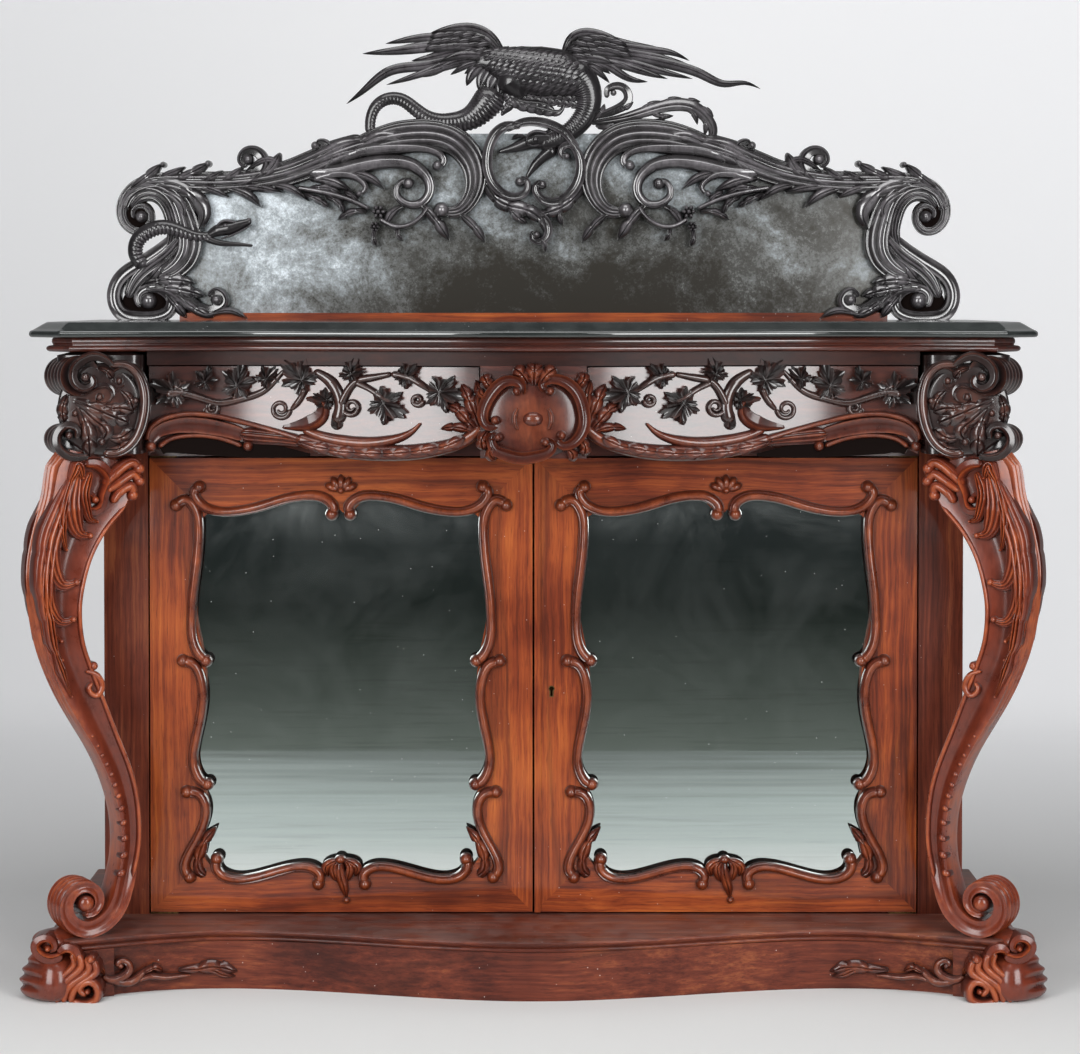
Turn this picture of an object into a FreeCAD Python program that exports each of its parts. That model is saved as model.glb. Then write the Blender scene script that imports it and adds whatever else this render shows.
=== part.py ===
import FreeCAD, Part
import math
import os
import re

Vector = FreeCAD.Vector

# Driving sizes in millimetres, degrees where the note says so
SIZES = [
    ("total_depth", 530, "front of the slab to the back"),
    ("slab_half_width", 725, "centre to the end of the slab"),
    ("bow_reach", 265, "middle of the slab front, forward of the mid plane"),
    ("trough_fall", 75, "hollow of the slab front, behind its middle"),
    ("corner_fall", 7, "slab front at the canted corner, behind its middle"),
    ("trough_setback", 275, "end of the slab to the hollow of the front"),
    ("corner_setback", 53, "end of the slab to the start of the canted corner"),
    ("cant_fall", 60, "end of the canted corner, behind the middle of the front"),
    ("plinth_height", 87, "floor to the plinth top"),
    ("plinth_top_thick", 17, "plinth top board"),
    ("plinth_top_inset", 20, "plinth top edge behind the slab edge"),
    ("plinth_inset", 30, "plinth face behind the slab edge"),
    ("plinth_board_thick", 24, "plinth boards"),
    ("plinth_front_setback", 115, "end of the slab to the end of the plinth front"),
    ("leg_height", 692, "plinth top to the corner block"),
    ("leg_reach", 88, "furthest reach of the leg from its middle"),
    ("leg_thick", 50, "leg across its scroll"),
    ("leg_setback", 79, "end of the slab to the middle of the leg"),
    ("leg_fall", 79, "middle of the leg, behind the middle of the front"),
    ("leg_angle", 30, "turn of the leg, degrees"),
    ("leg_scroll_radius", 44, "scroll at the foot of the leg"),
    ("dowel_radius", 5, "pegs and dowels"),
    ("dowel_length", 30, "pegs and dowels"),
    ("dowel_clearance", 0.1, "round a peg in its hole"),
    ("block_height", 152, "corner block"),
    ("block_inner_setback", 165, "end of the slab to the inner face of a corner block"),
    ("block_outer_setback", 13, "end of the slab to the outer face of a corner block"),
    ("block_inset", 12, "corner block face behind the slab edge"),
    ("sub_top_thick", 21, "moulded board under the slab"),
    ("sub_top_inset", 12, "edge of the moulded board behind the slab edge"),
    ("slab_thick", 22, "slab"),
    ("slab_nose", 9, "square part of the slab edge"),
    ("slab_bevel", 20, "sloped part of the slab edge"),
    ("rail_height", 20, "fixed rail over the drawers"),
    ("rail_inset", 34, "face of the rail over the drawers"),
    ("frieze_inset", 40, "drawer face behind the slab edge"),
    ("frieze_thick", 20, "drawer front and rail"),
    ("frieze_board", 22, "side boards of the frieze"),
    ("frieze_setback", 57, "end of the slab to the frieze side"),
    ("bay_height", 105, "drawer floor to the rail over the drawers"),
    ("carcass_top_thick", 16, "board under the drawers"),
    ("carcass_setback", 84, "end of the slab to the carcass side"),
    ("carcass_board", 22, "carcass sides"),
    ("back_thick", 12, "carcass back"),
    ("stile_width", 66, "fixed stile beside a door"),
    ("door_fall", 205, "door face behind the middle of the front"),
    ("door_thick", 24, "doors and fixed stiles"),
    ("top_rail_height", 17, "rail over the doors"),
    ("door_gap", 3, "over and under a door and between the doors"),
    ("hinge_gap", 2.5, "door edge to the fixed stile"),
    ("pivot_offset", 5, "pivot from the door edge and face"),
    ("pivot_radius", 2.5, "pivot pin"),
    ("pivot_pin_length", 12, "pivot pin in the door"),
    ("pivot_clearance", 0.05, "round the pivot pin"),
    ("pivot_plate_length", 36, "pivot plate"),
    ("pivot_plate_thick", 2.4, "pivot plate"),
    ("mirror_thick", 4, "door mirror"),
    ("backing_thick", 6, "board behind a door mirror"),
    ("moulding_depth", 12, "door moulding from the door face"),
    ("moulding_half_width", 7, "half the width of the door moulding"),
    ("astragal_width", 9, "bead at the meeting edge"),
    ("astragal_depth", 3, "bead at the meeting edge"),
    ("shelf_height", 330, "plinth top to the shelf"),
    ("shelf_thick", 18, "shelf"),
    ("cleat_size", 20, "strips under the shelf"),
    ("shelf_setback", 40, "shelf edge behind the doors"),
    ("muntin_thick", 18, "upright between the drawers"),
    ("cartouche_half_width", 76, "centre to the edge of the cartouche"),
    ("cartouche_inset", 32, "cartouche face behind the slab edge"),
    ("drawer_gap", 2, "round a drawer front"),
    ("apron_rise", 36, "rise of the shaped lower edge of the drawer front"),
    ("drawer_inner", 84, "centre to the inner drawer side"),
    ("drawer_setback", 175, "end of the slab to the outer drawer side"),
    ("drawer_board", 12, "drawer sides and back"),
    ("drawer_side_height", 88, "drawer sides"),
    ("drawer_bottom_thick", 6, "drawer bottom"),
    ("drawer_lift", 0.4, "drawer over the board it runs on"),
    ("drawer_back_room", 24, "drawer back to the frieze back"),
    ("guide_width", 20, "drawer guide"),
    ("guide_height", 14, "drawer guide"),
    ("lock_width", 52, "lock case"),
    ("lock_height", 60, "lock case"),
    ("lock_depth", 12, "lock case"),
    ("lock_bolt_height", 16, "lock bolt"),
    ("lock_bolt_depth", 6, "lock bolt"),
    ("lock_bolt_length", 34, "lock bolt"),
    ("lock_clearance", 0.3, "round the lock bolt"),
    ("keyhole_place", 27, "centre to the keyhole"),
    ("keyhole_height", 335, "door bottom to the keyhole"),
    ("keyhole_radius", 3.2, "round end of the keyhole"),
    ("keyhole_drop", 11, "slot of the keyhole under its round end"),
    ("keyhole_rim", 1.6, "brass round the keyhole"),
    ("keyhole_rim_depth", 4, "brass round the keyhole"),
    ("shoot_place", 24, "meeting edge to the shoot bolts"),
    ("shoot_radius", 3, "shoot bolt"),
    ("shoot_length", 80, "shoot bolt"),
    ("shoot_standoff", 7, "shoot bolt axis behind the door"),
    ("shoot_throw", 14, "travel of a shoot bolt"),
    ("shoot_plate_width", 20, "shoot bolt keeper"),
    ("shoot_plate_height", 16, "shoot bolt keeper"),
    ("shoot_clearance", 0.3, "round a shoot bolt"),
    ("crest_setback", 54, "end of the slab to the end of the mirror back"),
    ("crest_height", 466, "slab to the top of the crest"),
    ("crest_thick", 30, "carved frame of the mirror back"),
    ("back_board_thick", 12, "board behind the back mirror"),
    ("back_mirror_thick", 5, "back mirror"),
    ("back_board_gap", 4, "board of the mirror back to the rear face"),
    ("base_rail_height", 11, "rail under the back mirror"),
    ("base_rail_depth", 32, "rail under the back mirror"),
    ("wing_thick", 12, "wings of the crest figure"),
    ("foot_reach", 40, "carved foot beyond the plinth corner"),
    ("foot_width", 66, "carved foot"),
    ("foot_height", 96, "carved foot"),
    ("foot_setback", 35, "end of the slab to the carved foot"),
    ("foot_fall", 62, "carved foot, behind the middle of the front"),
    ("foot_angle", 40, "turn of the carved foot, degrees"),
]

# Places and lengths that follow from the sizes
PLACES = {
    "trough_reach": "bow_reach - trough_fall",
    "corner_reach": "bow_reach - corner_fall",
    "cant_reach": "bow_reach - cant_fall",
    "leg_forward": "bow_reach - leg_fall",
    "foot_forward": "bow_reach - foot_fall",
    "door_reach": "bow_reach - door_fall",
    "trough_place": "slab_half_width - trough_setback",
    "corner_place": "slab_half_width - corner_setback",
    "plinth_front_half": "slab_half_width - plinth_front_setback",
    "leg_place": "slab_half_width - leg_setback",
    "block_inner": "slab_half_width - block_inner_setback",
    "block_outer": "slab_half_width - block_outer_setback",
    "frieze_half_width": "slab_half_width - frieze_setback",
    "carcass_half_width": "slab_half_width - carcass_setback",
    "drawer_outer": "slab_half_width - drawer_setback",
    "crest_half_width": "slab_half_width - crest_setback",
    "foot_place": "slab_half_width - foot_setback",
    "door_height": (
        "leg_height + block_height - rail_height - bay_height - carcass_top_thick"
        " - top_rail_height - door_gap * 2"
    ),
}

# Shares of the leg reach and the leg height, from the top down
LEG_OUTER_SHARES = [
    (0.45, 1.0), (0.75, 0.931), (0.94, 0.827), (1.0, 0.754), (0.94, 0.681), (0.8, 0.598),
    (0.55, 0.514), (0.28, 0.452), (0.03, 0.4), (-0.22, 0.337), (-0.39, 0.275), (-0.47, 0.212),
    (-0.45, 0.15), (-0.36, 0.1),
]
LEG_INNER_SHARES = [
    (-0.8, 1.0), (-0.8, 0.945), (-0.6, 0.9), (-0.3, 0.862), (-0.08, 0.82), (0.07, 0.77), (0.15, 0.723),
    (0.18, 0.681), (0.14, 0.618), (0.0, 0.566), (-0.3, 0.473), (-0.49, 0.41), (-0.68, 0.348),
    (-0.8, 0.285), (-0.84, 0.223), (-0.81, 0.16), (-0.7, 0.098), (-0.47, 0.046), (-0.1, 0.0),
]
LEG_SCROLL_SHARE = 0.14
LEG_TOP_DOWEL_SHARE = -0.2

# Shares of half the door width, from its middle line, and of the door height
DOOR_OPENING_SHARES = [
    (0.0, 0.884), (0.14, 0.916), (0.42, 0.899), (0.62, 0.884), (0.715, 0.872), (0.742, 0.81), (0.762, 0.66),
    (0.722, 0.565), (0.712, 0.47), (0.755, 0.33), (0.715, 0.268), (0.7, 0.205), (0.735, 0.14),
    (0.68, 0.1), (0.56, 0.078), (0.34, 0.092), (0.2, 0.1), (0.0, 0.085),
]
DOOR_MOULDING_SHARES = [
    [(0.73, 0.935), (0.71, 0.897), (0.62, 0.884), (0.41, 0.9), (0.2, 0.918), (0.08, 0.908), (0.04, 0.882)],
    [(0.84, 0.9), (0.79, 0.902), (0.752, 0.88), (0.738, 0.81), (0.757, 0.697), (0.773, 0.64), (0.764, 0.592),
     (0.69, 0.568)],
    [(0.82, 0.556), (0.77, 0.55), (0.738, 0.525), (0.712, 0.473), (0.734, 0.397), (0.768, 0.325),
     (0.743, 0.293), (0.696, 0.283)],
    [(0.804, 0.265), (0.75, 0.263), (0.712, 0.24), (0.696, 0.209), (0.716, 0.174), (0.764, 0.14),
     (0.799, 0.107), (0.799, 0.081)],
    [(0.655, 0.112), (0.63, 0.088), (0.56, 0.075), (0.342, 0.092), (0.223, 0.103), (0.14, 0.095),
     (0.106, 0.07)],
]
DOOR_SHELL_SHARES = (0.0, 0.936)
DOOR_SHELL_RADIUS_SHARE = 0.085
DOOR_DROP_SHARES = [(0.0, 0.118), (0.0, 0.045)]
MIRROR_HALF_SHARE = 0.86
MIRROR_LOW_SHARE = 0.05
MIRROR_HIGH_SHARE = 0.945
MITRE_SHARE = 0.42

# Shares of the drawer front length, from the cartouche, and of the rise of its lower edge
APRON_ARCH_SHARES = [
    (1.0, 0.08), (0.957, 0.4), (0.896, 0.84), (0.847, 0.9), (0.798, 0.84), (0.723, 0.52), (0.694, 0.08),
]
APRON_SWAG_SHARES = [
    (0.694, 0.08), (0.666, 0.4), (0.636, 0.88), (0.543, 0.52), (0.48, 0.28), (0.402, 0.08), (0.306, 0.0),
    (0.211, 0.04), (0.124, 0.24), (0.061, 0.56), (0.0, 1.0),
]

# Shares of the corner block width, from its inner face, and of its height
BLOCK_ROLL_SHARES = [(0.76, 0.76, 0.24), (0.8, 0.17, 0.165)]
BLOCK_BODY_SHARE = 0.78

# Shares of half the crest width and of the crest height
BACK_BOARD_SHARES = [
    (0.841, 0.43), (0.679, 0.474), (0.537, 0.502), (0.418, 0.577), (0.299, 0.624), (0.204, 0.638),
    (0.0, 0.638),
]
ARM_SHARES = [
    (0.845, 0.472), (0.66, 0.49), (0.514, 0.525), (0.419, 0.59), (0.3, 0.637), (0.206, 0.632),
    (0.143, 0.563), (0.126, 0.461), (0.16, 0.39), (0.218, 0.372),
]
ARM_HALF_SHARES = [0.012, 0.026, 0.03, 0.028, 0.022, 0.02, 0.02, 0.018, 0.018, 0.02]
SCROLL_UPPER_SHARES = [
    (0.775, 0.324), (0.79, 0.416), (0.846, 0.464), (0.912, 0.45), (0.95, 0.4), (0.944, 0.345), (0.9, 0.33),
]
SCROLL_STEM_SHARES = [
    (0.815, 0.444), (0.793, 0.358), (0.81, 0.273), (0.863, 0.205), (0.93, 0.16), (0.968, 0.105),
    (0.95, 0.047), (0.893, 0.031), (0.853, 0.07),
]
SCROLL_LEAF_SHARES = [(0.868, 0.15), (0.81, 0.075), (0.752, 0.031), (0.722, 0.07)]
SCROLL_HALF_SHARE = 0.021
RING_PLACE_SHARES = (0.0, 0.53)
RING_OUTER_SHARES = (0.112, 0.135)
RING_INNER_SHARES = (0.088, 0.1)
BODY_PLACE_SHARES = (0.012, 0.84)
BODY_RADIUS_SHARES = (0.108, 0.054, 0.038)
BODY_LEG_SHARES = [(-0.02, 0.66), (0.05, 0.64)]
BODY_LEG_RADIUS_SHARE = 0.02
WING_LEFT_SHARES = [
    (-0.06, 0.83), (-0.085, 0.945), (-0.155, 1.0), (-0.225, 0.975), (-0.29, 0.955), (-0.385, 0.916),
    (-0.3, 0.89), (-0.42, 0.84), (-0.34, 0.825), (-0.442, 0.745), (-0.34, 0.775), (-0.24, 0.8),
    (-0.15, 0.79), (-0.07, 0.775),
]
WING_RIGHT_SHARES = [
    (0.07, 0.84), (0.076, 0.945), (0.128, 0.985), (0.223, 0.955), (0.366, 0.898), (0.43, 0.858),
    (0.532, 0.8), (0.42, 0.805), (0.33, 0.79), (0.24, 0.815), (0.16, 0.8), (0.09, 0.79),
]
TAIL_SHARES = [
    (-0.392, 0.665), (-0.385, 0.72), (-0.335, 0.757), (-0.272, 0.735), (-0.21, 0.7), (-0.14, 0.69),
    (-0.085, 0.73), (-0.045, 0.79),
]
TAIL_RADIUS_SHARES = [0.011, 0.014, 0.017, 0.019, 0.021, 0.024, 0.028, 0.03]
NECK_SHARES = [
    (0.105, 0.845), (0.138, 0.775), (0.132, 0.69), (0.095, 0.63), (0.045, 0.6), (-0.014, 0.581),
    (-0.08, 0.565),
]
NECK_RADIUS_SHARES = [0.03, 0.027, 0.023, 0.022, 0.026, 0.022, 0.008]
NECK_FORWARD_SHARES = [0.0, 0.01, 0.025, 0.04, 0.045, 0.045, 0.045]
PLUME_SHARES = [(0.15, 0.662), (0.223, 0.69), (0.318, 0.73), (0.385, 0.705), (0.42, 0.632), (0.405, 0.56)]
PLUME_HALF_SHARES = [0.016, 0.024, 0.028, 0.03, 0.026, 0.012]
SERPENT_SHARES = [
    (-0.945, 0.14), (-0.95, 0.215), (-0.932, 0.28), (-0.885, 0.315), (-0.841, 0.308), (-0.8, 0.29),
    (-0.765, 0.286), (-0.715, 0.302), (-0.67, 0.32),
]
SERPENT_RADIUS_SHARES = [0.01, 0.013, 0.014, 0.014, 0.013, 0.013, 0.015, 0.02, 0.008]
PEG_PLACE_SHARES = [-0.62, -0.25, 0.25, 0.62]

# Shares of the foot reach and the foot height, from the floor up
FOOT_SHARES = [
    (0.0, 0.0), (0.72, 0.0), (0.98, 0.2), (0.86, 0.5), (0.62, 0.68), (0.7, 0.84), (0.5, 1.0), (0.2, 0.94),
    (0.0, 0.8),
]

SIDES = {"left": -1, "right": 1}
CANT_SHARE = math.tan(math.pi / 8)

doc = FreeCAD.newDocument("side_cabinet")
sheet = doc.addObject("Spreadsheet::Sheet", "Sizes")
for row, (alias, value, note) in enumerate(SIZES, start=1):
    sheet.set(f"A{row}", note)
    sheet.set(f"B{row}", str(value))
    sheet.setAlias(f"B{row}", alias)
doc.recompute()
size = {alias: float(sheet.get(alias)) for alias, value, note in SIZES}

sub_parts = []

# Heights and planes that several pieces share, as expressions of the sheet
BACK = "total_depth / 2"
LEG_TOP = "plinth_height + leg_height"
BLOCK_TOP = f"{LEG_TOP} + block_height"
SLAB_UNDER = f"{BLOCK_TOP} + sub_top_thick"
SLAB_TOP = f"{SLAB_UNDER} + slab_thick"
RAIL_UNDER = f"{BLOCK_TOP} - rail_height"
DRAWER_FLOOR = f"{RAIL_UNDER} - bay_height"
CARCASS_TOP_UNDER = f"{DRAWER_FLOOR} - carcass_top_thick"
DOOR_LOW = "plinth_height + door_gap"
DOOR_HIGH = f"{DOOR_LOW} + door_height"
DOOR_FACE = "-door_reach"
DOOR_BACK = "-door_reach + door_thick"
DOOR_INNER = "door_gap / 2"
DOOR_OUTER = "carcass_half_width - stile_width - hinge_gap"
CARCASS_REAR = f"{BACK} - back_thick"
TOP_FRONT = "-(trough_reach - frieze_inset - frieze_thick) + drawer_gap"
KEYHOLE_LEVEL = f"{DOOR_LOW} + keyhole_height"
BOARD_REAR = f"{BACK} - back_board_gap"
MIRROR_REAR = f"{BOARD_REAR} - back_board_thick"
CARVING_REAR = f"{MIRROR_REAR} - back_mirror_thick"
CARVING_FRONT = f"{CARVING_REAR} - crest_thick"


def spelled(name):
    """A size's cell, or in brackets the expression that a place stands for."""
    word = name.group(0)
    if word in PLACES:
        return f"({bound(PLACES[word])})"
    return "Sizes." + word


def bound(text):
    """The sheet's own form of an expression written with bare names of sizes and places."""
    return re.sub(r"[a-z][a-z_]*", spelled, text)


gauge = doc.addObject("App::FeaturePython", "Gauge")
gauge.addProperty("App::PropertyFloat", "Reading")


def measure(text):
    """The number that an expression of the sheet stands for."""
    gauge.setExpression("Reading", bound(text))
    gauge.recompute()
    return gauge.Reading


size.update({name: measure(text) for name, text in PLACES.items()})


def span(side, inner, outer):
    """A range across the cabinet, given from the centre outwards."""
    if SIDES[side] > 0:
        return inner, outer
    return f"-({outer})", f"-({inner})"


def keep(thing, label):
    thing.Label = label
    sub_parts.append(thing)
    return thing


def block(name, x, y, z):
    """A bound box between two expressions on each axis."""
    thing = doc.addObject("Part::Box", name)
    for edge, axis, (low, high) in (("Length", "x", x), ("Width", "y", y), ("Height", "z", z)):
        thing.setExpression(edge, bound(f"({high}) - ({low})"))
        thing.setExpression(f"Placement.Base.{axis}", bound(low))
    return thing


def rod(name, radius, x, y, z):
    """A bound upright cylinder."""
    thing = doc.addObject("Part::Cylinder", name)
    thing.setExpression("Radius", bound(radius))
    thing.setExpression("Height", bound(f"({z[1]}) - ({z[0]})"))
    thing.setExpression("Placement.Base.x", bound(x))
    thing.setExpression("Placement.Base.y", bound(y))
    thing.setExpression("Placement.Base.z", bound(z[0]))
    return thing


def cut(name, base, *tools):
    for number, tool in enumerate(tools):
        result = doc.addObject("Part::Cut", f"{name}_cut_{number}")
        result.Base = base
        result.Tool = tool
        base = result
    return base


def common(name, base, tool):
    result = doc.addObject("Part::Common", name)
    result.Base = base
    result.Tool = tool
    return result


def fused(name, *things):
    result = doc.addObject("Part::MultiFuse", name)
    result.Shapes = list(things)
    return result


def group(name, *things):
    result = doc.addObject("Part::Compound", name)
    result.Links = list(things)
    return result


def shaped(name, shape):
    """A piece whose curved form comes from the functions below."""
    thing = doc.addObject("Part::Feature", name)
    thing.Shape = shape
    return thing


def mirrored(shape, side):
    if SIDES[side] > 0:
        return shape
    return shape.mirror(Vector(0, 0, 0), Vector(1, 0, 0))


def curve(points, closed=False):
    spline = Part.BSplineCurve()
    spline.interpolate(points, PeriodicFlag=closed)
    return spline.toShape()


def front_points(inset):
    """Points of the serpentine front line, left corner to right corner, at an inset from the slab edge."""
    corner = size["corner_place"] - inset * CANT_SHARE
    trough = size["trough_place"]
    bow = size["bow_reach"] - inset
    hollow = size["trough_reach"] - inset
    half = [
        (trough / 2, (bow + hollow) / 2),
        (trough, hollow),
        (corner, size["corner_reach"] - inset),
    ]
    points = [Vector(-x, -y, 0) for x, y in reversed(half)]
    points.append(Vector(0, -bow, 0))
    points.extend(Vector(x, -y, 0) for x, y in half)
    return points


def plan_face(inset, level):
    """The whole plan of a board with the serpentine front and canted corners."""
    points = front_points(inset)
    side = size["slab_half_width"] - inset
    cant = size["cant_reach"] - inset * CANT_SHARE
    rear = size["total_depth"] / 2
    rim = [
        points[-1],
        Vector(side, -cant, 0),
        Vector(side, rear, 0),
        Vector(-side, rear, 0),
        Vector(-side, -cant, 0),
        points[0],
    ]
    edges = [curve(points)]
    edges.extend(Part.makeLine(a, b) for a, b in zip(rim, rim[1:]))
    wire = Part.Wire(edges)
    wire.translate(Vector(0, 0, level))
    return wire


def plan_board(inset, low, high):
    return Part.Face(plan_face(inset, low)).extrude(Vector(0, 0, high - low))


def front_wall(inset, thick, low, high):
    """A board that follows the serpentine front line, as long as the front."""
    outer = front_points(inset)
    inner = front_points(inset + thick)
    edges = [
        curve(outer),
        Part.makeLine(outer[-1], inner[-1]),
        curve(inner),
        Part.makeLine(inner[0], outer[0]),
    ]
    face = Part.Face(Part.Wire(Part.__sortEdges__(edges)))
    face.translate(Vector(0, 0, low))
    return face.extrude(Vector(0, 0, high - low))


def front_mass(inset, low, high):
    """Everything forward of the serpentine front line at an inset."""
    line = front_points(inset)
    far = -size["total_depth"]
    corners = [line[-1], Vector(line[-1].x, far, 0), Vector(line[0].x, far, 0), line[0]]
    edges = [curve(line)]
    edges.extend(Part.makeLine(a, b) for a, b in zip(corners, corners[1:]))
    face = Part.Face(Part.Wire(edges))
    face.translate(Vector(0, 0, low))
    return face.extrude(Vector(0, 0, high - low))


def upright_face(edges, front):
    """A face in an upright plane across the cabinet."""
    face = Part.Face(Part.Wire(Part.__sortEdges__(edges)))
    face.translate(Vector(0, front, 0))
    return face


def polygon_prism(points, front, rear):
    """An upright outline of straight lines carried from the front plane to the rear plane."""
    ring = [Vector(x, 0, z) for x, z in points]
    ring.append(ring[0])
    face = Part.Face(Part.makePolygon(ring))
    face.translate(Vector(0, front, 0))
    return face.extrude(Vector(0, rear - front, 0))


def spline_prism(points, front, rear):
    """An upright closed smooth outline carried from the front plane to the rear plane."""
    ring = curve([Vector(x, 0, z) for x, z in points], closed=True)
    face = Part.Face(Part.Wire([ring]))
    face.translate(Vector(0, front, 0))
    return face.extrude(Vector(0, rear - front, 0))


def disc(x, z, radius, front, rear):
    return Part.makeCylinder(radius, rear - front, Vector(x, front, z), Vector(0, 1, 0))


def band(points, halves, front, rear):
    """A strip of changing width with round ends along a smooth line in an upright plane."""
    line = [Vector(x, 0, z) for x, z in points]
    last = len(line) - 1
    ways = []
    for place in range(len(line)):
        way = line[min(place + 1, last)] - line[max(place - 1, 0)]
        ways.append(way.normalize())
    sides = [Vector(-way.z, 0, way.x) for way in ways]
    left = [p + n * h for p, n, h in zip(line, sides, halves)]
    right = [p - n * h for p, n, h in zip(line, sides, halves)]
    tail = line[0] - ways[0] * halves[0]
    tip = line[last] + ways[last] * halves[last]
    edges = [
        curve(left),
        Part.Arc(left[last], tip, right[last]).toShape(),
        curve(right),
        Part.Arc(left[0], tail, right[0]).toShape(),
    ]
    return upright_face(edges, front).extrude(Vector(0, rear - front, 0))


def tube(places, radii):
    """A round body of changing thickness along a line."""
    last = len(places) - 1
    rings = []
    for number, (place, radius) in enumerate(zip(places, radii)):
        way = places[min(number + 1, last)] - places[max(number - 1, 0)]
        ring = Part.Circle(place, way, radius).toShape()
        rings.append(Part.Wire([ring]))
    return Part.makeLoft(rings, True)


def crest_points(shares):
    """Places on the mirror back from shares of half its width and of its height."""
    foot = measure(SLAB_TOP)
    return [(x * size["crest_half_width"], foot + z * size["crest_height"]) for x, z in shares]


# Plinth: serpentine front, sides, back, moulded top board and carved corner feet
plinth_under = "plinth_height - plinth_top_thick"
plinth_side = "slab_half_width - plinth_inset"
plinth_wall = shaped(
    "plinth_wall",
    front_wall(size["plinth_inset"], size["plinth_board_thick"], 0, measure(plinth_under)),
)
plinth_reach = block(
    "plinth_reach",
    ("-plinth_front_half", "plinth_front_half"),
    ("-total_depth", "0"),
    ("0", plinth_under),
)
keep(common("plinth_front_board", plinth_wall, plinth_reach), "plinth_front")

foot_post_depth = "plinth_board_thick * 3"
foot_post_rear = f"-cant_reach + {foot_post_depth}"
plinth_sides = [
    block(
        f"plinth_side_{side}",
        span(side, f"{plinth_side} - plinth_board_thick", plinth_side),
        (foot_post_rear, f"{BACK} - plinth_board_thick"),
        ("0", plinth_under),
    )
    for side in SIDES
]
plinth_rear = block(
    "plinth_rear",
    (f"-({plinth_side})", plinth_side),
    (f"{BACK} - plinth_board_thick", BACK),
    ("0", plinth_under),
)
keep(group("plinth_board_set", *plinth_sides, plinth_rear), "plinth_boards")

plinth_top_shape = plan_board(size["plinth_top_inset"], measure(plinth_under), size["plinth_height"])
plinth_top_blank = shaped("plinth_top_blank", plinth_top_shape)

foot_profile = [
    Vector(u * size["foot_reach"], 0, z * size["foot_height"]) for u, z in FOOT_SHARES
]
foot_edges = [
    Part.makeLine(foot_profile[-1], foot_profile[0]),
    Part.makeLine(foot_profile[0], foot_profile[1]),
    curve(foot_profile[1:]),
]
foot_bulge = Part.Face(Part.Wire(foot_edges)).extrude(Vector(0, size["foot_width"], 0))
foot_bulge.translate(Vector(0, -size["foot_width"] / 2, 0))
foot_bulge.rotate(Vector(0, 0, 0), Vector(0, 0, 1), -size["foot_angle"])
foot_bulge.translate(Vector(size["foot_place"], -size["foot_forward"], 0))
foot_floor = measure(plinth_under)
foot_post = plan_board(size["plinth_inset"], 0, foot_floor).common(
    Part.makeBox(
        size["total_depth"],
        measure(f"corner_reach + {foot_post_rear}"),
        foot_floor,
        Vector(size["plinth_front_half"], -size["corner_reach"], 0),
    )
)
foot_whole = foot_post.fuse(foot_bulge).cut(plinth_top_shape).removeSplitter()
for side in SIDES:
    keep(shaped(f"foot_{side}_shape", mirrored(foot_whole, side)), f"foot_{side}")

# Scroll legs on a diagonal, pegged to the plinth top and to the corner blocks
leg_outer = [Vector(u * size["leg_reach"], 0, z * size["leg_height"]) for u, z in LEG_OUTER_SHARES]
leg_inner = [Vector(u * size["leg_reach"], 0, z * size["leg_height"]) for u, z in LEG_INNER_SHARES]
leg_eye = Vector(LEG_SCROLL_SHARE * size["leg_reach"], 0, size["leg_scroll_radius"] - size["drawer_gap"])
leg_edges = [
    curve(leg_outer),
    Part.makeLine(leg_outer[-1], leg_eye),
    Part.makeLine(leg_eye, leg_inner[-1]),
    curve(leg_inner),
    Part.makeLine(leg_inner[0], leg_outer[0]),
]
leg_front = -size["leg_thick"] / 2
leg_band = upright_face(leg_edges, leg_front).extrude(Vector(0, size["leg_thick"], 0))
leg_scroll = disc(leg_eye.x, leg_eye.z, size["leg_scroll_radius"], leg_front, -leg_front)
leg_room = Part.makeBox(
    size["leg_height"],
    size["leg_height"],
    size["leg_height"],
    Vector(-size["leg_height"] / 2, -size["leg_height"] / 2, 0),
)
leg_whole = leg_band.fuse(leg_scroll).common(leg_room).removeSplitter()
leg_place = Vector(size["leg_place"], -size["leg_forward"], size["plinth_height"])
leg_turn = FreeCAD.Placement(leg_place, FreeCAD.Rotation(Vector(0, 0, 1), -size["leg_angle"]))
leg_whole = leg_whole.transformGeometry(leg_turn.toMatrix())

leg_bearing = math.radians(size["leg_angle"])
leg_dowels = []
leg_holes = {side: [] for side in SIDES}
plinth_holes = []
block_holes = {side: [] for side in SIDES}
for side in SIDES:
    turn = SIDES[side]
    for share, level in ((LEG_SCROLL_SHARE, "plinth_height"), (LEG_TOP_DOWEL_SHARE, LEG_TOP)):
        reach = f"({share}) * leg_reach"
        x = f"{turn} * (leg_place + {reach} * {math.cos(leg_bearing)})"
        y = f"-leg_forward - {reach} * {math.sin(leg_bearing)}"
        z = (f"{level} - dowel_length / 2", f"{level} + dowel_length / 2")
        name = f"{side}_{'foot' if level == 'plinth_height' else 'top'}"
        leg_dowels.append(rod(f"leg_dowel_{name}", "dowel_radius", x, y, z))
        hole_z = (f"{z[0]} - dowel_clearance", f"{z[1]} + dowel_clearance")
        hole = rod(f"leg_hole_{name}", "dowel_radius + dowel_clearance", x, y, hole_z)
        leg_holes[side].append(hole)
        if level == "plinth_height":
            plinth_holes.append(hole)
        else:
            block_holes[side].append(hole)
keep(group("leg_dowel_set", *leg_dowels), "leg_dowels")
for side in SIDES:
    blank = shaped(f"leg_blank_{side}", mirrored(leg_whole, side))
    keep(cut(f"leg_bored_{side}", blank, *leg_holes[side]), f"leg_{side}")

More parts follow.
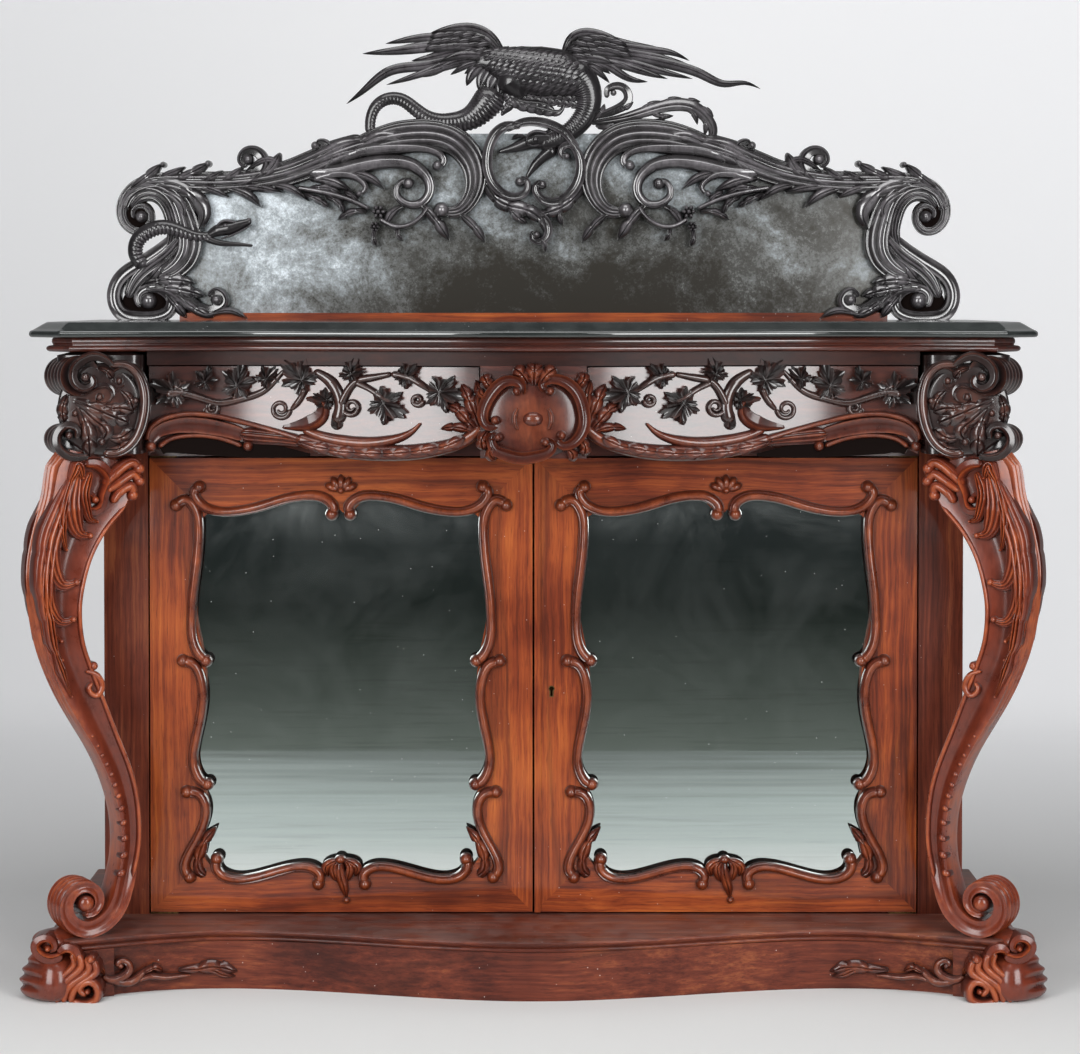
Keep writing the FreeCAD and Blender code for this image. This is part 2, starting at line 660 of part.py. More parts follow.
# Carcass: sides, fixed stiles, rail over the doors, boards, back and shelf
carcass_inner = "carcass_half_width - carcass_board"
carcass_z = ("plinth_height", CARCASS_TOP_UNDER)
carcass_sides = [
    block(
        f"carcass_side_{side}",
        span(side, carcass_inner, "carcass_half_width"),
        (DOOR_BACK, CARCASS_REAR),
        carcass_z,
    )
    for side in SIDES
]
keep(group("carcass_side_pair", *carcass_sides), "carcass_sides")
carcass_stiles = [
    block(
        f"carcass_stile_{side}",
        span(side, "carcass_half_width - stile_width", "carcass_half_width"),
        (DOOR_FACE, DOOR_BACK),
        carcass_z,
    )
    for side in SIDES
]
keep(group("carcass_stile_pair", *carcass_stiles), "carcass_stiles")
rail_edge = "carcass_half_width - stile_width"
keep(
    block(
        "carcass_rail_board",
        (f"-({rail_edge})", rail_edge),
        (DOOR_FACE, DOOR_BACK),
        (f"{DOOR_HIGH} + door_gap", CARCASS_TOP_UNDER),
    ),
    "carcass_top_rail",
)
keep(
    block(
        "carcass_top_board",
        ("-frieze_half_width", "frieze_half_width"),
        (TOP_FRONT, CARCASS_REAR),
        (CARCASS_TOP_UNDER, DRAWER_FLOOR),
    ),
    "carcass_top",
)
keep(
    block("carcass_back_board", ("-carcass_half_width", "carcass_half_width"), (CARCASS_REAR, BACK), carcass_z),
    "carcass_back",
)
shelf_under = "plinth_height + shelf_height"
shelf_front = f"{DOOR_BACK} + shelf_setback"
keep(
    block(
        "shelf_board",
        (f"-({carcass_inner})", carcass_inner),
        (shelf_front, CARCASS_REAR),
        (shelf_under, f"{shelf_under} + shelf_thick"),
    ),
    "shelf",
)
shelf_cleats = [
    block(
        f"shelf_cleat_{side}",
        span(side, f"{carcass_inner} - cleat_size", carcass_inner),
        (shelf_front, CARCASS_REAR),
        (f"{shelf_under} - cleat_size", shelf_under),
    )
    for side in SIDES
]
keep(group("shelf_cleat_pair", *shelf_cleats), "shelf_cleats")

# Frieze: side boards, back, rail over the drawers, muntin, guides, cartouche and corner blocks
frieze_z = (DRAWER_FLOOR, BLOCK_TOP)
frieze_sides = [
    block(
        f"frieze_side_{side}",
        span(side, "frieze_half_width - frieze_board", "frieze_half_width"),
        (TOP_FRONT, CARCASS_REAR),
        frieze_z,
    )
    for side in SIDES
]
frieze_rear = block(
    "frieze_rear",
    ("-frieze_half_width", "frieze_half_width"),
    (CARCASS_REAR, BACK),
    (CARCASS_TOP_UNDER, BLOCK_TOP),
)
keep(group("frieze_board_set", *frieze_sides, frieze_rear), "frieze_boards")
rail_wall = shaped(
    "rail_wall",
    front_wall(size["rail_inset"], size["frieze_thick"], measure(RAIL_UNDER), measure(BLOCK_TOP)),
)
rail_reach = block(
    "rail_reach",
    ("-block_inner", "block_inner"),
    ("-total_depth", "0"),
    (RAIL_UNDER, BLOCK_TOP),
)
keep(common("rail_board", rail_wall, rail_reach), "frieze_rail")

frieze_low = measure(LEG_TOP)
cartouche_wall = shaped(
    "cartouche_wall",
    front_wall(size["cartouche_inset"], measure("frieze_inset + frieze_thick - cartouche_inset"), frieze_low,
               measure(RAIL_UNDER)),
)
cartouche_reach = block(
    "cartouche_reach",
    ("-cartouche_half_width", "cartouche_half_width"),
    ("-total_depth", "0"),
    (LEG_TOP, RAIL_UNDER),
)
keep(common("cartouche_block", cartouche_wall, cartouche_reach), "centre_cartouche")
muntin_bar = block(
    "muntin_bar",
    ("-muntin_thick / 2", "muntin_thick / 2"),
    ("-bow_reach", CARCASS_REAR),
    (DRAWER_FLOOR, RAIL_UNDER),
)
frieze_mass = shaped(
    "frieze_mass",
    front_mass(measure("frieze_inset + frieze_thick"), frieze_low - size["block_height"], measure(BLOCK_TOP)),
)
muntin_post = block(
    "muntin_post",
    ("-muntin_thick / 2", "muntin_thick / 2"),
    (f"{TOP_FRONT}", CARCASS_REAR),
    (RAIL_UNDER, BLOCK_TOP),
)
keep(fused("muntin_whole", cut("muntin", muntin_bar, frieze_mass), muntin_post), "drawer_muntin")
guide_z = (DRAWER_FLOOR, f"{DRAWER_FLOOR} + guide_height")
drawer_guides = []
for side in SIDES:
    inner_guide = span(side, "drawer_inner - drawer_lift - guide_width", "drawer_inner - drawer_lift")
    outer_guide = span(side, "drawer_outer + drawer_lift", "drawer_outer + drawer_lift + guide_width")
    drawer_guides.append(block(f"inner_guide_{side}", inner_guide, (TOP_FRONT, CARCASS_REAR), guide_z))
    drawer_guides.append(block(f"outer_guide_{side}", outer_guide, (TOP_FRONT, CARCASS_REAR), guide_z))
keep(group("drawer_guide_set", *drawer_guides), "drawer_guides")

block_width = measure("block_outer - block_inner")
block_body = plan_board(size["block_inset"], frieze_low, measure(BLOCK_TOP)).common(
    Part.makeBox(
        block_width * BLOCK_BODY_SHARE,
        measure(f"corner_reach + {TOP_FRONT}"),
        size["block_height"],
        Vector(size["block_inner"], -size["corner_reach"], frieze_low),
    )
)
block_whole = block_body
for across, level, radius in BLOCK_ROLL_SHARES:
    roll = disc(
        size["block_inner"] + across * block_width,
        frieze_low + level * size["block_height"],
        radius * size["block_height"],
        -measure("corner_reach - block_inset"),
        measure(TOP_FRONT),
    )
    block_whole = block_whole.fuse(roll)
block_whole = block_whole.removeSplitter()
for side in SIDES:
    blank = shaped(f"block_blank_{side}", mirrored(block_whole, side))
    keep(cut(f"block_bored_{side}", blank, *block_holes[side]), f"corner_block_{side}")

# Moulded board and the slab with its sloped edge, bored for the pegs of the mirror back
keep(
    shaped("sub_top_board", plan_board(size["sub_top_inset"], measure(BLOCK_TOP), measure(SLAB_UNDER))),
    "sub_top",
)
nose_high = measure(f"{SLAB_UNDER} + slab_nose")
slab_lower = plan_board(0, measure(SLAB_UNDER), nose_high)
slab_front_edge = plan_face(0, nose_high)
slab_bevel_edge = plan_face(size["slab_bevel"], measure(SLAB_TOP))
slab_upper = Part.makeLoft([slab_front_edge, slab_bevel_edge], True, True)
slab_blank = shaped("slab_blank", slab_lower.fuse(slab_upper).removeSplitter())
base_rail_y = (f"{BOARD_REAR} - base_rail_depth", BOARD_REAR)
peg_y = f"{BOARD_REAR} - base_rail_depth / 2"
peg_z = (f"{SLAB_TOP} - dowel_length / 2", f"{SLAB_TOP} + base_rail_height - dowel_clearance * 2")
peg_hole_z = (f"{peg_z[0]} - dowel_clearance", f"{peg_z[1]} + dowel_clearance")
pegs = []
peg_holes = []
for number, share in enumerate(PEG_PLACE_SHARES):
    place = f"{share} * crest_half_width"
    pegs.append(rod(f"back_peg_{number}", "dowel_radius", place, peg_y, peg_z))
    peg_holes.append(
        rod(f"back_peg_hole_{number}", "dowel_radius + dowel_clearance", place, peg_y, peg_hole_z)
    )
keep(group("back_peg_set", *pegs), "back_pegs")
keep(cut("slab_bored", slab_blank, *peg_holes), "top_slab")

# Mirror back: rail, board, mirror and carved frame
board_edge = f"{BACK_BOARD_SHARES[0][0]} * crest_half_width"
rail_blank = block(
    "base_rail_blank",
    (f"-({board_edge})", board_edge),
    base_rail_y,
    (SLAB_TOP, f"{SLAB_TOP} + base_rail_height"),
)
keep(cut("base_rail_bored", rail_blank, *peg_holes), "back_base_rail")
board_right = crest_points(BACK_BOARD_SHARES)
board_low = measure(f"{SLAB_TOP} + base_rail_height")
board_outline = [(board_right[0][0], board_low)] + board_right
board_outline += [(-x, z) for x, z in reversed(board_right[:-1])]
board_outline.append((-board_right[0][0], board_low))
board_rear = measure(BOARD_REAR)
mirror_rear = measure(MIRROR_REAR)
carving_rear = measure(CARVING_REAR)
carving_front = measure(CARVING_FRONT)
keep(shaped("back_board_shape", polygon_prism(board_outline, mirror_rear, board_rear)), "back_board")
keep(shaped("back_mirror_shape", polygon_prism(board_outline, carving_rear, mirror_rear)), "back_mirror")

scroll_half = SCROLL_HALF_SHARE * size["crest_half_width"]
scroll_shape = None
for line in (SCROLL_UPPER_SHARES, SCROLL_STEM_SHARES, SCROLL_LEAF_SHARES):
    strip = band(crest_points(line), [scroll_half] * len(line), carving_front, carving_rear)
    scroll_shape = strip if scroll_shape is None else scroll_shape.fuse(strip)
base_rail_room = Part.makeBox(
    measure(f"2 * {board_edge}"),
    size["base_rail_depth"],
    size["base_rail_height"],
    Vector(-measure(board_edge), measure(base_rail_y[0]), measure(SLAB_TOP)),
)
slab_room = Part.makeBox(
    measure("2 * slab_half_width"),
    size["total_depth"],
    size["slab_thick"],
    Vector(-size["slab_half_width"], -size["bow_reach"], measure(SLAB_UNDER)),
)
scroll_shape = scroll_shape.removeSplitter().cut(base_rail_room).cut(slab_room)
arm_halves = [share * size["crest_half_width"] for share in ARM_HALF_SHARES]
arm_shape = band(crest_points(ARM_SHARES), arm_halves, carving_front, carving_rear).cut(scroll_shape)
for side in SIDES:
    keep(shaped(f"scroll_{side}_shape", mirrored(scroll_shape, side)), f"back_scroll_{side}")
for side in SIDES:
    keep(shaped(f"arm_{side}_shape", mirrored(arm_shape, side)), f"crest_arm_{side}")
arm_pair = mirrored(arm_shape, "left").fuse(arm_shape)

ring_place = crest_points([RING_PLACE_SHARES])[0]
ring_outlines = []
for shares in (RING_OUTER_SHARES, RING_INNER_SHARES):
    across = shares[0] * size["crest_half_width"]
    upward = shares[1] * size["crest_height"]
    turn_steps = [step * math.pi / 4 for step in range(8)]
    ring_outlines.append(
        [(ring_place[0] + across * math.cos(a), ring_place[1] + upward * math.sin(a)) for a in turn_steps]
    )
ring_shape = spline_prism(ring_outlines[0], carving_front, carving_rear).cut(
    spline_prism(ring_outlines[1], carving_front, carving_rear)
)
ring_room = Part.makeBox(
    size["crest_half_width"],
    size["total_depth"],
    size["crest_height"],
    Vector(-size["crest_half_width"], 0, measure(SLAB_TOP)),
)
ring_half = ring_shape.common(ring_room).cut(mirrored(arm_shape, "left"))
ring_shape = ring_half.fuse(mirrored(ring_half, "left")).removeSplitter()
keep(shaped("ring_shape", ring_shape), "crest_ring")

# Winged figure on the crest
figure_plane = (carving_front + board_rear) / 2
body_place = crest_points([BODY_PLACE_SHARES])[0]
body_radii = [share * size["crest_half_width"] for share in BODY_RADIUS_SHARES]
body_ball = Part.makeSphere(1)
body_matrix = FreeCAD.Matrix()
body_matrix.scale(Vector(body_radii[0], body_radii[2], body_radii[1]))
body_shape = body_ball.transformGeometry(body_matrix)
body_shape.translate(Vector(body_place[0], figure_plane, body_place[1]))
leg_radius = BODY_LEG_RADIUS_SHARE * size["crest_half_width"]
for x, z in crest_points(BODY_LEG_SHARES):
    stilt = Part.makeCylinder(leg_radius, body_place[1] - z, Vector(x, figure_plane, z))
    body_shape = body_shape.fuse(stilt)
body_shape = body_shape.cut(ring_shape).cut(arm_pair)
board_solid = polygon_prism(board_outline, carving_rear, board_rear)
body_shape = body_shape.cut(board_solid)
keep(shaped("body_shape", body_shape), "dragon_body")
wing_front = figure_plane - size["wing_thick"] / 2
wing_rear = figure_plane + size["wing_thick"] / 2
wings = body_shape
for side, shares in (("left", WING_LEFT_SHARES), ("right", WING_RIGHT_SHARES)):
    wing = polygon_prism(crest_points(shares), wing_front, wing_rear).cut(body_shape)
    keep(shaped(f"wing_{side}_shape", wing), f"dragon_wing_{side}")
    wings = wings.fuse(wing)
tail_places = [Vector(x, figure_plane, z) for x, z in crest_points(TAIL_SHARES)]
tail_radii = [share * size["crest_half_width"] for share in TAIL_RADIUS_SHARES]
tail_shape = tube(tail_places, tail_radii).cut(wings).cut(arm_pair).cut(board_solid).cut(ring_shape)
tail_shape = max(tail_shape.Solids, key=lambda solid: solid.Volume)
keep(shaped("tail_shape", tail_shape), "dragon_tail")
neck_places = [
    Vector(x, figure_plane - forward * size["crest_half_width"], z)
    for (x, z), forward in zip(crest_points(NECK_SHARES), NECK_FORWARD_SHARES)
]
neck_radii = [share * size["crest_half_width"] for share in NECK_RADIUS_SHARES]
neck_shape = tube(neck_places, neck_radii).cut(wings).cut(ring_shape).cut(arm_pair).cut(board_solid)
neck_shape = max(neck_shape.Solids, key=lambda solid: solid.Volume)
keep(shaped("neck_shape", neck_shape), "dragon_neck")
plume_halves = [share * size["crest_half_width"] for share in PLUME_HALF_SHARES]
plume_shape = band(crest_points(PLUME_SHARES), plume_halves, carving_front, carving_rear)
plume_shape = plume_shape.cut(arm_pair).cut(neck_shape).cut(wings)
plume_shape = max(plume_shape.Solids, key=lambda solid: solid.Volume)
keep(shaped("plume_shape", plume_shape), "crest_plume")
serpent_places = [
    Vector(x, (carving_front + carving_rear) / 2, z) for x, z in crest_points(SERPENT_SHARES)
]
serpent_radii = [share * size["crest_half_width"] for share in SERPENT_RADIUS_SHARES]
serpent_shape = tube(serpent_places, serpent_radii).cut(mirrored(scroll_shape, "left"))
serpent_shape = max(serpent_shape.Solids, key=lambda solid: solid.Volume)
keep(shaped("serpent_shape", serpent_shape), "serpent")

# Doors: mitred frames with a shaped opening, mirrors, backing boards and applied mouldings
door_width = measure(f"{DOOR_OUTER} - ({DOOR_INNER})")
door_half = door_width / 2
door_middle = measure(DOOR_INNER) + door_half
door_low = measure(DOOR_LOW)
door_high = measure(DOOR_HIGH)
door_face = measure(DOOR_FACE)
door_back = measure(DOOR_BACK)


def door_points(shares, mirror=1):
    return [(door_middle + mirror * u * door_half, door_low + v * size["door_height"]) for u, v in shares]


opening = door_points(DOOR_OPENING_SHARES)
opening += reversed(door_points(DOOR_OPENING_SHARES[1:-1], mirror=-1))
mirror_across = MIRROR_HALF_SHARE * door_half
mirror_low = door_low + MIRROR_LOW_SHARE * size["door_height"]
mirror_high = door_low + MIRROR_HIGH_SHARE * size["door_height"]
rebate_front = measure(f"{DOOR_BACK} - mirror_thick - backing_thick")
door_blank = Part.makeBox(
    door_width, size["door_thick"], size["door_height"], Vector(measure(DOOR_INNER), door_face, door_low)
)
door_blank = door_blank.cut(spline_prism(opening, door_face, door_back))
door_blank = door_blank.cut(
    Part.makeBox(
        mirror_across * 2,
        door_back - rebate_front,
        mirror_high - mirror_low,
        Vector(door_middle - mirror_across, rebate_front, mirror_low),
    )
)
mitre = MITRE_SHARE * door_half
corners = [
    (door_middle - door_half, door_low),
    (door_middle + door_half, door_low),
    (door_middle + door_half, door_high),
    (door_middle - door_half, door_high),
]
inner_corners = [
    (corners[0][0] + mitre, corners[0][1] + mitre),
    (corners[1][0] - mitre, corners[1][1] + mitre),
    (corners[2][0] - mitre, corners[2][1] - mitre),
    (corners[3][0] + mitre, corners[3][1] - mitre),
]
door_members = []
for start in range(4):
    end = (start + 1) % 4
    quarter = polygon_prism(
        [corners[start], corners[end], inner_corners[end], inner_corners[start]], door_face, door_back
    )
    door_members.append(door_blank.common(quarter))

moulding_front = door_face - size["moulding_depth"]
moulding_strips = []
for line in DOOR_MOULDING_SHARES:
    halves = [size["moulding_half_width"]] * len(line)
    for mirror in (1, -1):
        moulding_strips.append(band(door_points(line, mirror), halves, moulding_front, door_face))
shell_x, shell_z = door_points([DOOR_SHELL_SHARES])[0]
shell_radius = DOOR_SHELL_RADIUS_SHARE * door_half
moulding_strips.append(disc(shell_x, shell_z, shell_radius, moulding_front, door_face))
moulding_strips.append(
    band(door_points(DOOR_DROP_SHARES), [size["moulding_half_width"]] * 2, moulding_front, door_face)
)
taken = None
moulding_pieces = []
for strip in moulding_strips:
    piece = strip if taken is None else strip.cut(taken)
    moulding_pieces.append(max(piece.Solids, key=lambda solid: solid.Volume))
    taken = strip if taken is None else taken.fuse(strip)

pivot_x = f"{DOOR_OUTER} - pivot_offset"
pivot_y = "-door_reach + pivot_offset"
shoot_x = f"{DOOR_INNER} + shoot_place"
shoot_y = f"{DOOR_BACK} + shoot_standoff"
keyhole_low = f"{KEYHOLE_LEVEL} - keyhole_drop"

keyhole_round = rod("keyhole_round", "keyhole_radius", "keyhole_place", "0", ("0", "door_thick * 2"))
keyhole_slot = block(
    "keyhole_slot",
    ("keyhole_place - keyhole_radius / 2", "keyhole_place + keyhole_radius / 2"),
    ("-door_reach - door_thick", "0"),
    (keyhole_low, KEYHOLE_LEVEL),
)
keyhole_round.setExpression("Placement.Base.y", bound("-door_reach - door_thick"))
keyhole_round.setExpression("Placement.Base.z", bound(KEYHOLE_LEVEL))
keyhole_round.Placement.Rotation = FreeCAD.Rotation(Vector(1, 0, 0), -90)
keyhole = fused("keyhole", keyhole_round, keyhole_slot)
rim_round = rod("rim_round", "keyhole_radius + keyhole_rim", "keyhole_place", "0", ("0", "keyhole_rim_depth"))
rim_round.setExpression("Placement.Base.y", bound(DOOR_FACE))
rim_round.setExpression("Placement.Base.z", bound(KEYHOLE_LEVEL))
rim_round.Placement.Rotation = FreeCAD.Rotation(Vector(1, 0, 0), -90)
rim_slot = block(
    "rim_slot",
    ("keyhole_place - keyhole_radius / 2 - keyhole_rim", "keyhole_place + keyhole_radius / 2 + keyhole_rim"),
    (DOOR_FACE, f"{DOOR_FACE} + keyhole_rim_depth"),
    (f"{keyhole_low} - keyhole_rim", KEYHOLE_LEVEL),
)
rim = fused("rim", rim_round, rim_slot)

pivots = []
for side in SIDES:
    x = f"{SIDES[side]} * ({pivot_x})"
    bore = "pivot_radius + pivot_clearance"
    low_pin = (f"{DOOR_LOW} - door_gap", f"{DOOR_LOW} + pivot_pin_length")
    high_pin = (f"{DOOR_HIGH} - pivot_pin_length", f"{DOOR_HIGH} + door_gap")
    plate_x = span(side, f"{pivot_x} - pivot_plate_length", f"{pivot_x} + pivot_offset")
    plate_y = (f"{pivot_y} - pivot_radius", f"{pivot_y} + pivot_radius * 3")
    low_plate = (f"{DOOR_LOW} - door_gap", f"{DOOR_LOW} - door_gap + pivot_plate_thick")
    high_plate = (f"{DOOR_HIGH} + door_gap - pivot_plate_thick", f"{DOOR_HIGH} + door_gap")
    bores = []
    for level, pin, plate in (("low", low_pin, low_plate), ("high", high_pin, high_plate)):
        pin_rod = rod(f"pivot_pin_{side}_{level}", "pivot_radius", x, pivot_y, pin)
        pin_plate = block(f"pivot_plate_{side}_{level}", plate_x, plate_y, plate)
        pivots.append(fused(f"pivot_{side}_{level}", pin_rod, pin_plate))
        reach = (f"{pin[0]} - pivot_radius", f"{pin[1]} + pivot_radius")
        bores.append(rod(f"pivot_bore_{side}_{level}", bore, x, pivot_y, reach))
    members = []
    for number, member in enumerate(door_members):
        blank = shaped(f"door_member_{side}_{number}", mirrored(member, side))
        tools = list(bores)
        if side == "right" and number == 3:
            tools = [keyhole, rim]
        members.append(cut(f"door_frame_{side}_{number}", blank, *tools))
    keep(group(f"door_frame_{side}_set", *members), f"door_{side}_frame")
    mirror_x = span(
        side,
        f"({DOOR_INNER} + {DOOR_OUTER}) / 2 - {MIRROR_HALF_SHARE} * ({DOOR_OUTER} - {DOOR_INNER}) / 2",
        f"({DOOR_INNER} + {DOOR_OUTER}) / 2 + {MIRROR_HALF_SHARE} * ({DOOR_OUTER} - {DOOR_INNER}) / 2",
    )
    mirror_z = (
        f"{DOOR_LOW} + {MIRROR_LOW_SHARE} * door_height",
        f"{DOOR_LOW} + {MIRROR_HIGH_SHARE} * door_height",
    )
    mirror_y = (f"{DOOR_BACK} - backing_thick - mirror_thick", f"{DOOR_BACK} - backing_thick")
    keep(block(f"door_mirror_{side}", mirror_x, mirror_y, mirror_z), f"door_{side}_mirror")
    keep(block(f"door_backing_{side}", mirror_x, (mirror_y[1], DOOR_BACK), mirror_z), f"door_{side}_backing")
    strips = [
        shaped(f"door_strip_{side}_{number}", mirrored(piece, side))
        for number, piece in enumerate(moulding_pieces)
    ]
    keep(group(f"door_moulding_{side}_set", *strips), f"door_{side}_moulding")
keep(group("pivot_set", *pivots), "door_pivots")

# Right door: meeting bead, keyhole rim, lock case and bolt
keep(
    block(
        "astragal_bead",
        (DOOR_INNER, f"{DOOR_INNER} + astragal_width"),
        (f"{DOOR_FACE} - astragal_depth", DOOR_FACE),
        (DOOR_LOW, DOOR_HIGH),
    ),
    "door_right_astragal",
)
keep(cut("keyhole_rim_ring", rim, keyhole), "keyhole_escutcheon")
lock_x = (f"{DOOR_INNER} + astragal_depth", f"{DOOR_INNER} + astragal_depth + lock_width")
lock_y = (DOOR_BACK, f"{DOOR_BACK} + lock_depth")
lock_z = (f"{KEYHOLE_LEVEL} - lock_height / 2", f"{KEYHOLE_LEVEL} + lock_height / 2")
bolt_middle = f"{DOOR_BACK} + lock_depth / 2"
bolt_y = (f"{bolt_middle} - lock_bolt_depth / 2", f"{bolt_middle} + lock_bolt_depth / 2")
bolt_level = f"{KEYHOLE_LEVEL} + lock_bolt_height"
bolt_z = (f"{bolt_level} - lock_bolt_height / 2", f"{bolt_level} + lock_bolt_height / 2")
bolt_x = (lock_x[0], f"{lock_x[0]} + lock_bolt_length")
lock_blank = block("lock_blank", lock_x, lock_y, lock_z)
lock_room = block(
    "lock_room",
    (f"{lock_x[0]} - lock_bolt_length", f"{bolt_x[1]} + lock_clearance"),
    (f"{bolt_y[0]} - lock_clearance", f"{bolt_y[1]} + lock_clearance"),
    (f"{bolt_z[0]} - lock_clearance", f"{bolt_z[1]} + lock_clearance"),
)
keep(cut("lock_hollow", lock_blank, lock_room), "lock_case")
keep(block("lock_bolt_bar", bolt_x, bolt_y, bolt_z), "lock_bolt")

# Left door: shoot bolts in keepers on its back
shoot_left = f"-({shoot_x})"
keeper_x = (f"{shoot_left} - shoot_plate_width / 2", f"{shoot_left} + shoot_plate_width / 2")
keeper_y = (DOOR_BACK, f"{DOOR_BACK} + shoot_standoff + shoot_radius * 2")
shoot_ranges = {
    "lower": (DOOR_LOW, f"{DOOR_LOW} + shoot_length"),
    "upper": (f"{DOOR_HIGH} - shoot_length", DOOR_HIGH),
}
keepers = []
for level, reach in shoot_ranges.items():
    hole = rod(
        f"shoot_hole_{level}",
        "shoot_radius + shoot_clearance",
        shoot_left,
        shoot_y,
        (f"{reach[0]} - shoot_length", f"{reach[1]} + shoot_length"),
    )
    for number, middle in enumerate((f"{reach[0]} + shoot_length / 4", f"{reach[1]} - shoot_length / 4")):
        keeper_z = (f"{middle} - shoot_plate_height / 2", f"{middle} + shoot_plate_height / 2")
        keeper = block(f"keeper_{level}_{number}", keeper_x, keeper_y, keeper_z)
        keepers.append(cut(f"keeper_bored_{level}_{number}", keeper, hole))
    keep(rod(f"shoot_rod_{level}", "shoot_radius", shoot_left, shoot_y, reach), f"shoot_bolt_{level}")
keep(group("keeper_set", *keepers), "shoot_keepers")
shoot_socket = rod(
    "shoot_socket",
    "shoot_radius + shoot_clearance",
    shoot_left,
    shoot_y,
    (f"{DOOR_LOW} - door_gap - shoot_throw", f"{DOOR_LOW} + door_gap"),
)
keep(cut("plinth_top_bored", plinth_top_blank, *plinth_holes, shoot_socket), "plinth_top")

# Drawers: serpentine fronts with a shaped lower edge, sides, back and bottom
front_wall_piece = shaped(
    "drawer_front_wall",
    front_wall(size["frieze_inset"], size["frieze_thick"], frieze_low, measure(f"{RAIL_UNDER} - drawer_gap")),
)
front_inner = "cartouche_half_width + drawer_gap"
front_outer = "block_inner - drawer_gap"
apron_length = measure(f"{front_outer} - ({front_inner})")
apron_start = measure(front_inner)


def apron_points(shares):
    return [
        Vector(apron_start + u * apron_length, 0, frieze_low + v * size["apron_rise"]) for u, v in shares
    ]


arch = apron_points(APRON_ARCH_SHARES)
swag = apron_points(APRON_SWAG_SHARES)
apron_floor = frieze_low - size["apron_rise"]
apron_corners = [swag[-1], Vector(swag[-1].x, 0, apron_floor), Vector(arch[0].x, 0, apron_floor), arch[0]]
apron_edges = [curve(arch), curve(swag)]
apron_edges += [Part.makeLine(a, b) for a, b in zip(apron_corners, apron_corners[1:])]
apron_void = upright_face(apron_edges, -size["total_depth"]).extrude(Vector(0, size["total_depth"], 0))
box_low = f"{DRAWER_FLOOR} + drawer_lift"
box_rear = f"{CARCASS_REAR} - drawer_back_room"
for side in SIDES:
    reach = block(
        f"drawer_reach_{side}",
        span(side, front_inner, front_outer),
        ("-total_depth", "0"),
        (LEG_TOP, RAIL_UNDER),
    )
    front = common(f"drawer_front_{side}_blank", front_wall_piece, reach)
    void = shaped(f"apron_void_{side}", mirrored(apron_void, side))
    keep(cut(f"drawer_front_{side}_shape", front, void), f"drawer_{side}_front")
    boards = []
    for place, inner, outer in (
        ("inner", "drawer_inner", "drawer_inner + drawer_board"),
        ("outer", "drawer_outer - drawer_board", "drawer_outer"),
    ):
        board = block(
            f"drawer_side_{side}_{place}",
            span(side, inner, outer),
            ("-bow_reach", box_rear),
            (box_low, f"{box_low} + drawer_side_height"),
        )
        boards.append(cut(f"drawer_side_{side}_{place}_fit", board, frieze_mass))
    inside = span(side, "drawer_inner + drawer_board", "drawer_outer - drawer_board")
    rear = block(
        f"drawer_rear_{side}",
        inside,
        (f"{box_rear} - drawer_board", box_rear),
        (box_low, f"{box_low} + drawer_side_height - guide_height"),
    )
    floor = block(
        f"drawer_floor_{side}",
        inside,
        ("-bow_reach", f"{box_rear} - drawer_board"),
        (f"{box_low} + drawer_bottom_thick", f"{box_low} + drawer_bottom_thick * 2"),
    )
    floor_fit = cut(f"drawer_floor_{side}_fit", floor, frieze_mass)
    keep(group(f"drawer_{side}_box_set", *boards, rear, floor_fit), f"drawer_{side}_box")

doc.recompute()
faults = []
for thing in doc.Objects:
    if {"Invalid", "Error"} & set(thing.State):
        faults.append(thing.Name)
for thing in sub_parts:
    if thing.Shape.isNull() or not thing.Shape.isValid() or not thing.Shape.Solids:
        faults.append(thing.Label)
if faults:
    raise RuntimeError("unsound pieces: " + ", ".join(faults))
os.makedirs("parts", exist_ok=True)
for thing in sub_parts:
    thing.Shape.exportStep(f"parts/{thing.Label}.step")
print(len(sub_parts), "pieces written")
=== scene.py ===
import math

import bmesh
import bpy
import numpy as np
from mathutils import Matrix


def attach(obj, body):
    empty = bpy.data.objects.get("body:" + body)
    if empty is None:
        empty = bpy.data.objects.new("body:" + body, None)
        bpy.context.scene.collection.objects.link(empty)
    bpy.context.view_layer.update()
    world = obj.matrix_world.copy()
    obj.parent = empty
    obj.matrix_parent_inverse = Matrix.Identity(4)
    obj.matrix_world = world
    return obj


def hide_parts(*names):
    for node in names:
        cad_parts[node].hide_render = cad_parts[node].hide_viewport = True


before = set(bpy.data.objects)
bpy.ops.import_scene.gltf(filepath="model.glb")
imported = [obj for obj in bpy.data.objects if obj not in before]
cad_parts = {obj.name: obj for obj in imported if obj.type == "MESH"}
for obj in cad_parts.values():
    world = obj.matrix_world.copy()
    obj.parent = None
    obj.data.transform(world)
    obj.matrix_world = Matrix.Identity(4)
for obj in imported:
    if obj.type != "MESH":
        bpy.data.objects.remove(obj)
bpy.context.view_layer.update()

# Lengths below are in millimetres and are scaled when a mesh is made
METRE = 0.001
TURN = 2 * math.pi
QUARTER = math.pi / 2
TINY = 1e-9

# Where the photograph was taken from
CAMERA_DISTANCE = 4150
CAMERA_HEIGHT = 1004
FOCAL_PIXELS = 2746
PHOTO_WIDTH = 1080
PHOTO_HEIGHT = 1054
SENSOR_WIDTH = 36
MIDDLE_COLUMN = 533.5
HORIZON_ROW = 301
CAMERA_PITCH = math.radians(1.3)
CAMERA_NEAR = 0.05

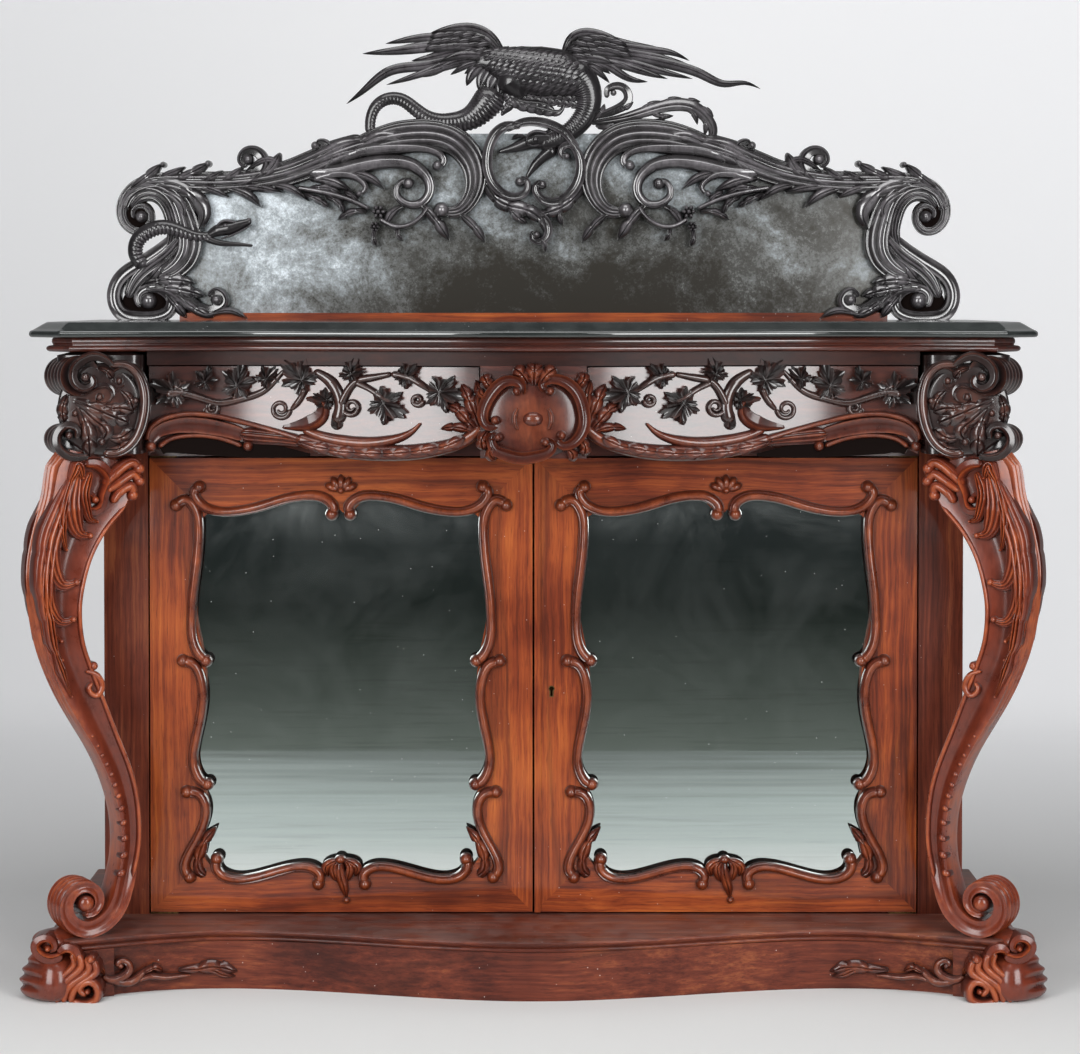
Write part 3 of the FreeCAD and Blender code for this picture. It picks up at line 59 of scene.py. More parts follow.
# Main lines of the cabinet
SLAB_HALF_WIDTH = 725
SLAB_TOP = 974
BOW_REACH = 265
TROUGH_REACH = 190
CORNER_REACH = 258
TROUGH_PLACE = 450
CORNER_PLACE = 672
CANT_REACH = 205
CANT_SHARE = math.tan(math.pi / 8)
REAR = 265
DOOR_FACE = -60
DOOR_LOW = 90
DOOR_HEIGHT = 680
DOOR_INNER = 1.5
DOOR_WIDTH = 571
FRIEZE_INSET = 40
CARTOUCHE_INSET = 32
PLINTH_INSET = 30
CREST_MIDDLE = 526
CREST_ROW = 320
CREST_SCALE = 1.5935


# Lines

DENSE = 6
LINE_STATIONS = 72
FRONT_SAMPLES = 400
FRONT_STATIONS = 161
RIM_STATIONS = (10, 24, 60, 24, 10)


def through(points, count):
    """A smooth line through given points: a natural cubic spline over root-chord knots, respaced
    evenly."""
    spots = np.asarray(points, float)
    gaps = np.linalg.norm(np.diff(spots, axis=0), axis=1) ** 0.5
    knots = np.concatenate([[0.0], np.cumsum(gaps)])
    size = len(spots)
    matrix = np.eye(size)
    right = np.zeros_like(spots)
    rows = np.arange(1, size - 1)
    slopes = np.diff(spots, axis=0) / gaps[:, None]
    matrix[rows, rows - 1] = gaps[:-1]
    matrix[rows, rows] = 2 * (gaps[:-1] + gaps[1:])
    matrix[rows, rows + 1] = gaps[1:]
    right[rows] = 6 * np.diff(slopes, axis=0)
    bends = np.linalg.solve(matrix, right)
    ask = np.linspace(0, knots[-1], count * DENSE)
    seat = np.clip(np.searchsorted(knots, ask, side="right") - 1, 0, size - 2)
    gap = gaps[seat][:, None]
    far = (ask - knots[seat])[:, None] / gap
    near = 1 - far
    dense = near * spots[seat] + far * spots[seat + 1]
    dense += ((near**3 - near) * bends[seat] + (far**3 - far) * bends[seat + 1]) * gap**2 / 6
    return even(dense, count)


def even(line, count):
    """The same line with points at even distances along it."""
    run = run_length(line)
    ask = np.linspace(0, run[-1], count)
    return np.stack([np.interp(ask, run, line[:, axis]) for axis in range(line.shape[1])], axis=1)


def run_length(line):
    """Distance along a line from its start to each of its points."""
    return np.concatenate([[0.0], np.cumsum(np.linalg.norm(np.diff(line, axis=0), axis=1))])


def run_share(line):
    """Distance along a line as a share of its whole length."""
    run = run_length(line)
    return run / run[-1]


def ways(line):
    """The heading of a line at each point and the way square to it, both of unit length."""
    way = np.gradient(line, axis=0)
    way /= np.maximum(np.linalg.norm(way, axis=1, keepdims=True), TINY)
    return way, np.stack([-way[:, 1], way[:, 0]], axis=1)


def front_line(x, inset):
    """Depth of the serpentine front at an inset: a natural cubic spline across its seven stations."""
    corner = CORNER_PLACE - inset * CANT_SHARE
    half = [(TROUGH_PLACE / 2, (BOW_REACH + TROUGH_REACH) / 2), (TROUGH_PLACE, TROUGH_REACH),
            (corner, CORNER_REACH)]
    stations = [(-a, b) for a, b in reversed(half)] + [(0, BOW_REACH)] + half
    line = through([(a, -(b - inset)) for a, b in stations], FRONT_SAMPLES)
    return np.interp(x, line[:, 0], line[:, 1])


def plan_loop(inset):
    """The whole plan of a board, counter-clockwise from the left corner, at an inset from the slab edge."""
    corner = CORNER_PLACE - inset * CANT_SHARE
    side = SLAB_HALF_WIDTH - inset
    cant = CANT_REACH - inset * CANT_SHARE
    front_x = np.linspace(-corner, corner, FRONT_STATIONS)
    front = np.stack([front_x, front_line(front_x, inset)], axis=1)
    rim = [front[-1], (side, -cant), (side, REAR), (-side, REAR), (-side, -cant), front[0]]
    parts = [front]
    for start, end, count in zip(rim, rim[1:], RIM_STATIONS):
        share = np.linspace(0, 1, count + 1)[1:, None]
        parts.append(np.asarray(start) * (1 - share) + np.asarray(end) * share)
    return np.vstack(parts)[:-1]


# Places seen in the photograph

FRONT_ROUGH_DEPTH = -200


def seen(points, depth):
    """Places across and up at a depth, from given pixels."""
    spots = np.asarray(points, float)
    scale = (CAMERA_DISTANCE + depth) / FOCAL_PIXELS
    across = (spots[:, 0] - MIDDLE_COLUMN) * scale
    up = CAMERA_HEIGHT - (spots[:, 1] - HORIZON_ROW) * scale
    return np.stack([across, up], axis=1)


def seen_on_front(points, inset):
    """Places across and up on the serpentine front, from given pixels."""
    rough = seen(points, FRONT_ROUGH_DEPTH)
    return seen(points, front_line(rough[:, 0], inset))


def on_crest(points):
    """Places across and up on the mirror back, from given pixels."""
    spots = np.asarray(points, float)
    across = (spots[:, 0] - CREST_MIDDLE) * CREST_SCALE
    up = SLAB_TOP + (CREST_ROW - spots[:, 1]) * CREST_SCALE
    return np.stack([across, up], axis=1)


def other_side(points):
    """Listed pixels of the left half, turned over to the right half."""
    return np.asarray(points, float) * np.array([-1.0, 1.0]) + np.array([2 * MIDDLE_COLUMN, 0.0])


# Faces that carving lies on: each turns places across, up and out into points

SLOPE_STEP = 0.5


def upright(depth):
    """A flat face across the cabinet at a depth."""
    def place(across, up, out):
        return np.stack([across, depth - out, up], axis=-1)
    return place


def serpentine(inset):
    """The serpentine front at an inset; out is square to its plan."""
    def place(across, up, out):
        y = front_line(across, inset)
        rise = front_line(across + SLOPE_STEP, inset) - front_line(across - SLOPE_STEP, inset)
        slope = rise / (2 * SLOPE_STEP)
        size = np.sqrt(1 + slope**2)
        return np.stack([across + out * slope / size, y - out / size, up], axis=-1)
    return place


def turned(middle, bearing):
    """An upright face through a point, turned about the vertical."""
    way = np.array([math.cos(bearing), -math.sin(bearing)])
    facing = np.array([-math.sin(bearing), -math.cos(bearing)])

    def place(across, up, out):
        x = middle[0] + across * way[0] + out * facing[0]
        y = middle[1] + across * way[1] + out * facing[1]
        return np.stack([x, y, up], axis=-1)
    return place


def flipped(chart):
    """The same face seen in a mirror across the cabinet's middle."""
    def place(across, up, out):
        spots = chart(across, up, out)
        return spots * np.array([-1.0, 1.0, 1.0])
    return place


def raised(chart, lift, hand=1):
    """A face at a distance before another, or behind it where the hand is minus one."""
    def place(across, up, out):
        return chart(across, up, hand * (out + lift))
    return place


# Solid forms: each gives points, four-sided faces, three-sided faces and a ridge value for each point

# The carved finishes read the ridge value as colour: low values are painted dark, partly as dirt and partly
# as shade, high ones light, partly as rubbed wear and partly as highlight.
PLAIN_RIDGE = 0.5
BEAD_PLACE = 0.52
BEAD_HALF = 0.3
OGEE_LEVEL = 0.5
OGEE_TILT = 0.18
OGEE_EDGE = 9
COVE_FLOOR = 0.45
COVE_EDGE = 10
QUIRK_DEPTH = 0.22
QUIRK_PLACE = 0.5
QUIRK_HALF = 0.13
REED_FLOOR = 0.5
PLAIN_AROUND = 13
REEDED_AROUND = 37
SINK = 1.5
LEAST_HALF = 0.5
END_FLOOR = 0.02
END_RISE = 0.3
LEAST_RISE = 0.45
DOME_CLOSE = 0.96


def loft(rings, ridge=None, sheet=False, hub=None):
    """Rings of points joined one to the next, with a fan of triangles over each end from its middle or
    a hub; a sheet is left open along its sides and at its ends."""
    count, around = rings.shape[:2]
    points = rings.reshape(-1, 3)
    values = np.full(len(points), PLAIN_RIDGE) if ridge is None else ridge.reshape(-1)
    row = np.arange(count - 1)[:, None] * around
    here = np.arange(around - 1 if sheet else around)[None, :]
    there = (here + 1) % around
    quads = np.stack([row + here, row + there, row + around + there, row + around + here], axis=-1)
    quads = quads.reshape(-1, 4)
    if sheet:
        return points, quads, np.zeros((0, 3), int), values
    ends = np.stack([rings[0].mean(axis=0), rings[-1].mean(axis=0)])
    if hub:
        ends[:, :2] = hub
    first = len(points)
    last = (count - 1) * around
    seat = np.arange(around)
    after = (seat + 1) % around
    start_fan = np.stack([np.full(around, first), after, seat], axis=1)
    end_fan = np.stack([np.full(around, first + 1), last + seat, last + after], axis=1)
    points = np.vstack([points, ends])
    values = np.concatenate([values, values[:around].mean(keepdims=True),
                             values[-around:].mean(keepdims=True)])
    return points, quads, np.vstack([start_fan, end_fan]), values


def round_top(across):
    """A half round section."""
    return np.sqrt(np.clip(1 - across**2, 0, 1))


def ogee_top(across):
    """A raised bead along one side and a hollow beside it."""
    bead = np.exp(-(((across - BEAD_PLACE) / BEAD_HALF) ** 2))
    hollow = OGEE_LEVEL + OGEE_TILT * across
    edge = np.clip((1 - np.abs(across)) * OGEE_EDGE, 0, 1) ** 0.5
    return np.clip(np.maximum(bead, hollow) * edge, 0, 1)


def cove_top(across):
    """A hollow face between two raised edges."""
    edge = np.clip((1 - np.abs(across)) * COVE_EDGE, 0, 1) ** 0.5
    return (COVE_FLOOR + (1 - COVE_FLOOR) * across**2) * edge


def quirked_top(across):
    """A broad round section with a quirk along its inner side."""
    return round_top(across) * (1 - QUIRK_DEPTH * np.exp(-(((across + QUIRK_PLACE) / QUIRK_HALF) ** 2)))


def reeded_top(across):
    """Round reeds side by side on a low dome."""
    return round_top(across) * (REED_FLOOR + (1 - REED_FLOOR) * np.abs(np.cos(across * TURN)))


def bedded(chart, spots, height, tone, sink):
    """Rows of places with their heights and ridge values, closed by an underside that is sunk in the face."""
    under = np.full((len(spots), 1), -sink)
    ring = np.concatenate([spots, spots[:, -1:], spots[:, :1]], axis=1)
    out = np.concatenate([height, under, under], axis=1)
    ridge = np.concatenate([tone, np.zeros((len(spots), 2))], axis=1)
    return loft(chart(ring[:, :, 0], ring[:, :, 1], out), ridge)


def strip(chart, line, halves, rises, top=round_top, sink=SINK, around=PLAIN_AROUND):
    """A carved bar: its top section spans a changing width along a line on a face."""
    side = ways(line)[1]
    across = np.linspace(-1, 1, around)
    spots = line[:, None, :] + side[:, None, :] * (halves[:, None] * across)[:, :, None]
    section = top(across)
    tone = np.tile(section / max(section.max(), TINY), (len(line), 1))
    return bedded(chart, spots, rises[:, None] * section[None, :], tone, sink)


def spread(values, line):
    """Values given at even stations, spread along a line by distance."""
    run = run_length(line)
    stations = np.linspace(0, run[-1], len(values))
    return np.interp(run, stations, values)


def rounded_ends(line, halves):
    """A factor that rounds both ends of a bar off over its own half width."""
    run = run_length(line)
    near = np.minimum(run, run[-1] - run)
    share = np.clip(near / np.maximum(halves, LEAST_HALF), 0, 1)
    return np.sqrt(np.clip(1 - (1 - share) ** 2, END_FLOOR, 1))


def bar(chart, points, halves, rise, top=round_top, count=LINE_STATIONS, sink=SINK):
    """A scroll on a face: a smooth line with half widths spread along it, lower where it is thin, with
    round ends."""
    line = through(points, count)
    width = spread(halves, line)
    soft = rounded_ends(line, width)
    lift = rise * np.clip(width / max(halves), LEAST_RISE, 1)
    around = REEDED_AROUND if top is reeded_top else PLAIN_AROUND
    return [strip(chart, line, width * soft, lift * (END_RISE + (1 - END_RISE) * soft), top, sink, around)]


def boss(chart, spot, radii, rise, tilt=0.0, sink=SINK, around=18, levels=7):
    """A domed boss: rings that close in as they rise over a flat underside."""
    angle = np.linspace(0, TURN, around, endpoint=False)
    level = np.linspace(0, QUARTER * DOME_CLOSE, levels)
    reach = np.concatenate([[1.0], np.cos(level)])
    height = np.concatenate([[-sink], rise * np.sin(level)])
    u = radii[0] * np.cos(angle)
    v = radii[1] * np.sin(angle)
    across = spot[0] + reach[:, None] * (u * math.cos(tilt) - v * math.sin(tilt))[None, :]
    up = spot[1] + reach[:, None] * (u * math.sin(tilt) + v * math.cos(tilt))[None, :]
    rings = chart(across, up, np.tile(height[:, None], (1, around)))
    ridge = np.tile(np.concatenate([[0.0], np.sin(level)])[:, None], (1, around))
    return loft(rings, ridge)


# Leaves

LEAF_SWELL = 1.25
LEAF_TAPER = 3
LEAF_POINT = 0.8
LEAF_TIP_HALF = 0.15
LEAF_TIP_RUN = 6
LEAF_ROUND = 0.55
LEAF_ROOT_RISE = 0.35
LEAF_ARCH = 0.86
LEAF_ARCH_START = 0.2
LEAF_LEAST = 0.05
LEAF_MOST = 2
LEAF_TONE = 1.1
LOBE_CURVE = 2.2
LOBE_SWEEP = 1.6
MIDRIB_DEPTH = 0.32
MIDRIB_HALF = 0.13
GROOVE_DEPTH = 0.38
GROOVE_GROWTH = 1.5
GROOVE_START = 0.25
VINE_AROUND = 100
VINE_LOBES = ((0.0, 1.0, 0.42), (0.98, 0.84, 0.36), (-0.98, 0.84, 0.36), (2.05, 0.66, 0.42),
              (-2.05, 0.66, 0.42))
VINE_LEVELS = np.array([1.0, 1.0, 0.93, 0.82, 0.68, 0.52, 0.36, 0.2, 0.07])
VINE_WAIST = 0.52
VINE_TOOTH = 0.2
VINE_TEETH = 3.1
VINE_SWAY = 0.2
VINE_FOOT_CUT = 0.5
VINE_FOOT_HALF = 0.3
VINE_VEIN_HALF = 0.13
VINE_VEIN_DEPTH = 0.42
VINE_VEIN_START = 0.1
VINE_CUP = 0.35
VINE_BILLOWS = (0.5, 5.1, 0.35, 1.5)
VINE_TONE = 1.4


def leaf(chart, points, half, rise, lobes=5, cut=0.45, lean=0.5, tip_lift=0.0, around=15,
         count=LINE_STATIONS, sink=SINK, root=0.25, lift=0.0):
    """An acanthus leaf: a middle line with sides that swell and run out to a point, cut into lobes that lean
    towards the tip, with a groove along the middle and one between each pair of lobes."""
    line = through(points, count)
    share = run_share(line)
    way, side = ways(line)
    swell = root + (1 - root) * np.sin(np.clip(share * LEAF_SWELL, 0, 1) * QUARTER)
    swell = swell * (1 - share**LEAF_TAPER) ** LEAF_POINT
    phase = (share * lobes) % 1.0
    notch = 1 - cut * phase**LOBE_CURVE * np.clip((1 - share) * LEAF_TIP_RUN, 0, 1)
    width = half * swell * notch
    width[-1] = LEAF_TIP_HALF
    across = np.linspace(-1, 1, around)
    edge = np.abs(across)
    forward = lean * half * swell[:, None] * edge[None, :] ** LOBE_SWEEP
    spots = line[:, None, :] + side[:, None, :] * (width[:, None] * across)[:, :, None]
    spots = spots + way[:, None, :] * forward[:, :, None]
    arch = np.sin(np.clip(share, 0, 1) * math.pi * LEAF_ARCH + LEAF_ARCH_START)
    arch = LEAF_ROOT_RISE + (1 - LEAF_ROOT_RISE) * arch
    dome = (1 - LEAF_ROUND * edge**2)[None, :] * arch[:, None]
    midrib = MIDRIB_DEPTH * np.exp(-((across / MIDRIB_HALF) ** 2))[None, :]
    groove = GROOVE_DEPTH * np.clip(edge * GROOVE_GROWTH - GROOVE_START, 0, 1)[None, :]
    groove = groove * (np.abs(phase - 0.5) * 2)[:, None] ** 3
    form = dome - midrib - groove
    height = rise * np.clip(form, LEAF_LEAST, LEAF_MOST) + tip_lift * share[:, None] ** 3 + lift
    return [bedded(chart, spots, height, np.clip(form * LEAF_TONE, 0, 1), sink)]


def bump_about(fold, middle, half):
    """A bell that falls away to both sides of a bearing."""
    off = np.arctan2(np.sin(fold - middle), np.cos(fold - middle))
    return np.exp(-((off / half) ** 2))


def vine_leaf(chart, spot, size, bearing, rise, lift, stretch):
    """A vine leaf: rings about its foot whose reach swells into five toothed lobes, with sunk veins
    along them."""
    angle = np.linspace(0, TURN, VINE_AROUND, endpoint=False)
    fold = np.arctan2(np.sin(angle), np.cos(angle))
    lobes = np.zeros(VINE_AROUND)
    vein = np.zeros(VINE_AROUND)
    for middle, reach, half in VINE_LOBES:
        lobes = np.maximum(lobes, reach * (VINE_WAIST + (1 - VINE_WAIST) * bump_about(fold, middle, half)))
        vein = np.maximum(vein, bump_about(fold, middle, VINE_VEIN_HALF))
    saw = (fold * VINE_TEETH + VINE_SWAY * np.sin(fold * 2)) % 1.0
    teeth = 1 - VINE_TOOTH * (np.abs(saw - 0.5) * 2)
    foot = np.exp(-(((np.abs(fold) - math.pi) / VINE_FOOT_HALF) ** 2))
    reach = lobes * teeth * (1 - VINE_FOOT_CUT * foot)
    level = VINE_LEVELS[:, None]
    cup = VINE_CUP + (1 - VINE_CUP) * level**2
    wave, waves, roll, rolls = VINE_BILLOWS
    billow = (wave * np.cos(fold * waves) + roll * np.sin(fold * rolls + size))[None, :] * level
    height = rise * (cup - billow - VINE_VEIN_DEPTH * vein[None, :] * (level > VINE_VEIN_START)) + lift
    height[0] = -SINK
    u = size * level * reach[None, :] * np.cos(angle)[None, :]
    v = size * stretch * level * reach[None, :] * np.sin(angle)[None, :]
    across = spot[0] + u * math.cos(bearing) - v * math.sin(bearing)
    up = spot[1] + u * math.sin(bearing) + v * math.cos(bearing)
    ridge = np.clip((height - lift) / (rise * VINE_TONE), 0, 1)
    ridge[0] = 0
    return [loft(chart(across, up, height), ridge)]


# Pieces

BORE_SIDES = 32
SMOOTH_ANGLE = 38


def weld(shells):
    """Many shells as one set of points and faces."""
    points, quads, tris, ridges = [], [], [], []
    base = 0
    for spots, fours, threes, values in shells:
        points.append(spots)
        quads.append(fours + base)
        tris.append(threes + base)
        ridges.append(values)
        base += len(spots)
    return np.vstack(points), np.vstack(quads), np.vstack(tris), np.concatenate(ridges)


def shaped(name, shells, sharp):
    """A linked object from its shells, faces outward, with its ridge values kept for its finish."""
    points, quads, tris, ridges = weld(shells)
    mesh = bpy.data.meshes.new(name)
    mesh.from_pydata((points * METRE).tolist(), [], quads.tolist() + tris.tolist())
    mesh.attributes.new("ridge", "FLOAT", "POINT").data.foreach_set("value", ridges.astype(np.float32))
    work = bmesh.new()
    work.from_mesh(mesh)
    bmesh.ops.recalc_face_normals(work, faces=work.faces)
    work.to_mesh(mesh)
    work.free()
    mesh.shade_smooth()
    mesh.set_sharp_from_angle(angle=math.radians(sharp))
    thing = bpy.data.objects.new(name, mesh)
    bpy.context.scene.collection.objects.link(thing)
    return thing


def bore(thing, place, radius, floor, roof, sharp):
    """Takes a round hole out of an object, from a floor level up to a roof level."""
    angle = np.linspace(0, TURN, BORE_SIDES, endpoint=False)
    ring = np.stack([place[0] + radius * np.cos(angle), place[1] + radius * np.sin(angle), angle * 0],
                    axis=1)
    rings = np.stack([ring + np.array([0, 0, level]) for level in (floor, roof)])
    cutter = shaped("bore_cutter", [loft(rings)], sharp)
    change = thing.modifiers.new("bore", "BOOLEAN")
    change.solver = "EXACT"
    change.object = cutter
    depsgraph = bpy.context.evaluated_depsgraph_get()
    thing.data = bpy.data.meshes.new_from_object(thing.evaluated_get(depsgraph))
    thing.modifiers.clear()
    bpy.data.objects.remove(cutter)
    thing.data.set_sharp_from_angle(angle=math.radians(sharp))


def piece(name, shells, body, material, replaces=(), sharp=SMOOTH_ANGLE):
    """One piece of the scene: its shells as an object that rides on a body, with its finish."""
    thing = shaped(name, shells, sharp)
    thing.data.materials.append(material)
    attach(thing, body)
    if replaces:
        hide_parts(*replaces)
    return thing


# Finishes: helpers for shader nodes

SETTING = "set_"
SEAT = "at_"


def feed(tree, socket, value):
    """Gives a socket a value, or a link from another node's socket."""
    if isinstance(value, bpy.types.NodeSocket):
        tree.links.new(value, socket)
    else:
        socket.default_value = value


def settle(tree, made, **values):
    """Gives a node its settings, whose names start with set_, and its sockets their values, by name or
    by seat."""
    for name, value in values.items():
        if name.startswith(SETTING):
            setattr(made, name.removeprefix(SETTING), value)
        elif name.startswith(SEAT):
            feed(tree, made.inputs[int(name.removeprefix(SEAT))], value)
        else:
            feed(tree, made.inputs[name.replace("_", " ")], value)


def node(tree, kind, **values):
    """A new shader node with its settings and socket values."""
    made = tree.nodes.new(kind)
    settle(tree, made, **values)
    return made


def maths(tree, operation, first, second=0.0, clamp=False):
    """A value worked out from two others."""
    made = node(tree, "ShaderNodeMath", set_operation=operation, set_use_clamp=clamp, at_0=first,
                at_1=second)
    return made.outputs[0]


def times(tree, first, second):
    """The product of two values."""
    return maths(tree, "MULTIPLY", first, second)


def blend(tree, factor, first, second):
    """One colour mixed into another by a factor."""
    made = node(tree, "ShaderNodeMix", set_data_type="RGBA", at_0=factor, at_6=first, at_7=second)
    return made.outputs[2]


def pick_vector(tree, factor, first, second):
    """One of two vectors, by a factor of none or one."""
    made = node(tree, "ShaderNodeMix", set_data_type="VECTOR", at_0=factor, at_4=first, at_5=second)
    return made.outputs[1]


def ramp(tree, factor, stops):
    """A colour read off a ramp whose stops are given as places and colours."""
    made = node(tree, "ShaderNodeValToRGB", Fac=factor)
    band = made.color_ramp
    while len(band.elements) < len(stops):
        band.elements.new(0.5)
    for element, (place, colour) in zip(band.elements, stops):
        element.position = place
        element.color = (*colour, 1.0)
    return made.outputs["Color"]


def span(tree, value, low, high, to_low=0.0, to_high=1.0):
    """A value moved from one range to another and held within it."""
    made = node(tree, "ShaderNodeMapRange", Value=value, at_1=low, at_2=high, at_3=to_low, at_4=to_high)
    return made.outputs[0]


def noise(tree, vector, **values):
    """The grey value of a cloudy noise."""
    return node(tree, "ShaderNodeTexNoise", Vector=vector, **values).outputs["Fac"]


def mapped(tree, vector, **values):
    """Places scaled or turned about the origin."""
    return node(tree, "ShaderNodeMapping", Vector=vector, **values).outputs[0]


def axes(tree, vector):
    """The three parts of a vector, by letter."""
    return node(tree, "ShaderNodeSeparateXYZ", Vector=vector).outputs


def object_places(tree):
    """Places in the object's own frame, in metres."""
    return node(tree, "ShaderNodeTexCoord").outputs["Object"]


def group(name, inputs, outputs):
    """An empty node group with named sockets; the outputs are all numbers."""
    tree = bpy.data.node_groups.new(name, "ShaderNodeTree")
    for label, kind, value in inputs:
        socket = tree.interface.new_socket(label, in_out="INPUT", socket_type=kind)
        if value is not None:
            socket.default_value = value
    for label in outputs:
        tree.interface.new_socket(label, in_out="OUTPUT", socket_type="NodeSocketFloat")
    return tree, tree.nodes.new("NodeGroupInput"), tree.nodes.new("NodeGroupOutput")


# Finishes: colours, and the ranges in which noise and height are read

CLOUD_RANGE = (0.3, 0.7)
FIGURE_WANDER = (0.02, 0.028, 0.028)
STREAK_STRETCH = (2.4, 150.0, 150.0)
VEIN_STRETCH = (1.3, 15.0, 15.0)
VEIN_BAND = 0.05
PORE_STRETCH = (42.0, 620.0, 620.0)
PORE_RANGE = (0.56, 0.7)
SPECK_RARITY = 0.9
SPECK_EDGE = (0.04, 0.12)
FILM_SLOPE = (0.35, 1.0)
FACES_BACK = 0.6
STREAK_SHARE = 0.58
CLOUD_SHARE = 0.44
VEIN_SHARE = 0.45
PORE_SHARE = 0.4
VEIN_DARK = (0.03, 0.007, 0.004, 1)
PORE_DARK = (0.016, 0.005, 0.004, 1)
SPECK_PALE = (0.62, 0.58, 0.54, 1)
FILM_SHARE = 0.12
FILM_PALE = (0.42, 0.4, 0.38, 1)
FILM_ROUGH = 0.2
VENEER_ROUGH = (0.34, 0.46)
CARVED_GLOSS = 1.75
CARVED_STRETCH = (60.0, 60.0, 18.0)
CARVED_HOLLOW = 0.04
CARVED_FLANK = 0.5
CARVED_RIDGE = 0.95
CARVED_SHARE = 0.7
CARVED_STREAKS = (0.45, 0.75)
CARVED_STREAK_SHARE = 0.45
CARVED_DUST = 0.5
CARVED_FILM_SHARE = 0.08
CARVED_FILM = (0.36, 0.35, 0.34, 1)
CARVED_ROUGH = (0.24, 0.42)
SHADE_BLACK = (0.006, 0.0035, 0.003, 1)
SLAB_STOPS = ((0.3, (0.010, 0.012, 0.0115)), (0.75, (0.026, 0.031, 0.029)))
SLAB_BLOOM = (0.3, 0.75)
SLAB_ROUGH = (0.14, 0.26)
SLAB_DUST = 0.7
SLAB_FILM_SHARE = 0.1
SLAB_FILM = (0.4, 0.42, 0.41, 1)
SLAB_SPECK = (0.5, 0.5, 0.5, 1)
SILVER = (0.74, 0.79, 0.77, 1)
SILVER_SCRATCH = (0.5, 0.52, 0.5, 1)
SILVER_SPECK = (0.9, 0.92, 0.92, 1)
SCRATCH_STRETCH = (5.0, 5.0, 130.0)
SCRATCH_RANGE = (0.55, 0.75)
SCRATCH_SHARE = 0.35
MILK_LEVELS = (0.64, 0.715)
MILK_LEAST = 0.22
MILK_RANGE = (0.4, 0.75)
MILK_SHARE = 0.14
MIRROR_DUST = 0.35
MIRROR_HAZE = 0.3
MIRROR_ROUGH = (0.015, 0.3)
FOXED_SIDES = ((0.0, (0.42,) * 3), (0.28, (0.19,) * 3), (0.5, (0.12,) * 3), (0.72, (0.04,) * 3),
               (1.0, (0.14,) * 3))
FOXED_ACROSS = (-0.6, 0.6)
FOXED_UP = (1.0, 1.3, -0.1, 0.2)
FOXED_GRAIN = 0.42
FOXED_RANGE = (0.5, 0.95)
FOXED_METAL = (0.0, 0.9, 0.35, 0.1)
FOXED_ROUGH = (0.0, 1.0, 0.2, 0.5)
FOXED_STOPS = (
    (0.0, (0.045, 0.041, 0.034)),
    (0.35, (0.105, 0.107, 0.102)),
    (0.65, (0.29, 0.32, 0.335)),
    (1.0, (0.8, 0.87, 0.92)),
)
DEAL_STOPS = ((0.3, (0.16, 0.09, 0.045)), (0.7, (0.36, 0.23, 0.12)))
DEAL_VEIN_SHARE = 0.3
DEAL_VEIN = (0.09, 0.05, 0.03, 1)
DEAL_ROUGH = (0.55, 0.75)
BRASS_STOPS = ((0.35, (0.2, 0.125, 0.05)), (0.7, (0.06, 0.036, 0.018)))
BRASS_ROUGH = (0.3, 0.55)
ROSEWOOD_STOPS = (
    (0.34, (0.045, 0.007, 0.0034)),
    (0.46, (0.16, 0.026, 0.0075)),
    (0.55, (0.29, 0.056, 0.0125)),
    (0.68, (0.46, 0.115, 0.022)),
)
DARK_STOPS = (
    (0.30, (0.012, 0.0034, 0.003)),
    (0.46, (0.042, 0.0082, 0.0055)),
    (0.58, (0.085, 0.0165, 0.0085)),
    (0.75, (0.17, 0.038, 0.015)),
)
PLINTH_STOPS = (
    (0.34, (0.03, 0.006, 0.004)),
    (0.46, (0.085, 0.0165, 0.0085)),
    (0.56, (0.15, 0.032, 0.015)),
    (0.7, (0.3, 0.085, 0.03)),
)
# The fascia's colours: dark wood painted darker still, as the shade under the cornice.
FASCIA_SHADE_STOPS = (
    (0.3, (0.006, 0.002, 0.0018)),
    (0.5, (0.022, 0.0055, 0.004)),
    (0.75, (0.06, 0.014, 0.007)),
)


# Finishes

def figure_group():
    """Rosewood figure: long streaks, wandering dark veins and short pores, with the grain along the
    first axis."""
    tree, given, made = group(
        "rosewood_figure",
        [("Vector", "NodeSocketVector", None)],
        ("Streak", "Vein", "Pore", "Cloud"),
    )
    place = given.outputs["Vector"]
    wander = node(tree, "ShaderNodeTexNoise", Vector=place, Scale=3.2, Detail=3.0, Roughness=0.55)
    push = node(tree, "ShaderNodeVectorMath", set_operation="MULTIPLY_ADD", at_0=wander.outputs["Color"],
                at_1=FIGURE_WANDER, at_2=place).outputs[0]
    streak = noise(tree, mapped(tree, push, Scale=STREAK_STRETCH), Scale=1.0, Detail=6.0, Roughness=0.7)
    vein = noise(tree, mapped(tree, push, Scale=VEIN_STRETCH), Scale=1.0, Detail=2.0, Roughness=0.4)
    band = maths(tree, "ABSOLUTE", maths(tree, "SUBTRACT", vein, 0.5))
    pore = noise(tree, mapped(tree, place, Scale=PORE_STRETCH), Scale=1.0, Detail=2.0)
    cloud = noise(tree, place, Scale=4.6, Detail=3.0, Roughness=0.6)
    settle(tree, made, Streak=streak, Vein=span(tree, band, 0.0, VEIN_BAND, 1.0, 0.0),
           Pore=span(tree, pore, *PORE_RANGE), Cloud=cloud)
    return tree


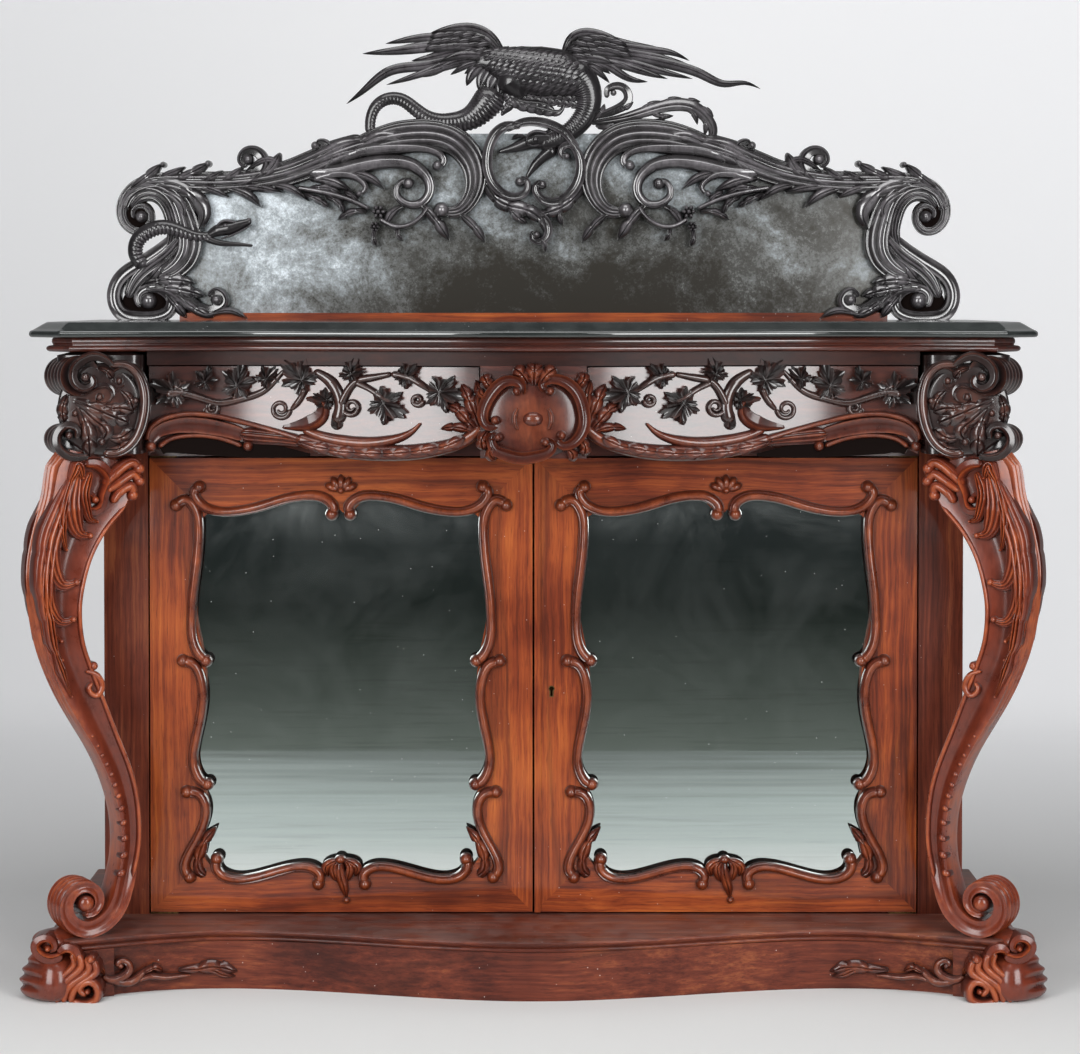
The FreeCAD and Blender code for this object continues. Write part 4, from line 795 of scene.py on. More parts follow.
def dust_group():
    """White specks and a soft film of dust that is thicker on faces that look up."""
    tree, given, made = group(
        "specks_and_dust",
        [("Vector", "NodeSocketVector", None), ("Amount", "NodeSocketFloat", 0.5)],
        ("Speck", "Film"),
    )
    place = given.outputs["Vector"]
    amount = given.outputs["Amount"]
    cells = node(tree, "ShaderNodeTexVoronoi", Vector=place, Scale=130.0, Randomness=1.0)
    grain = node(tree, "ShaderNodeTexWhiteNoise", Vector=cells.outputs["Position"])
    rare = maths(tree, "GREATER_THAN", grain.outputs["Value"], SPECK_RARITY)
    dot = span(tree, cells.outputs["Distance"], *SPECK_EDGE, 1.0, 0.0)
    up = axes(tree, node(tree, "ShaderNodeNewGeometry").outputs["Normal"])["Z"]
    patch = noise(tree, place, Scale=26.0, Detail=4.0, Roughness=0.7)
    film = times(tree, span(tree, up, *FILM_SLOPE), span(tree, patch, *CLOUD_RANGE))
    settle(tree, made, Speck=times(tree, times(tree, rare, dot), amount), Film=times(tree, film, amount))
    return tree


FIGURE = figure_group()
DUST = dust_group()


def figured(tree, vector):
    """Rosewood figure at some places."""
    return node(tree, "ShaderNodeGroup", set_node_tree=FIGURE, Vector=vector).outputs


def dusted(tree, place, amount):
    """Specks and dust at some places."""
    return node(tree, "ShaderNodeGroup", set_node_tree=DUST, Vector=place, Amount=amount).outputs


def fresh(name):
    """A new material with an empty tree and its polished surface shader."""
    material = bpy.data.materials.new(name)
    material.use_nodes = True
    tree = material.node_tree
    tree.nodes.clear()
    surface = tree.nodes.new("ShaderNodeBsdfPrincipled")
    out = tree.nodes.new("ShaderNodeOutputMaterial")
    tree.links.new(surface.outputs["BSDF"], out.inputs["Surface"])
    return material, tree, surface


def grain_vector(tree, grain):
    """Object places turned so that the grain runs along the first axis; around follows boards round the
    sides."""
    place = object_places(tree)
    if grain == "up":
        return mapped(tree, place, Rotation=(0, QUARTER, 0)), place
    if grain == "around":
        normal = axes(tree, node(tree, "ShaderNodeTexCoord").outputs["Normal"])
        faces_back = maths(tree, "GREATER_THAN", maths(tree, "ABSOLUTE", normal["Y"]), FACES_BACK)
        return pick_vector(tree, faces_back, mapped(tree, place, Rotation=(0, 0, QUARTER)), place), place
    return place, place


def mitred_vector(tree, middle):
    """Grain along each door member: level between the mitres at top and bottom, upright in the stiles."""
    place = object_places(tree)
    parts = axes(tree, place)
    off_x = maths(tree, "ABSOLUTE", maths(tree, "SUBTRACT", parts["X"], middle[0]))
    off_z = maths(tree, "ABSOLUTE", maths(tree, "SUBTRACT", parts["Z"], middle[1]))
    room_x = maths(tree, "SUBTRACT", DOOR_WIDTH / 2 * METRE, off_x)
    room_z = maths(tree, "SUBTRACT", DOOR_HEIGHT / 2 * METRE, off_z)
    level = maths(tree, "LESS_THAN", room_z, room_x)
    return pick_vector(tree, level, mapped(tree, place, Rotation=(0, QUARTER, 0)), place), place


def veneer(name, grain, stops=ROSEWOOD_STOPS, middle=None, specks=0.6, coat=0.55, gloss=1.5, haze=0.07):
    """Polished figured rosewood: streaks and dark veins in the colour, open pores in the bump, specks
    and dust."""
    material, tree, surface = fresh(name)
    vector, place = mitred_vector(tree, middle) if middle else grain_vector(tree, grain)
    figure = figured(tree, vector)
    dust = dusted(tree, place, specks)
    mixed = maths(tree, "ADD", times(tree, figure["Streak"], STREAK_SHARE),
                  times(tree, figure["Cloud"], CLOUD_SHARE))
    colour = ramp(tree, mixed, stops)
    colour = blend(tree, times(tree, figure["Vein"], VEIN_SHARE), colour, VEIN_DARK)
    colour = blend(tree, times(tree, figure["Pore"], PORE_SHARE), colour, PORE_DARK)
    colour = blend(tree, dust["Speck"], colour, SPECK_PALE)
    colour = blend(tree, times(tree, dust["Film"], FILM_SHARE), colour, FILM_PALE)
    rough = span(tree, figure["Cloud"], *CLOUD_RANGE, *VENEER_ROUGH)
    rough = maths(tree, "ADD", rough, times(tree, dust["Film"], FILM_ROUGH))
    bump = node(tree, "ShaderNodeBump", Strength=0.12, Distance=0.0006, Height=figure["Streak"])
    settle(tree, surface, Base_Color=colour, Roughness=rough, Specular_IOR_Level=0.22, Coat_Weight=coat,
           Coat_Roughness=haze, Coat_IOR=gloss, Normal=bump.outputs[0])
    return material


def carved(name, hollow, flank, ridge, coat=0.5, gloss=CARVED_GLOSS):
    """Carved and polished wood: near black in the hollows, partly dirt and partly painted shade, warmer
    on the flanks, and lighter on the ridges, partly rubbed wear and partly painted highlight."""
    material, tree, surface = fresh(name)
    place = object_places(tree)
    height = node(tree, "ShaderNodeAttribute", set_attribute_name="ridge").outputs["Fac"]
    patch = noise(tree, place, Scale=38.0, Detail=5.0, Roughness=0.6)
    streak = noise(tree, mapped(tree, place, Scale=CARVED_STRETCH), Scale=3.0, Detail=5.0)
    mixed = maths(tree, "ADD", times(tree, height, CARVED_SHARE),
                  times(tree, maths(tree, "SUBTRACT", patch, 0.5), CARVED_SHARE))
    colour = ramp(tree, mixed, ((CARVED_HOLLOW, hollow), (CARVED_FLANK, flank), (CARVED_RIDGE, ridge)))
    colour = blend(tree, span(tree, streak, *CARVED_STREAKS, 0.0, CARVED_STREAK_SHARE), colour,
                   (*hollow, 1))
    film = dusted(tree, place, CARVED_DUST)["Film"]
    colour = blend(tree, times(tree, film, CARVED_FILM_SHARE), colour, CARVED_FILM)
    bump = node(tree, "ShaderNodeBump", Strength=0.18, Distance=0.0008, Height=streak)
    settle(tree, surface, Base_Color=colour, Roughness=span(tree, patch, *CLOUD_RANGE, *CARVED_ROUGH),
           Specular_IOR_Level=0.3, Coat_Weight=coat, Coat_Roughness=0.15, Coat_IOR=gloss,
           Normal=bump.outputs[0])
    return material


def shade_paint_finish():
    """Near-black unpolished wood: painted shade for hollows and gaps."""
    material, tree, surface = fresh("rosewood_shade_paint")
    settle(tree, surface, Base_Color=SHADE_BLACK, Roughness=0.95, Specular_IOR_Level=0.05)
    return material


def slab_finish():
    """Black polished slab with a faint green-grey bloom and fine dust."""
    material, tree, surface = fresh("black_slab")
    place = object_places(tree)
    bloom = noise(tree, place, Scale=9.0, Detail=6.0, Roughness=0.65)
    dust = dusted(tree, place, SLAB_DUST)
    colour = blend(tree, times(tree, dust["Film"], SLAB_FILM_SHARE), ramp(tree, bloom, SLAB_STOPS),
                   SLAB_FILM)
    settle(tree, surface, Base_Color=blend(tree, dust["Speck"], colour, SLAB_SPECK),
           Roughness=span(tree, bloom, *SLAB_BLOOM, *SLAB_ROUGH), Coat_Weight=0.8, Coat_Roughness=0.05,
           Coat_IOR=1.8)
    return material


def door_mirror_finish():
    """Old looking-glass: silvered, a little green, scratched, with specks and a milky bloom towards its
    top."""
    material, tree, surface = fresh("door_mirror")
    place = object_places(tree)
    cloud = noise(tree, place, Scale=5.0, Detail=6.0, Roughness=0.7, Distortion=0.8)
    scratch = noise(tree, mapped(tree, place, Scale=SCRATCH_STRETCH), Scale=1.6, Detail=3.0)
    edge = maths(tree, "ADD", span(tree, axes(tree, place)["Z"], *MILK_LEVELS), MILK_LEAST, clamp=True)
    milk = times(tree, times(tree, span(tree, cloud, *MILK_RANGE), MILK_SHARE), edge)
    speck = dusted(tree, place, MIRROR_DUST)["Speck"]
    colour = blend(tree, span(tree, scratch, *SCRATCH_RANGE, 0.0, SCRATCH_SHARE), SILVER, SILVER_SCRATCH)
    haze = maths(tree, "ADD", milk, speck, clamp=True)
    settle(tree, surface, Base_Color=blend(tree, speck, colour, SILVER_SPECK),
           Metallic=maths(tree, "SUBTRACT", 1.0, haze, clamp=True),
           Roughness=span(tree, haze, 0.0, MIRROR_HAZE, *MIRROR_ROUGH))
    return material


def back_mirror_finish():
    """Foxed looking-glass: grey silver worn through to pale bluish blooms near its ends and along the
    carving."""
    material, tree, surface = fresh("back_mirror")
    place = object_places(tree)
    parts = axes(tree, place)
    cloud = noise(tree, place, Scale=6.0, Detail=9.0, Roughness=0.7, Distortion=0.4)
    grain = noise(tree, place, Scale=150.0, Detail=4.0, Roughness=0.85)
    side = ramp(tree, span(tree, parts["X"], *FOXED_ACROSS), FOXED_SIDES)
    bloom = maths(tree, "ADD", maths(tree, "ADD", cloud, side), span(tree, parts["Z"], *FOXED_UP))
    bloom = maths(tree, "ADD", bloom, times(tree, maths(tree, "SUBTRACT", grain, 0.5), FOXED_GRAIN))
    foxed = span(tree, bloom, *FOXED_RANGE)
    settle(tree, surface, Base_Color=ramp(tree, foxed, FOXED_STOPS),
           Metallic=span(tree, foxed, *FOXED_METAL), Roughness=span(tree, foxed, *FOXED_ROUGH))
    return material


def softwood_finish():
    """Plain deal: pale brown with straight growth lines, gone dull with age."""
    material, tree, surface = fresh("old_deal")
    figure = figured(tree, object_places(tree))
    colour = ramp(tree, figure["Streak"], DEAL_STOPS)
    colour = blend(tree, times(tree, figure["Vein"], DEAL_VEIN_SHARE), colour, DEAL_VEIN)
    rough = span(tree, figure["Cloud"], *CLOUD_RANGE, *DEAL_ROUGH)
    settle(tree, surface, Base_Color=colour, Roughness=rough)
    return material


def brass_finish():
    """Old brass: yellow metal with brown tarnish in patches."""
    material, tree, surface = fresh("old_brass")
    tarnish = noise(tree, object_places(tree), Scale=160.0, Detail=5.0, Roughness=0.7)
    settle(tree, surface, Base_Color=ramp(tree, tarnish, BRASS_STOPS), Metallic=1.0,
           Roughness=span(tree, tarnish, *CLOUD_RANGE, *BRASS_ROUGH))
    return material


DOOR_MIDDLE_X = (DOOR_INNER + DOOR_WIDTH / 2) * METRE
DOOR_MIDDLE_Z = (DOOR_LOW + DOOR_HEIGHT / 2) * METRE
UPRIGHT_WOOD = veneer("rosewood_upright", "up")
LEVEL_WOOD = veneer("rosewood_level", "level")
DARK_LEVEL_WOOD = veneer("rosewood_frieze", "level", DARK_STOPS, specks=0.5, coat=0.88, gloss=1.85,
                         haze=0.17)
DOOR_WOODS = {
    "left": veneer("rosewood_door_left", "up", middle=(-DOOR_MIDDLE_X, DOOR_MIDDLE_Z)),
    "right": veneer("rosewood_door_right", "up", middle=(DOOR_MIDDLE_X, DOOR_MIDDLE_Z)),
}
PLINTH_WOOD = veneer("rosewood_plinth", "level", PLINTH_STOPS, specks=1.0, coat=0.16)
# Matte and near black: the fascia's darkness is painted shade under the cornice on top of the dark wood.
FASCIA_SHADE_WOOD = veneer("rosewood_fascia_shade_paint", "level", FASCIA_SHADE_STOPS, specks=0.3, coat=0.0)
SIDE_WOOD = veneer("rosewood_side", "around", DARK_STOPS, specks=0.5)
PLINTH_SIDE_WOOD = veneer("rosewood_plinth_side", "around", PLINTH_STOPS, specks=1.0, coat=0.16)
CARCASS_WOOD = veneer("rosewood_carcass", "up", PLINTH_STOPS, specks=0.5, coat=0.06)
# Carved finishes: the dark hollow colour is partly dirt and partly painted shade, the light ridge colour
# partly rubbed wear and partly painted highlight.
CARVED_WOOD = carved("rosewood_carved", (0.012, 0.0036, 0.003), (0.075, 0.0135, 0.0065),
                     (0.25, 0.055, 0.016))
DARK_CARVED_WOOD = carved("rosewood_carved_dark", (0.008, 0.0045, 0.0042), (0.02, 0.0085, 0.0075),
                          (0.085, 0.03, 0.02), coat=0.9)
MOULDING_WOOD = carved("rosewood_moulding", (0.014, 0.0034, 0.0026), (0.1, 0.0165, 0.006),
                       (0.36, 0.075, 0.017), coat=0.6)
LEG_WOOD = carved("rosewood_leg", (0.062, 0.0105, 0.0055), (0.17, 0.027, 0.0095),
                  (0.48, 0.105, 0.023), coat=0.4)
BLOCK_WOOD = carved("rosewood_block", (0.006, 0.003, 0.003), (0.024, 0.0085, 0.007),
                    (0.12, 0.034, 0.018), coat=0.8)
# The ebonised ridges' grey is partly rubbed wear and partly a painted sheen; the black hollows partly dirt
# and partly painted shade.
EBONISED = carved("ebonised_carved", (0.004, 0.0034, 0.0037), (0.03, 0.026, 0.028),
                  (0.2, 0.183, 0.196), coat=1.0, gloss=2.0)
FIGURE_BLACK = carved("ebonised_figure", (0.0036, 0.003, 0.0033), (0.022, 0.019, 0.021),
                      (0.13, 0.118, 0.128), coat=0.6)
SHADE_PAINT = shade_paint_finish()
SLAB_BLACK = slab_finish()
DOOR_MIRROR = door_mirror_finish()
BACK_MIRROR = back_mirror_finish()
DEAL = softwood_finish()
BRASS = brass_finish()

NODE_FINISHES = {
    "carcass_sides": CARCASS_WOOD, "carcass_stiles": CARCASS_WOOD, "carcass_top_rail": DARK_LEVEL_WOOD,
    "carcass_top": DARK_LEVEL_WOOD, "drawer_guides": DARK_LEVEL_WOOD, "drawer_muntin": DARK_LEVEL_WOOD,
    "frieze_boards": SIDE_WOOD, "frieze_rail": FASCIA_SHADE_WOOD, "plinth_boards": PLINTH_SIDE_WOOD,
    "plinth_front": PLINTH_WOOD, "centre_cartouche": DARK_LEVEL_WOOD, "back_base_rail": LEVEL_WOOD,
    "drawer_left_front": DARK_LEVEL_WOOD, "drawer_right_front": DARK_LEVEL_WOOD,
    "door_left_frame": DOOR_WOODS["left"], "door_right_frame": DOOR_WOODS["right"],
    "door_right_astragal": UPRIGHT_WOOD, "door_left_mirror": DOOR_MIRROR, "door_right_mirror": DOOR_MIRROR,
    "back_mirror": BACK_MIRROR, "keyhole_escutcheon": BRASS, "lock_case": BRASS, "lock_bolt": BRASS,
    "shoot_bolt_upper": BRASS, "shoot_bolt_lower": BRASS, "shoot_keepers": BRASS, "door_pivots": BRASS,
}


def dress_frame():
    """Every CAD node gets a finish; those not named above are of plain deal."""
    for name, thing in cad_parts.items():
        finish = NODE_FINISHES.get(name, DEAL)
        thing.data.materials.clear()
        thing.data.materials.append(finish)


dress_frame()


# Slab, moulded board under it and plinth top: an edge section carried round the plan

BOARD_HUB = (0, 90)
BOARD_RIDGE = 0.6
EDGE_ANGLE = 50


def moulded_board(section):
    """A board whose edge section, as insets and levels from the underside up, is carried round its plan."""
    rings = []
    for inset, level in section:
        loop = plan_loop(inset)
        rings.append(np.column_stack([loop, np.full(len(loop), level)]))
    grid = np.stack(rings)
    return [loft(grid, np.full(grid.shape[:2], BOARD_RIDGE), hub=BOARD_HUB)]


SLAB_SECTION = [
    (10, 952), (4, 952), (1.6, 953), (0.3, 955), (0, 957), (0.6, 959.4), (2.2, 961.2), (4.5, 962.2),
    (5.2, 962.4), (10, 965.2), (18, 970.2), (23, 973), (25.5, 973.9), (28, 974), (32, 974), (38, 974),
]
CORNICE_SECTION = [
    (40, 931), (33, 931), (28, 931.4), (25, 932.6), (23.4, 934.6), (23.2, 936.4), (24.2, 938.4),
    (26.6, 939.8), (30, 940.4), (32, 940.6), (32.4, 942), (31.2, 943.4), (30.6, 946), (31, 949),
    (32.5, 951), (36, 952), (44, 952),
]
PLINTH_SECTION = [
    (34, 70), (31, 70), (29, 70.6), (27.4, 72), (27, 73.6), (28, 75.4), (29, 76), (28.6, 77), (26.6, 78),
    (24, 79.4), (22, 81), (20.8, 82.8), (20.6, 84.4), (21.6, 86), (23.6, 86.8), (27, 87), (31, 87),
    (36, 87),
]
piece("slab", moulded_board(SLAB_SECTION), "cabinet", SLAB_BLACK, ("top_slab",), EDGE_ANGLE)
piece("cornice", moulded_board(CORNICE_SECTION), "cabinet", DARK_LEVEL_WOOD, ("sub_top",),
      EDGE_ANGLE)
BOLT_SOCKET = (-25.5, -29)
BOLT_SOCKET_RADIUS = 3.3
BOLT_SOCKET_FLOOR = 73
BOLT_SOCKET_ROOF = 89
ledge = piece("plinth_ledge", moulded_board(PLINTH_SECTION), "cabinet", PLINTH_WOOD,
              ("plinth_top",),
              EDGE_ANGLE)
bore(ledge, BOLT_SOCKET, BOLT_SOCKET_RADIUS, BOLT_SOCKET_FLOOR, BOLT_SOCKET_ROOF, EDGE_ANGLE)


# Door mouldings: scrolls round the looking-glass, a shell at the top and a drop at the bottom

DOOR_SCROLLS = [
    ([(0.130, 0.937), (0.117, 0.925), (0.130, 0.902), (0.168, 0.885), (0.222, 0.883), (0.290, 0.894),
      (0.358, 0.911), (0.425, 0.918), (0.459, 0.911), (0.479, 0.894), (0.476, 0.877)],
     (7.5, 6.2, 6.8, 6.6, 7.6)),
    ([(0.069, 0.897), (0.096, 0.908), (0.120, 0.885), (0.128, 0.851), (0.124, 0.783), (0.113, 0.709),
      (0.108, 0.641), (0.113, 0.595), (0.130, 0.566), (0.147, 0.555)],
     (7.4, 6.4, 6.6, 6.2, 7.4)),
    ([(0.086, 0.555), (0.113, 0.546), (0.130, 0.521), (0.137, 0.470), (0.124, 0.402), (0.112, 0.345),
      (0.117, 0.312), (0.134, 0.288), (0.150, 0.283)],
     (7.4, 6.4, 6.6, 6.2, 7.4)),
    ([(0.096, 0.266), (0.127, 0.260), (0.144, 0.231), (0.137, 0.192), (0.117, 0.157), (0.096, 0.123),
      (0.090, 0.095), (0.103, 0.078)],
     (7.2, 6.4, 6.2, 7.6)),
    ([(0.174, 0.118), (0.171, 0.100), (0.188, 0.081), (0.235, 0.072), (0.303, 0.083), (0.370, 0.098),
      (0.418, 0.098), (0.442, 0.083), (0.439, 0.063)],
     (7.4, 6.4, 6.4, 6.0, 7.2)),
]
DOOR_CORNER_LEAF = [(0.174, 0.189), (0.147, 0.163), (0.128, 0.129), (0.127, 0.095), (0.144, 0.081)]
DOOR_SHELL = (0.5, 0.93)
DOOR_DROP = [(0.497, 0.118), (0.497, 0.085), (0.507, 0.055), (0.512, 0.03)]
MOULDING_RISE = 13.5
MOULDING_SWELL = 1.22
MOULDING_EYE = (10, 10)
SCROLL_STATIONS = 110
EYE_RISE = 1.15
CORNER_LEAF_HALF = 11
DOOR_LEAF_RISE = 10
DROP_LEAVES = [
    [(0.497, 0.118), (0.479, 0.1), (0.4879, 0.0666)], [(0.497, 0.118), (0.459, 0.1), (0.4659, 0.0786)],
]
DROP_LEAF_HALF = 8
DROP_LEAF_RISE = 9
DROP_HALF = 9
DROP_BOSSES = [((0.497, 0.117), (9, 7), 12), ((0.513, 0.027), (5.5, 5.5), 9)]
SHELL_SPREAD = 1.25
SHELL_REACH = 11
SHELL_LOBE = (12.5, 6.6)
SHELL_LOBE_RISE = 12
SHELL_EYE = (6.5, 6.5)
SHELL_EYE_RISE = 14
SHELL_LOBES = (-1.2, -0.6, 0.0, 0.6, 1.2)


def on_door(shares, side, mirrored_half):
    """Places on a door from shares of its width, counted from the left edge, and of its height."""
    spots = np.asarray(shares, float)
    along = 1 - spots[:, 0] if mirrored_half else spots[:, 0]
    left = -DOOR_INNER - DOOR_WIDTH if side == "left" else DOOR_INNER
    return np.stack([left + along * DOOR_WIDTH, DOOR_LOW + spots[:, 1] * DOOR_HEIGHT], axis=1)


def door_moulding(side):
    """One door's carving: scrolls and leaves on both halves, with a drop and a shell between them."""
    chart = upright(DOOR_FACE)
    shells = []
    for half in (False, True):
        for shares, halves in DOOR_SCROLLS:
            broad = [half_width * MOULDING_SWELL for half_width in halves]
            shells += bar(chart, on_door(shares, side, half), broad, MOULDING_RISE, quirked_top,
                          SCROLL_STATIONS)
            for spot in on_door([shares[0], shares[-1]], side, half):
                shells.append(boss(chart, spot, MOULDING_EYE, MOULDING_RISE * EYE_RISE))
        shells += leaf(chart, on_door(DOOR_CORNER_LEAF[::-1], side, half), CORNER_LEAF_HALF, DOOR_LEAF_RISE,
                       lobes=3, cut=0.5, root=0.7)
        for points in DROP_LEAVES:
            shells += leaf(chart, on_door(points, side, half), DROP_LEAF_HALF, DROP_LEAF_RISE, lobes=1,
                           cut=0.0, root=0.5)
    shells += leaf(chart, on_door(DOOR_DROP, side, False), DROP_HALF, DOOR_LEAF_RISE, lobes=1, cut=0.0,
                   root=0.6)
    for spot, radii, rise in DROP_BOSSES:
        shells.append(boss(chart, on_door([spot], side, False)[0], radii, rise))
    shell = on_door([DOOR_SHELL], side, False)[0]
    for lean in SHELL_LOBES:
        way = np.array([math.sin(lean) * SHELL_SPREAD, math.cos(lean)])
        shells.append(boss(chart, shell + way * SHELL_REACH, SHELL_LOBE, SHELL_LOBE_RISE,
                           tilt=QUARTER - lean))
    shells.append(boss(chart, shell, SHELL_EYE, SHELL_EYE_RISE))
    return shells


for side in ("left", "right"):
    piece(f"door_{side}_scrolls", door_moulding(side), f"door_{side}", MOULDING_WOOD,
          (f"door_{side}_moulding",))


# Round forms that stand free: a round section carried along a line in an upright plane

RIB_COVER = 0.35
SCALE_COVER = 0.45
SCALE_STAGGER = 0.5
TUBE_TONE = 0.45
SWELL_TONE = 4
BALL_AROUND = 18
BALL_LEVELS = 11
BALL_CLOSE = 0.48


def tube(chart, points, radii, flat=1.0, around=20, count=110, ribs=0, depth=0.0, scales=0):
    """A round bar in an upright plane: its radius changes along the line, with ribs or rows of scales
    raised on it."""
    line = through(points, count)
    side = ways(line)[1]
    share = run_share(line)
    size = np.interp(share, np.linspace(0, 1, len(radii)), radii)
    size = size * rounded_ends(line, size)
    angle = np.linspace(0, TURN, around, endpoint=False)
    swell = np.zeros((count, around))
    if ribs:
        cover = np.clip(RIB_COVER - np.cos(angle), 0, 1)
        swell += depth * np.abs(np.sin(share * ribs * math.pi))[:, None] * cover[None, :]
    if scales:
        rows = share[:, None] * scales + np.arange(around)[None, :] * SCALE_STAGGER
        cover = np.clip(np.cos(angle) + SCALE_COVER, 0, 1)
        swell += depth * np.abs(np.sin(rows * math.pi)) * cover[None, :]
    reach = size[:, None] * (1 + swell)
    spots = line[:, None, :] + side[:, None, :] * (reach * np.cos(angle)[None, :])[:, :, None]
    out = reach * np.sin(angle)[None, :] * flat
    return loft(chart(spots[:, :, 0], spots[:, :, 1], out), np.clip(TUBE_TONE + swell * SWELL_TONE, 0, 1))


def ball(chart, spot, radii, out):
    """A round knob: rings of latitude about a point on or before a face."""
    angle = np.linspace(0, TURN, BALL_AROUND, endpoint=False)
    level = (np.linspace(-BALL_CLOSE, BALL_CLOSE, BALL_LEVELS) * math.pi)[:, None]
    across = spot[0] + radii[0] * np.cos(level) * np.cos(angle)[None, :]
    up = spot[1] + radii[1] * np.cos(level) * np.sin(angle)[None, :]
    rise = np.tile(out + radii[2] * np.sin(level), (1, BALL_AROUND))
    ridge = np.tile(0.5 + 0.5 * np.sin(level), (1, BALL_AROUND))
    return loft(chart(across, up, rise), ridge)


# Legs: a broad S-shaped band with rims, acanthus on the knee, graduated beads and a reeded volute for a foot

LEG_MIDDLE = (646, -186)
LEG_BEARING = math.radians(30)
LEG_FOOT = 87
LEG_HEIGHT = 692
LEG_REACH = 88
LEG_HALF = 25
LEG_FACE = 24
LEG_OUTER = [
    (0.45, 1.0), (0.75, 0.931), (0.94, 0.827), (1.0, 0.754), (0.94, 0.681), (0.8, 0.598), (0.55, 0.514),
    (0.28, 0.452), (0.03, 0.4), (-0.22, 0.337), (-0.39, 0.275), (-0.47, 0.212), (-0.45, 0.15), (-0.36, 0.1),
]
LEG_INNER = [
    (-0.8, 1.0), (-0.8, 0.945), (-0.6, 0.9), (-0.3, 0.862), (-0.08, 0.82), (0.07, 0.77), (0.15, 0.723),
    (0.18, 0.681), (0.14, 0.618), (0.0, 0.566), (-0.3, 0.473), (-0.49, 0.41), (-0.68, 0.348), (-0.8, 0.285),
    (-0.84, 0.223), (-0.81, 0.16), (-0.7, 0.098),
]
KNEE_STATIONS = (0.0, 0.04, 0.3, 0.44)
KNEE_DEPTHS = (0.25, 0.5, 0.45, 0.0)
VOLUTE_EYE = (12.3, 136.0)
VOLUTE_START = math.radians(159)
VOLUTE_END = math.radians(630)
LEG_DEPTH = -210
LEG_SCALE = (CAMERA_DISTANCE + LEG_DEPTH) / FOCAL_PIXELS
LEG_SHARE_MOST = 0.82
LEG_EDGE_STATIONS = 120
LEG_STATIONS = 230
VOLUTE_STATIONS = 90
VOLUTE_REACH = 34
VOLUTE_FLARE = 29
VOLUTE_FLARE_FALL = 45
VOLUTE_SHRINK = 0.055
VOLUTE_SHRINK_FROM = 111
VOLUTE_TURNS = (0, 110, 200, 290, 380, 471)
VOLUTE_HALVES = (12, 10, 8.4, 7, 5)
FOOT_BLEND_START = 30
FOOT_BLEND_RUN = 70
BAND_SIDE_STATIONS = 25
BAND_FACE_STATIONS = 19
BAND_FACE = 0.9
BAND_ROUND = 0.1
BAND_CLOSE = 0.96
BAND_TONE = 0.5
RIM_TONE = 0.42
FOOT_TONE = 0.2
FOOT_SWELL = 0.1
HOLLOW_DEPTH = 0.3
HOLLOW_PLACE = 0.1
HOLLOW_HALF = 0.48
HOLLOW_LEAST = 0.35
HOLLOW_TONE = 0.4
LEG_REED_MIDDLE = 0.6
LEG_REED_DEPTH = 0.5
LEG_EDGE_SLOPE = 10
LEG_EDGE_START = 8.2
LEG_SEEN_OUTER = [
    (50, 465), (37, 490), (27, 540), (24, 575), (27, 610), (35, 650), (48, 690), (62, 720), (75, 745),
    (88, 775), (97, 805), (102, 835), (103, 860), (100, 890),
]
LEG_SEEN_INNER = [
    (138, 465), (138, 495), (125, 505), (110, 522), (99, 540), (92, 560), (86, 590), (84, 610), (86, 640),
    (95, 665), (103, 690), (110, 710), (120, 740), (130, 770), (137, 800), (140, 830), (139, 860),
    (133, 890),
]


def on_leg(points):
    """Places along and up the leg's face, from given pixels of the left leg: each keeps its share
    of the way between the leg's two edges at its height."""
    spots = np.asarray(points, float)
    seen_outer = np.interp(spots[:, 1], *np.asarray(LEG_SEEN_OUTER, float).T[::-1])
    seen_inner = np.interp(spots[:, 1], *np.asarray(LEG_SEEN_INNER, float).T[::-1])
    share = np.clip((spots[:, 0] - seen_inner) / (seen_outer - seen_inner), 0, LEG_SHARE_MOST)
    up = CAMERA_HEIGHT - (spots[:, 1] - HORIZON_ROW) * LEG_SCALE
    level = (up - LEG_FOOT) / LEG_HEIGHT
    outer = np.interp(level, *np.asarray(LEG_OUTER[::-1]).T[::-1]) * LEG_REACH
    inner = np.interp(level, *np.asarray(LEG_INNER[::-1]).T[::-1]) * LEG_REACH
    return np.stack([inner + share * (outer - inner), up], axis=1)


def leg_line():
    """The leg's middle line with its half width: midway between the two edges, then a spiral into the
    foot. The third list grows from none to one where the foot begins."""
    scale = np.array([LEG_REACH, LEG_HEIGHT])
    lift = np.array([0, LEG_FOOT])
    outer = through(np.asarray(LEG_OUTER) * scale + lift, LEG_EDGE_STATIONS)
    inner = through(np.asarray(LEG_INNER) * scale + lift, LEG_EDGE_STATIONS)
    middle = (outer + inner) / 2
    half = np.abs(((outer - inner) * ways(middle)[1]).sum(axis=1)) / 2
    angle = np.linspace(VOLUTE_START, VOLUTE_END, VOLUTE_STATIONS)[1:]
    past = np.degrees(angle - VOLUTE_START)
    reach = VOLUTE_REACH + VOLUTE_FLARE * np.exp(-past / VOLUTE_FLARE_FALL)
    reach = reach - VOLUTE_SHRINK * np.clip(past - VOLUTE_SHRINK_FROM, 0, None)
    spiral = np.stack([VOLUTE_EYE[0] + reach * np.cos(angle), VOLUTE_EYE[1] + reach * np.sin(angle)],
                      axis=1)
    thin = np.interp(past, VOLUTE_TURNS, [half[-1], *VOLUTE_HALVES])
    line = np.vstack([middle, spiral])
    run = run_length(line)
    ask = np.linspace(0, run[-1], LEG_STATIONS)
    foot = np.clip((ask - run[len(middle) - 1] + FOOT_BLEND_START) / FOOT_BLEND_RUN, 0, 1)
    return even(line, LEG_STATIONS), np.interp(ask, run, np.concatenate([half, thin])), foot


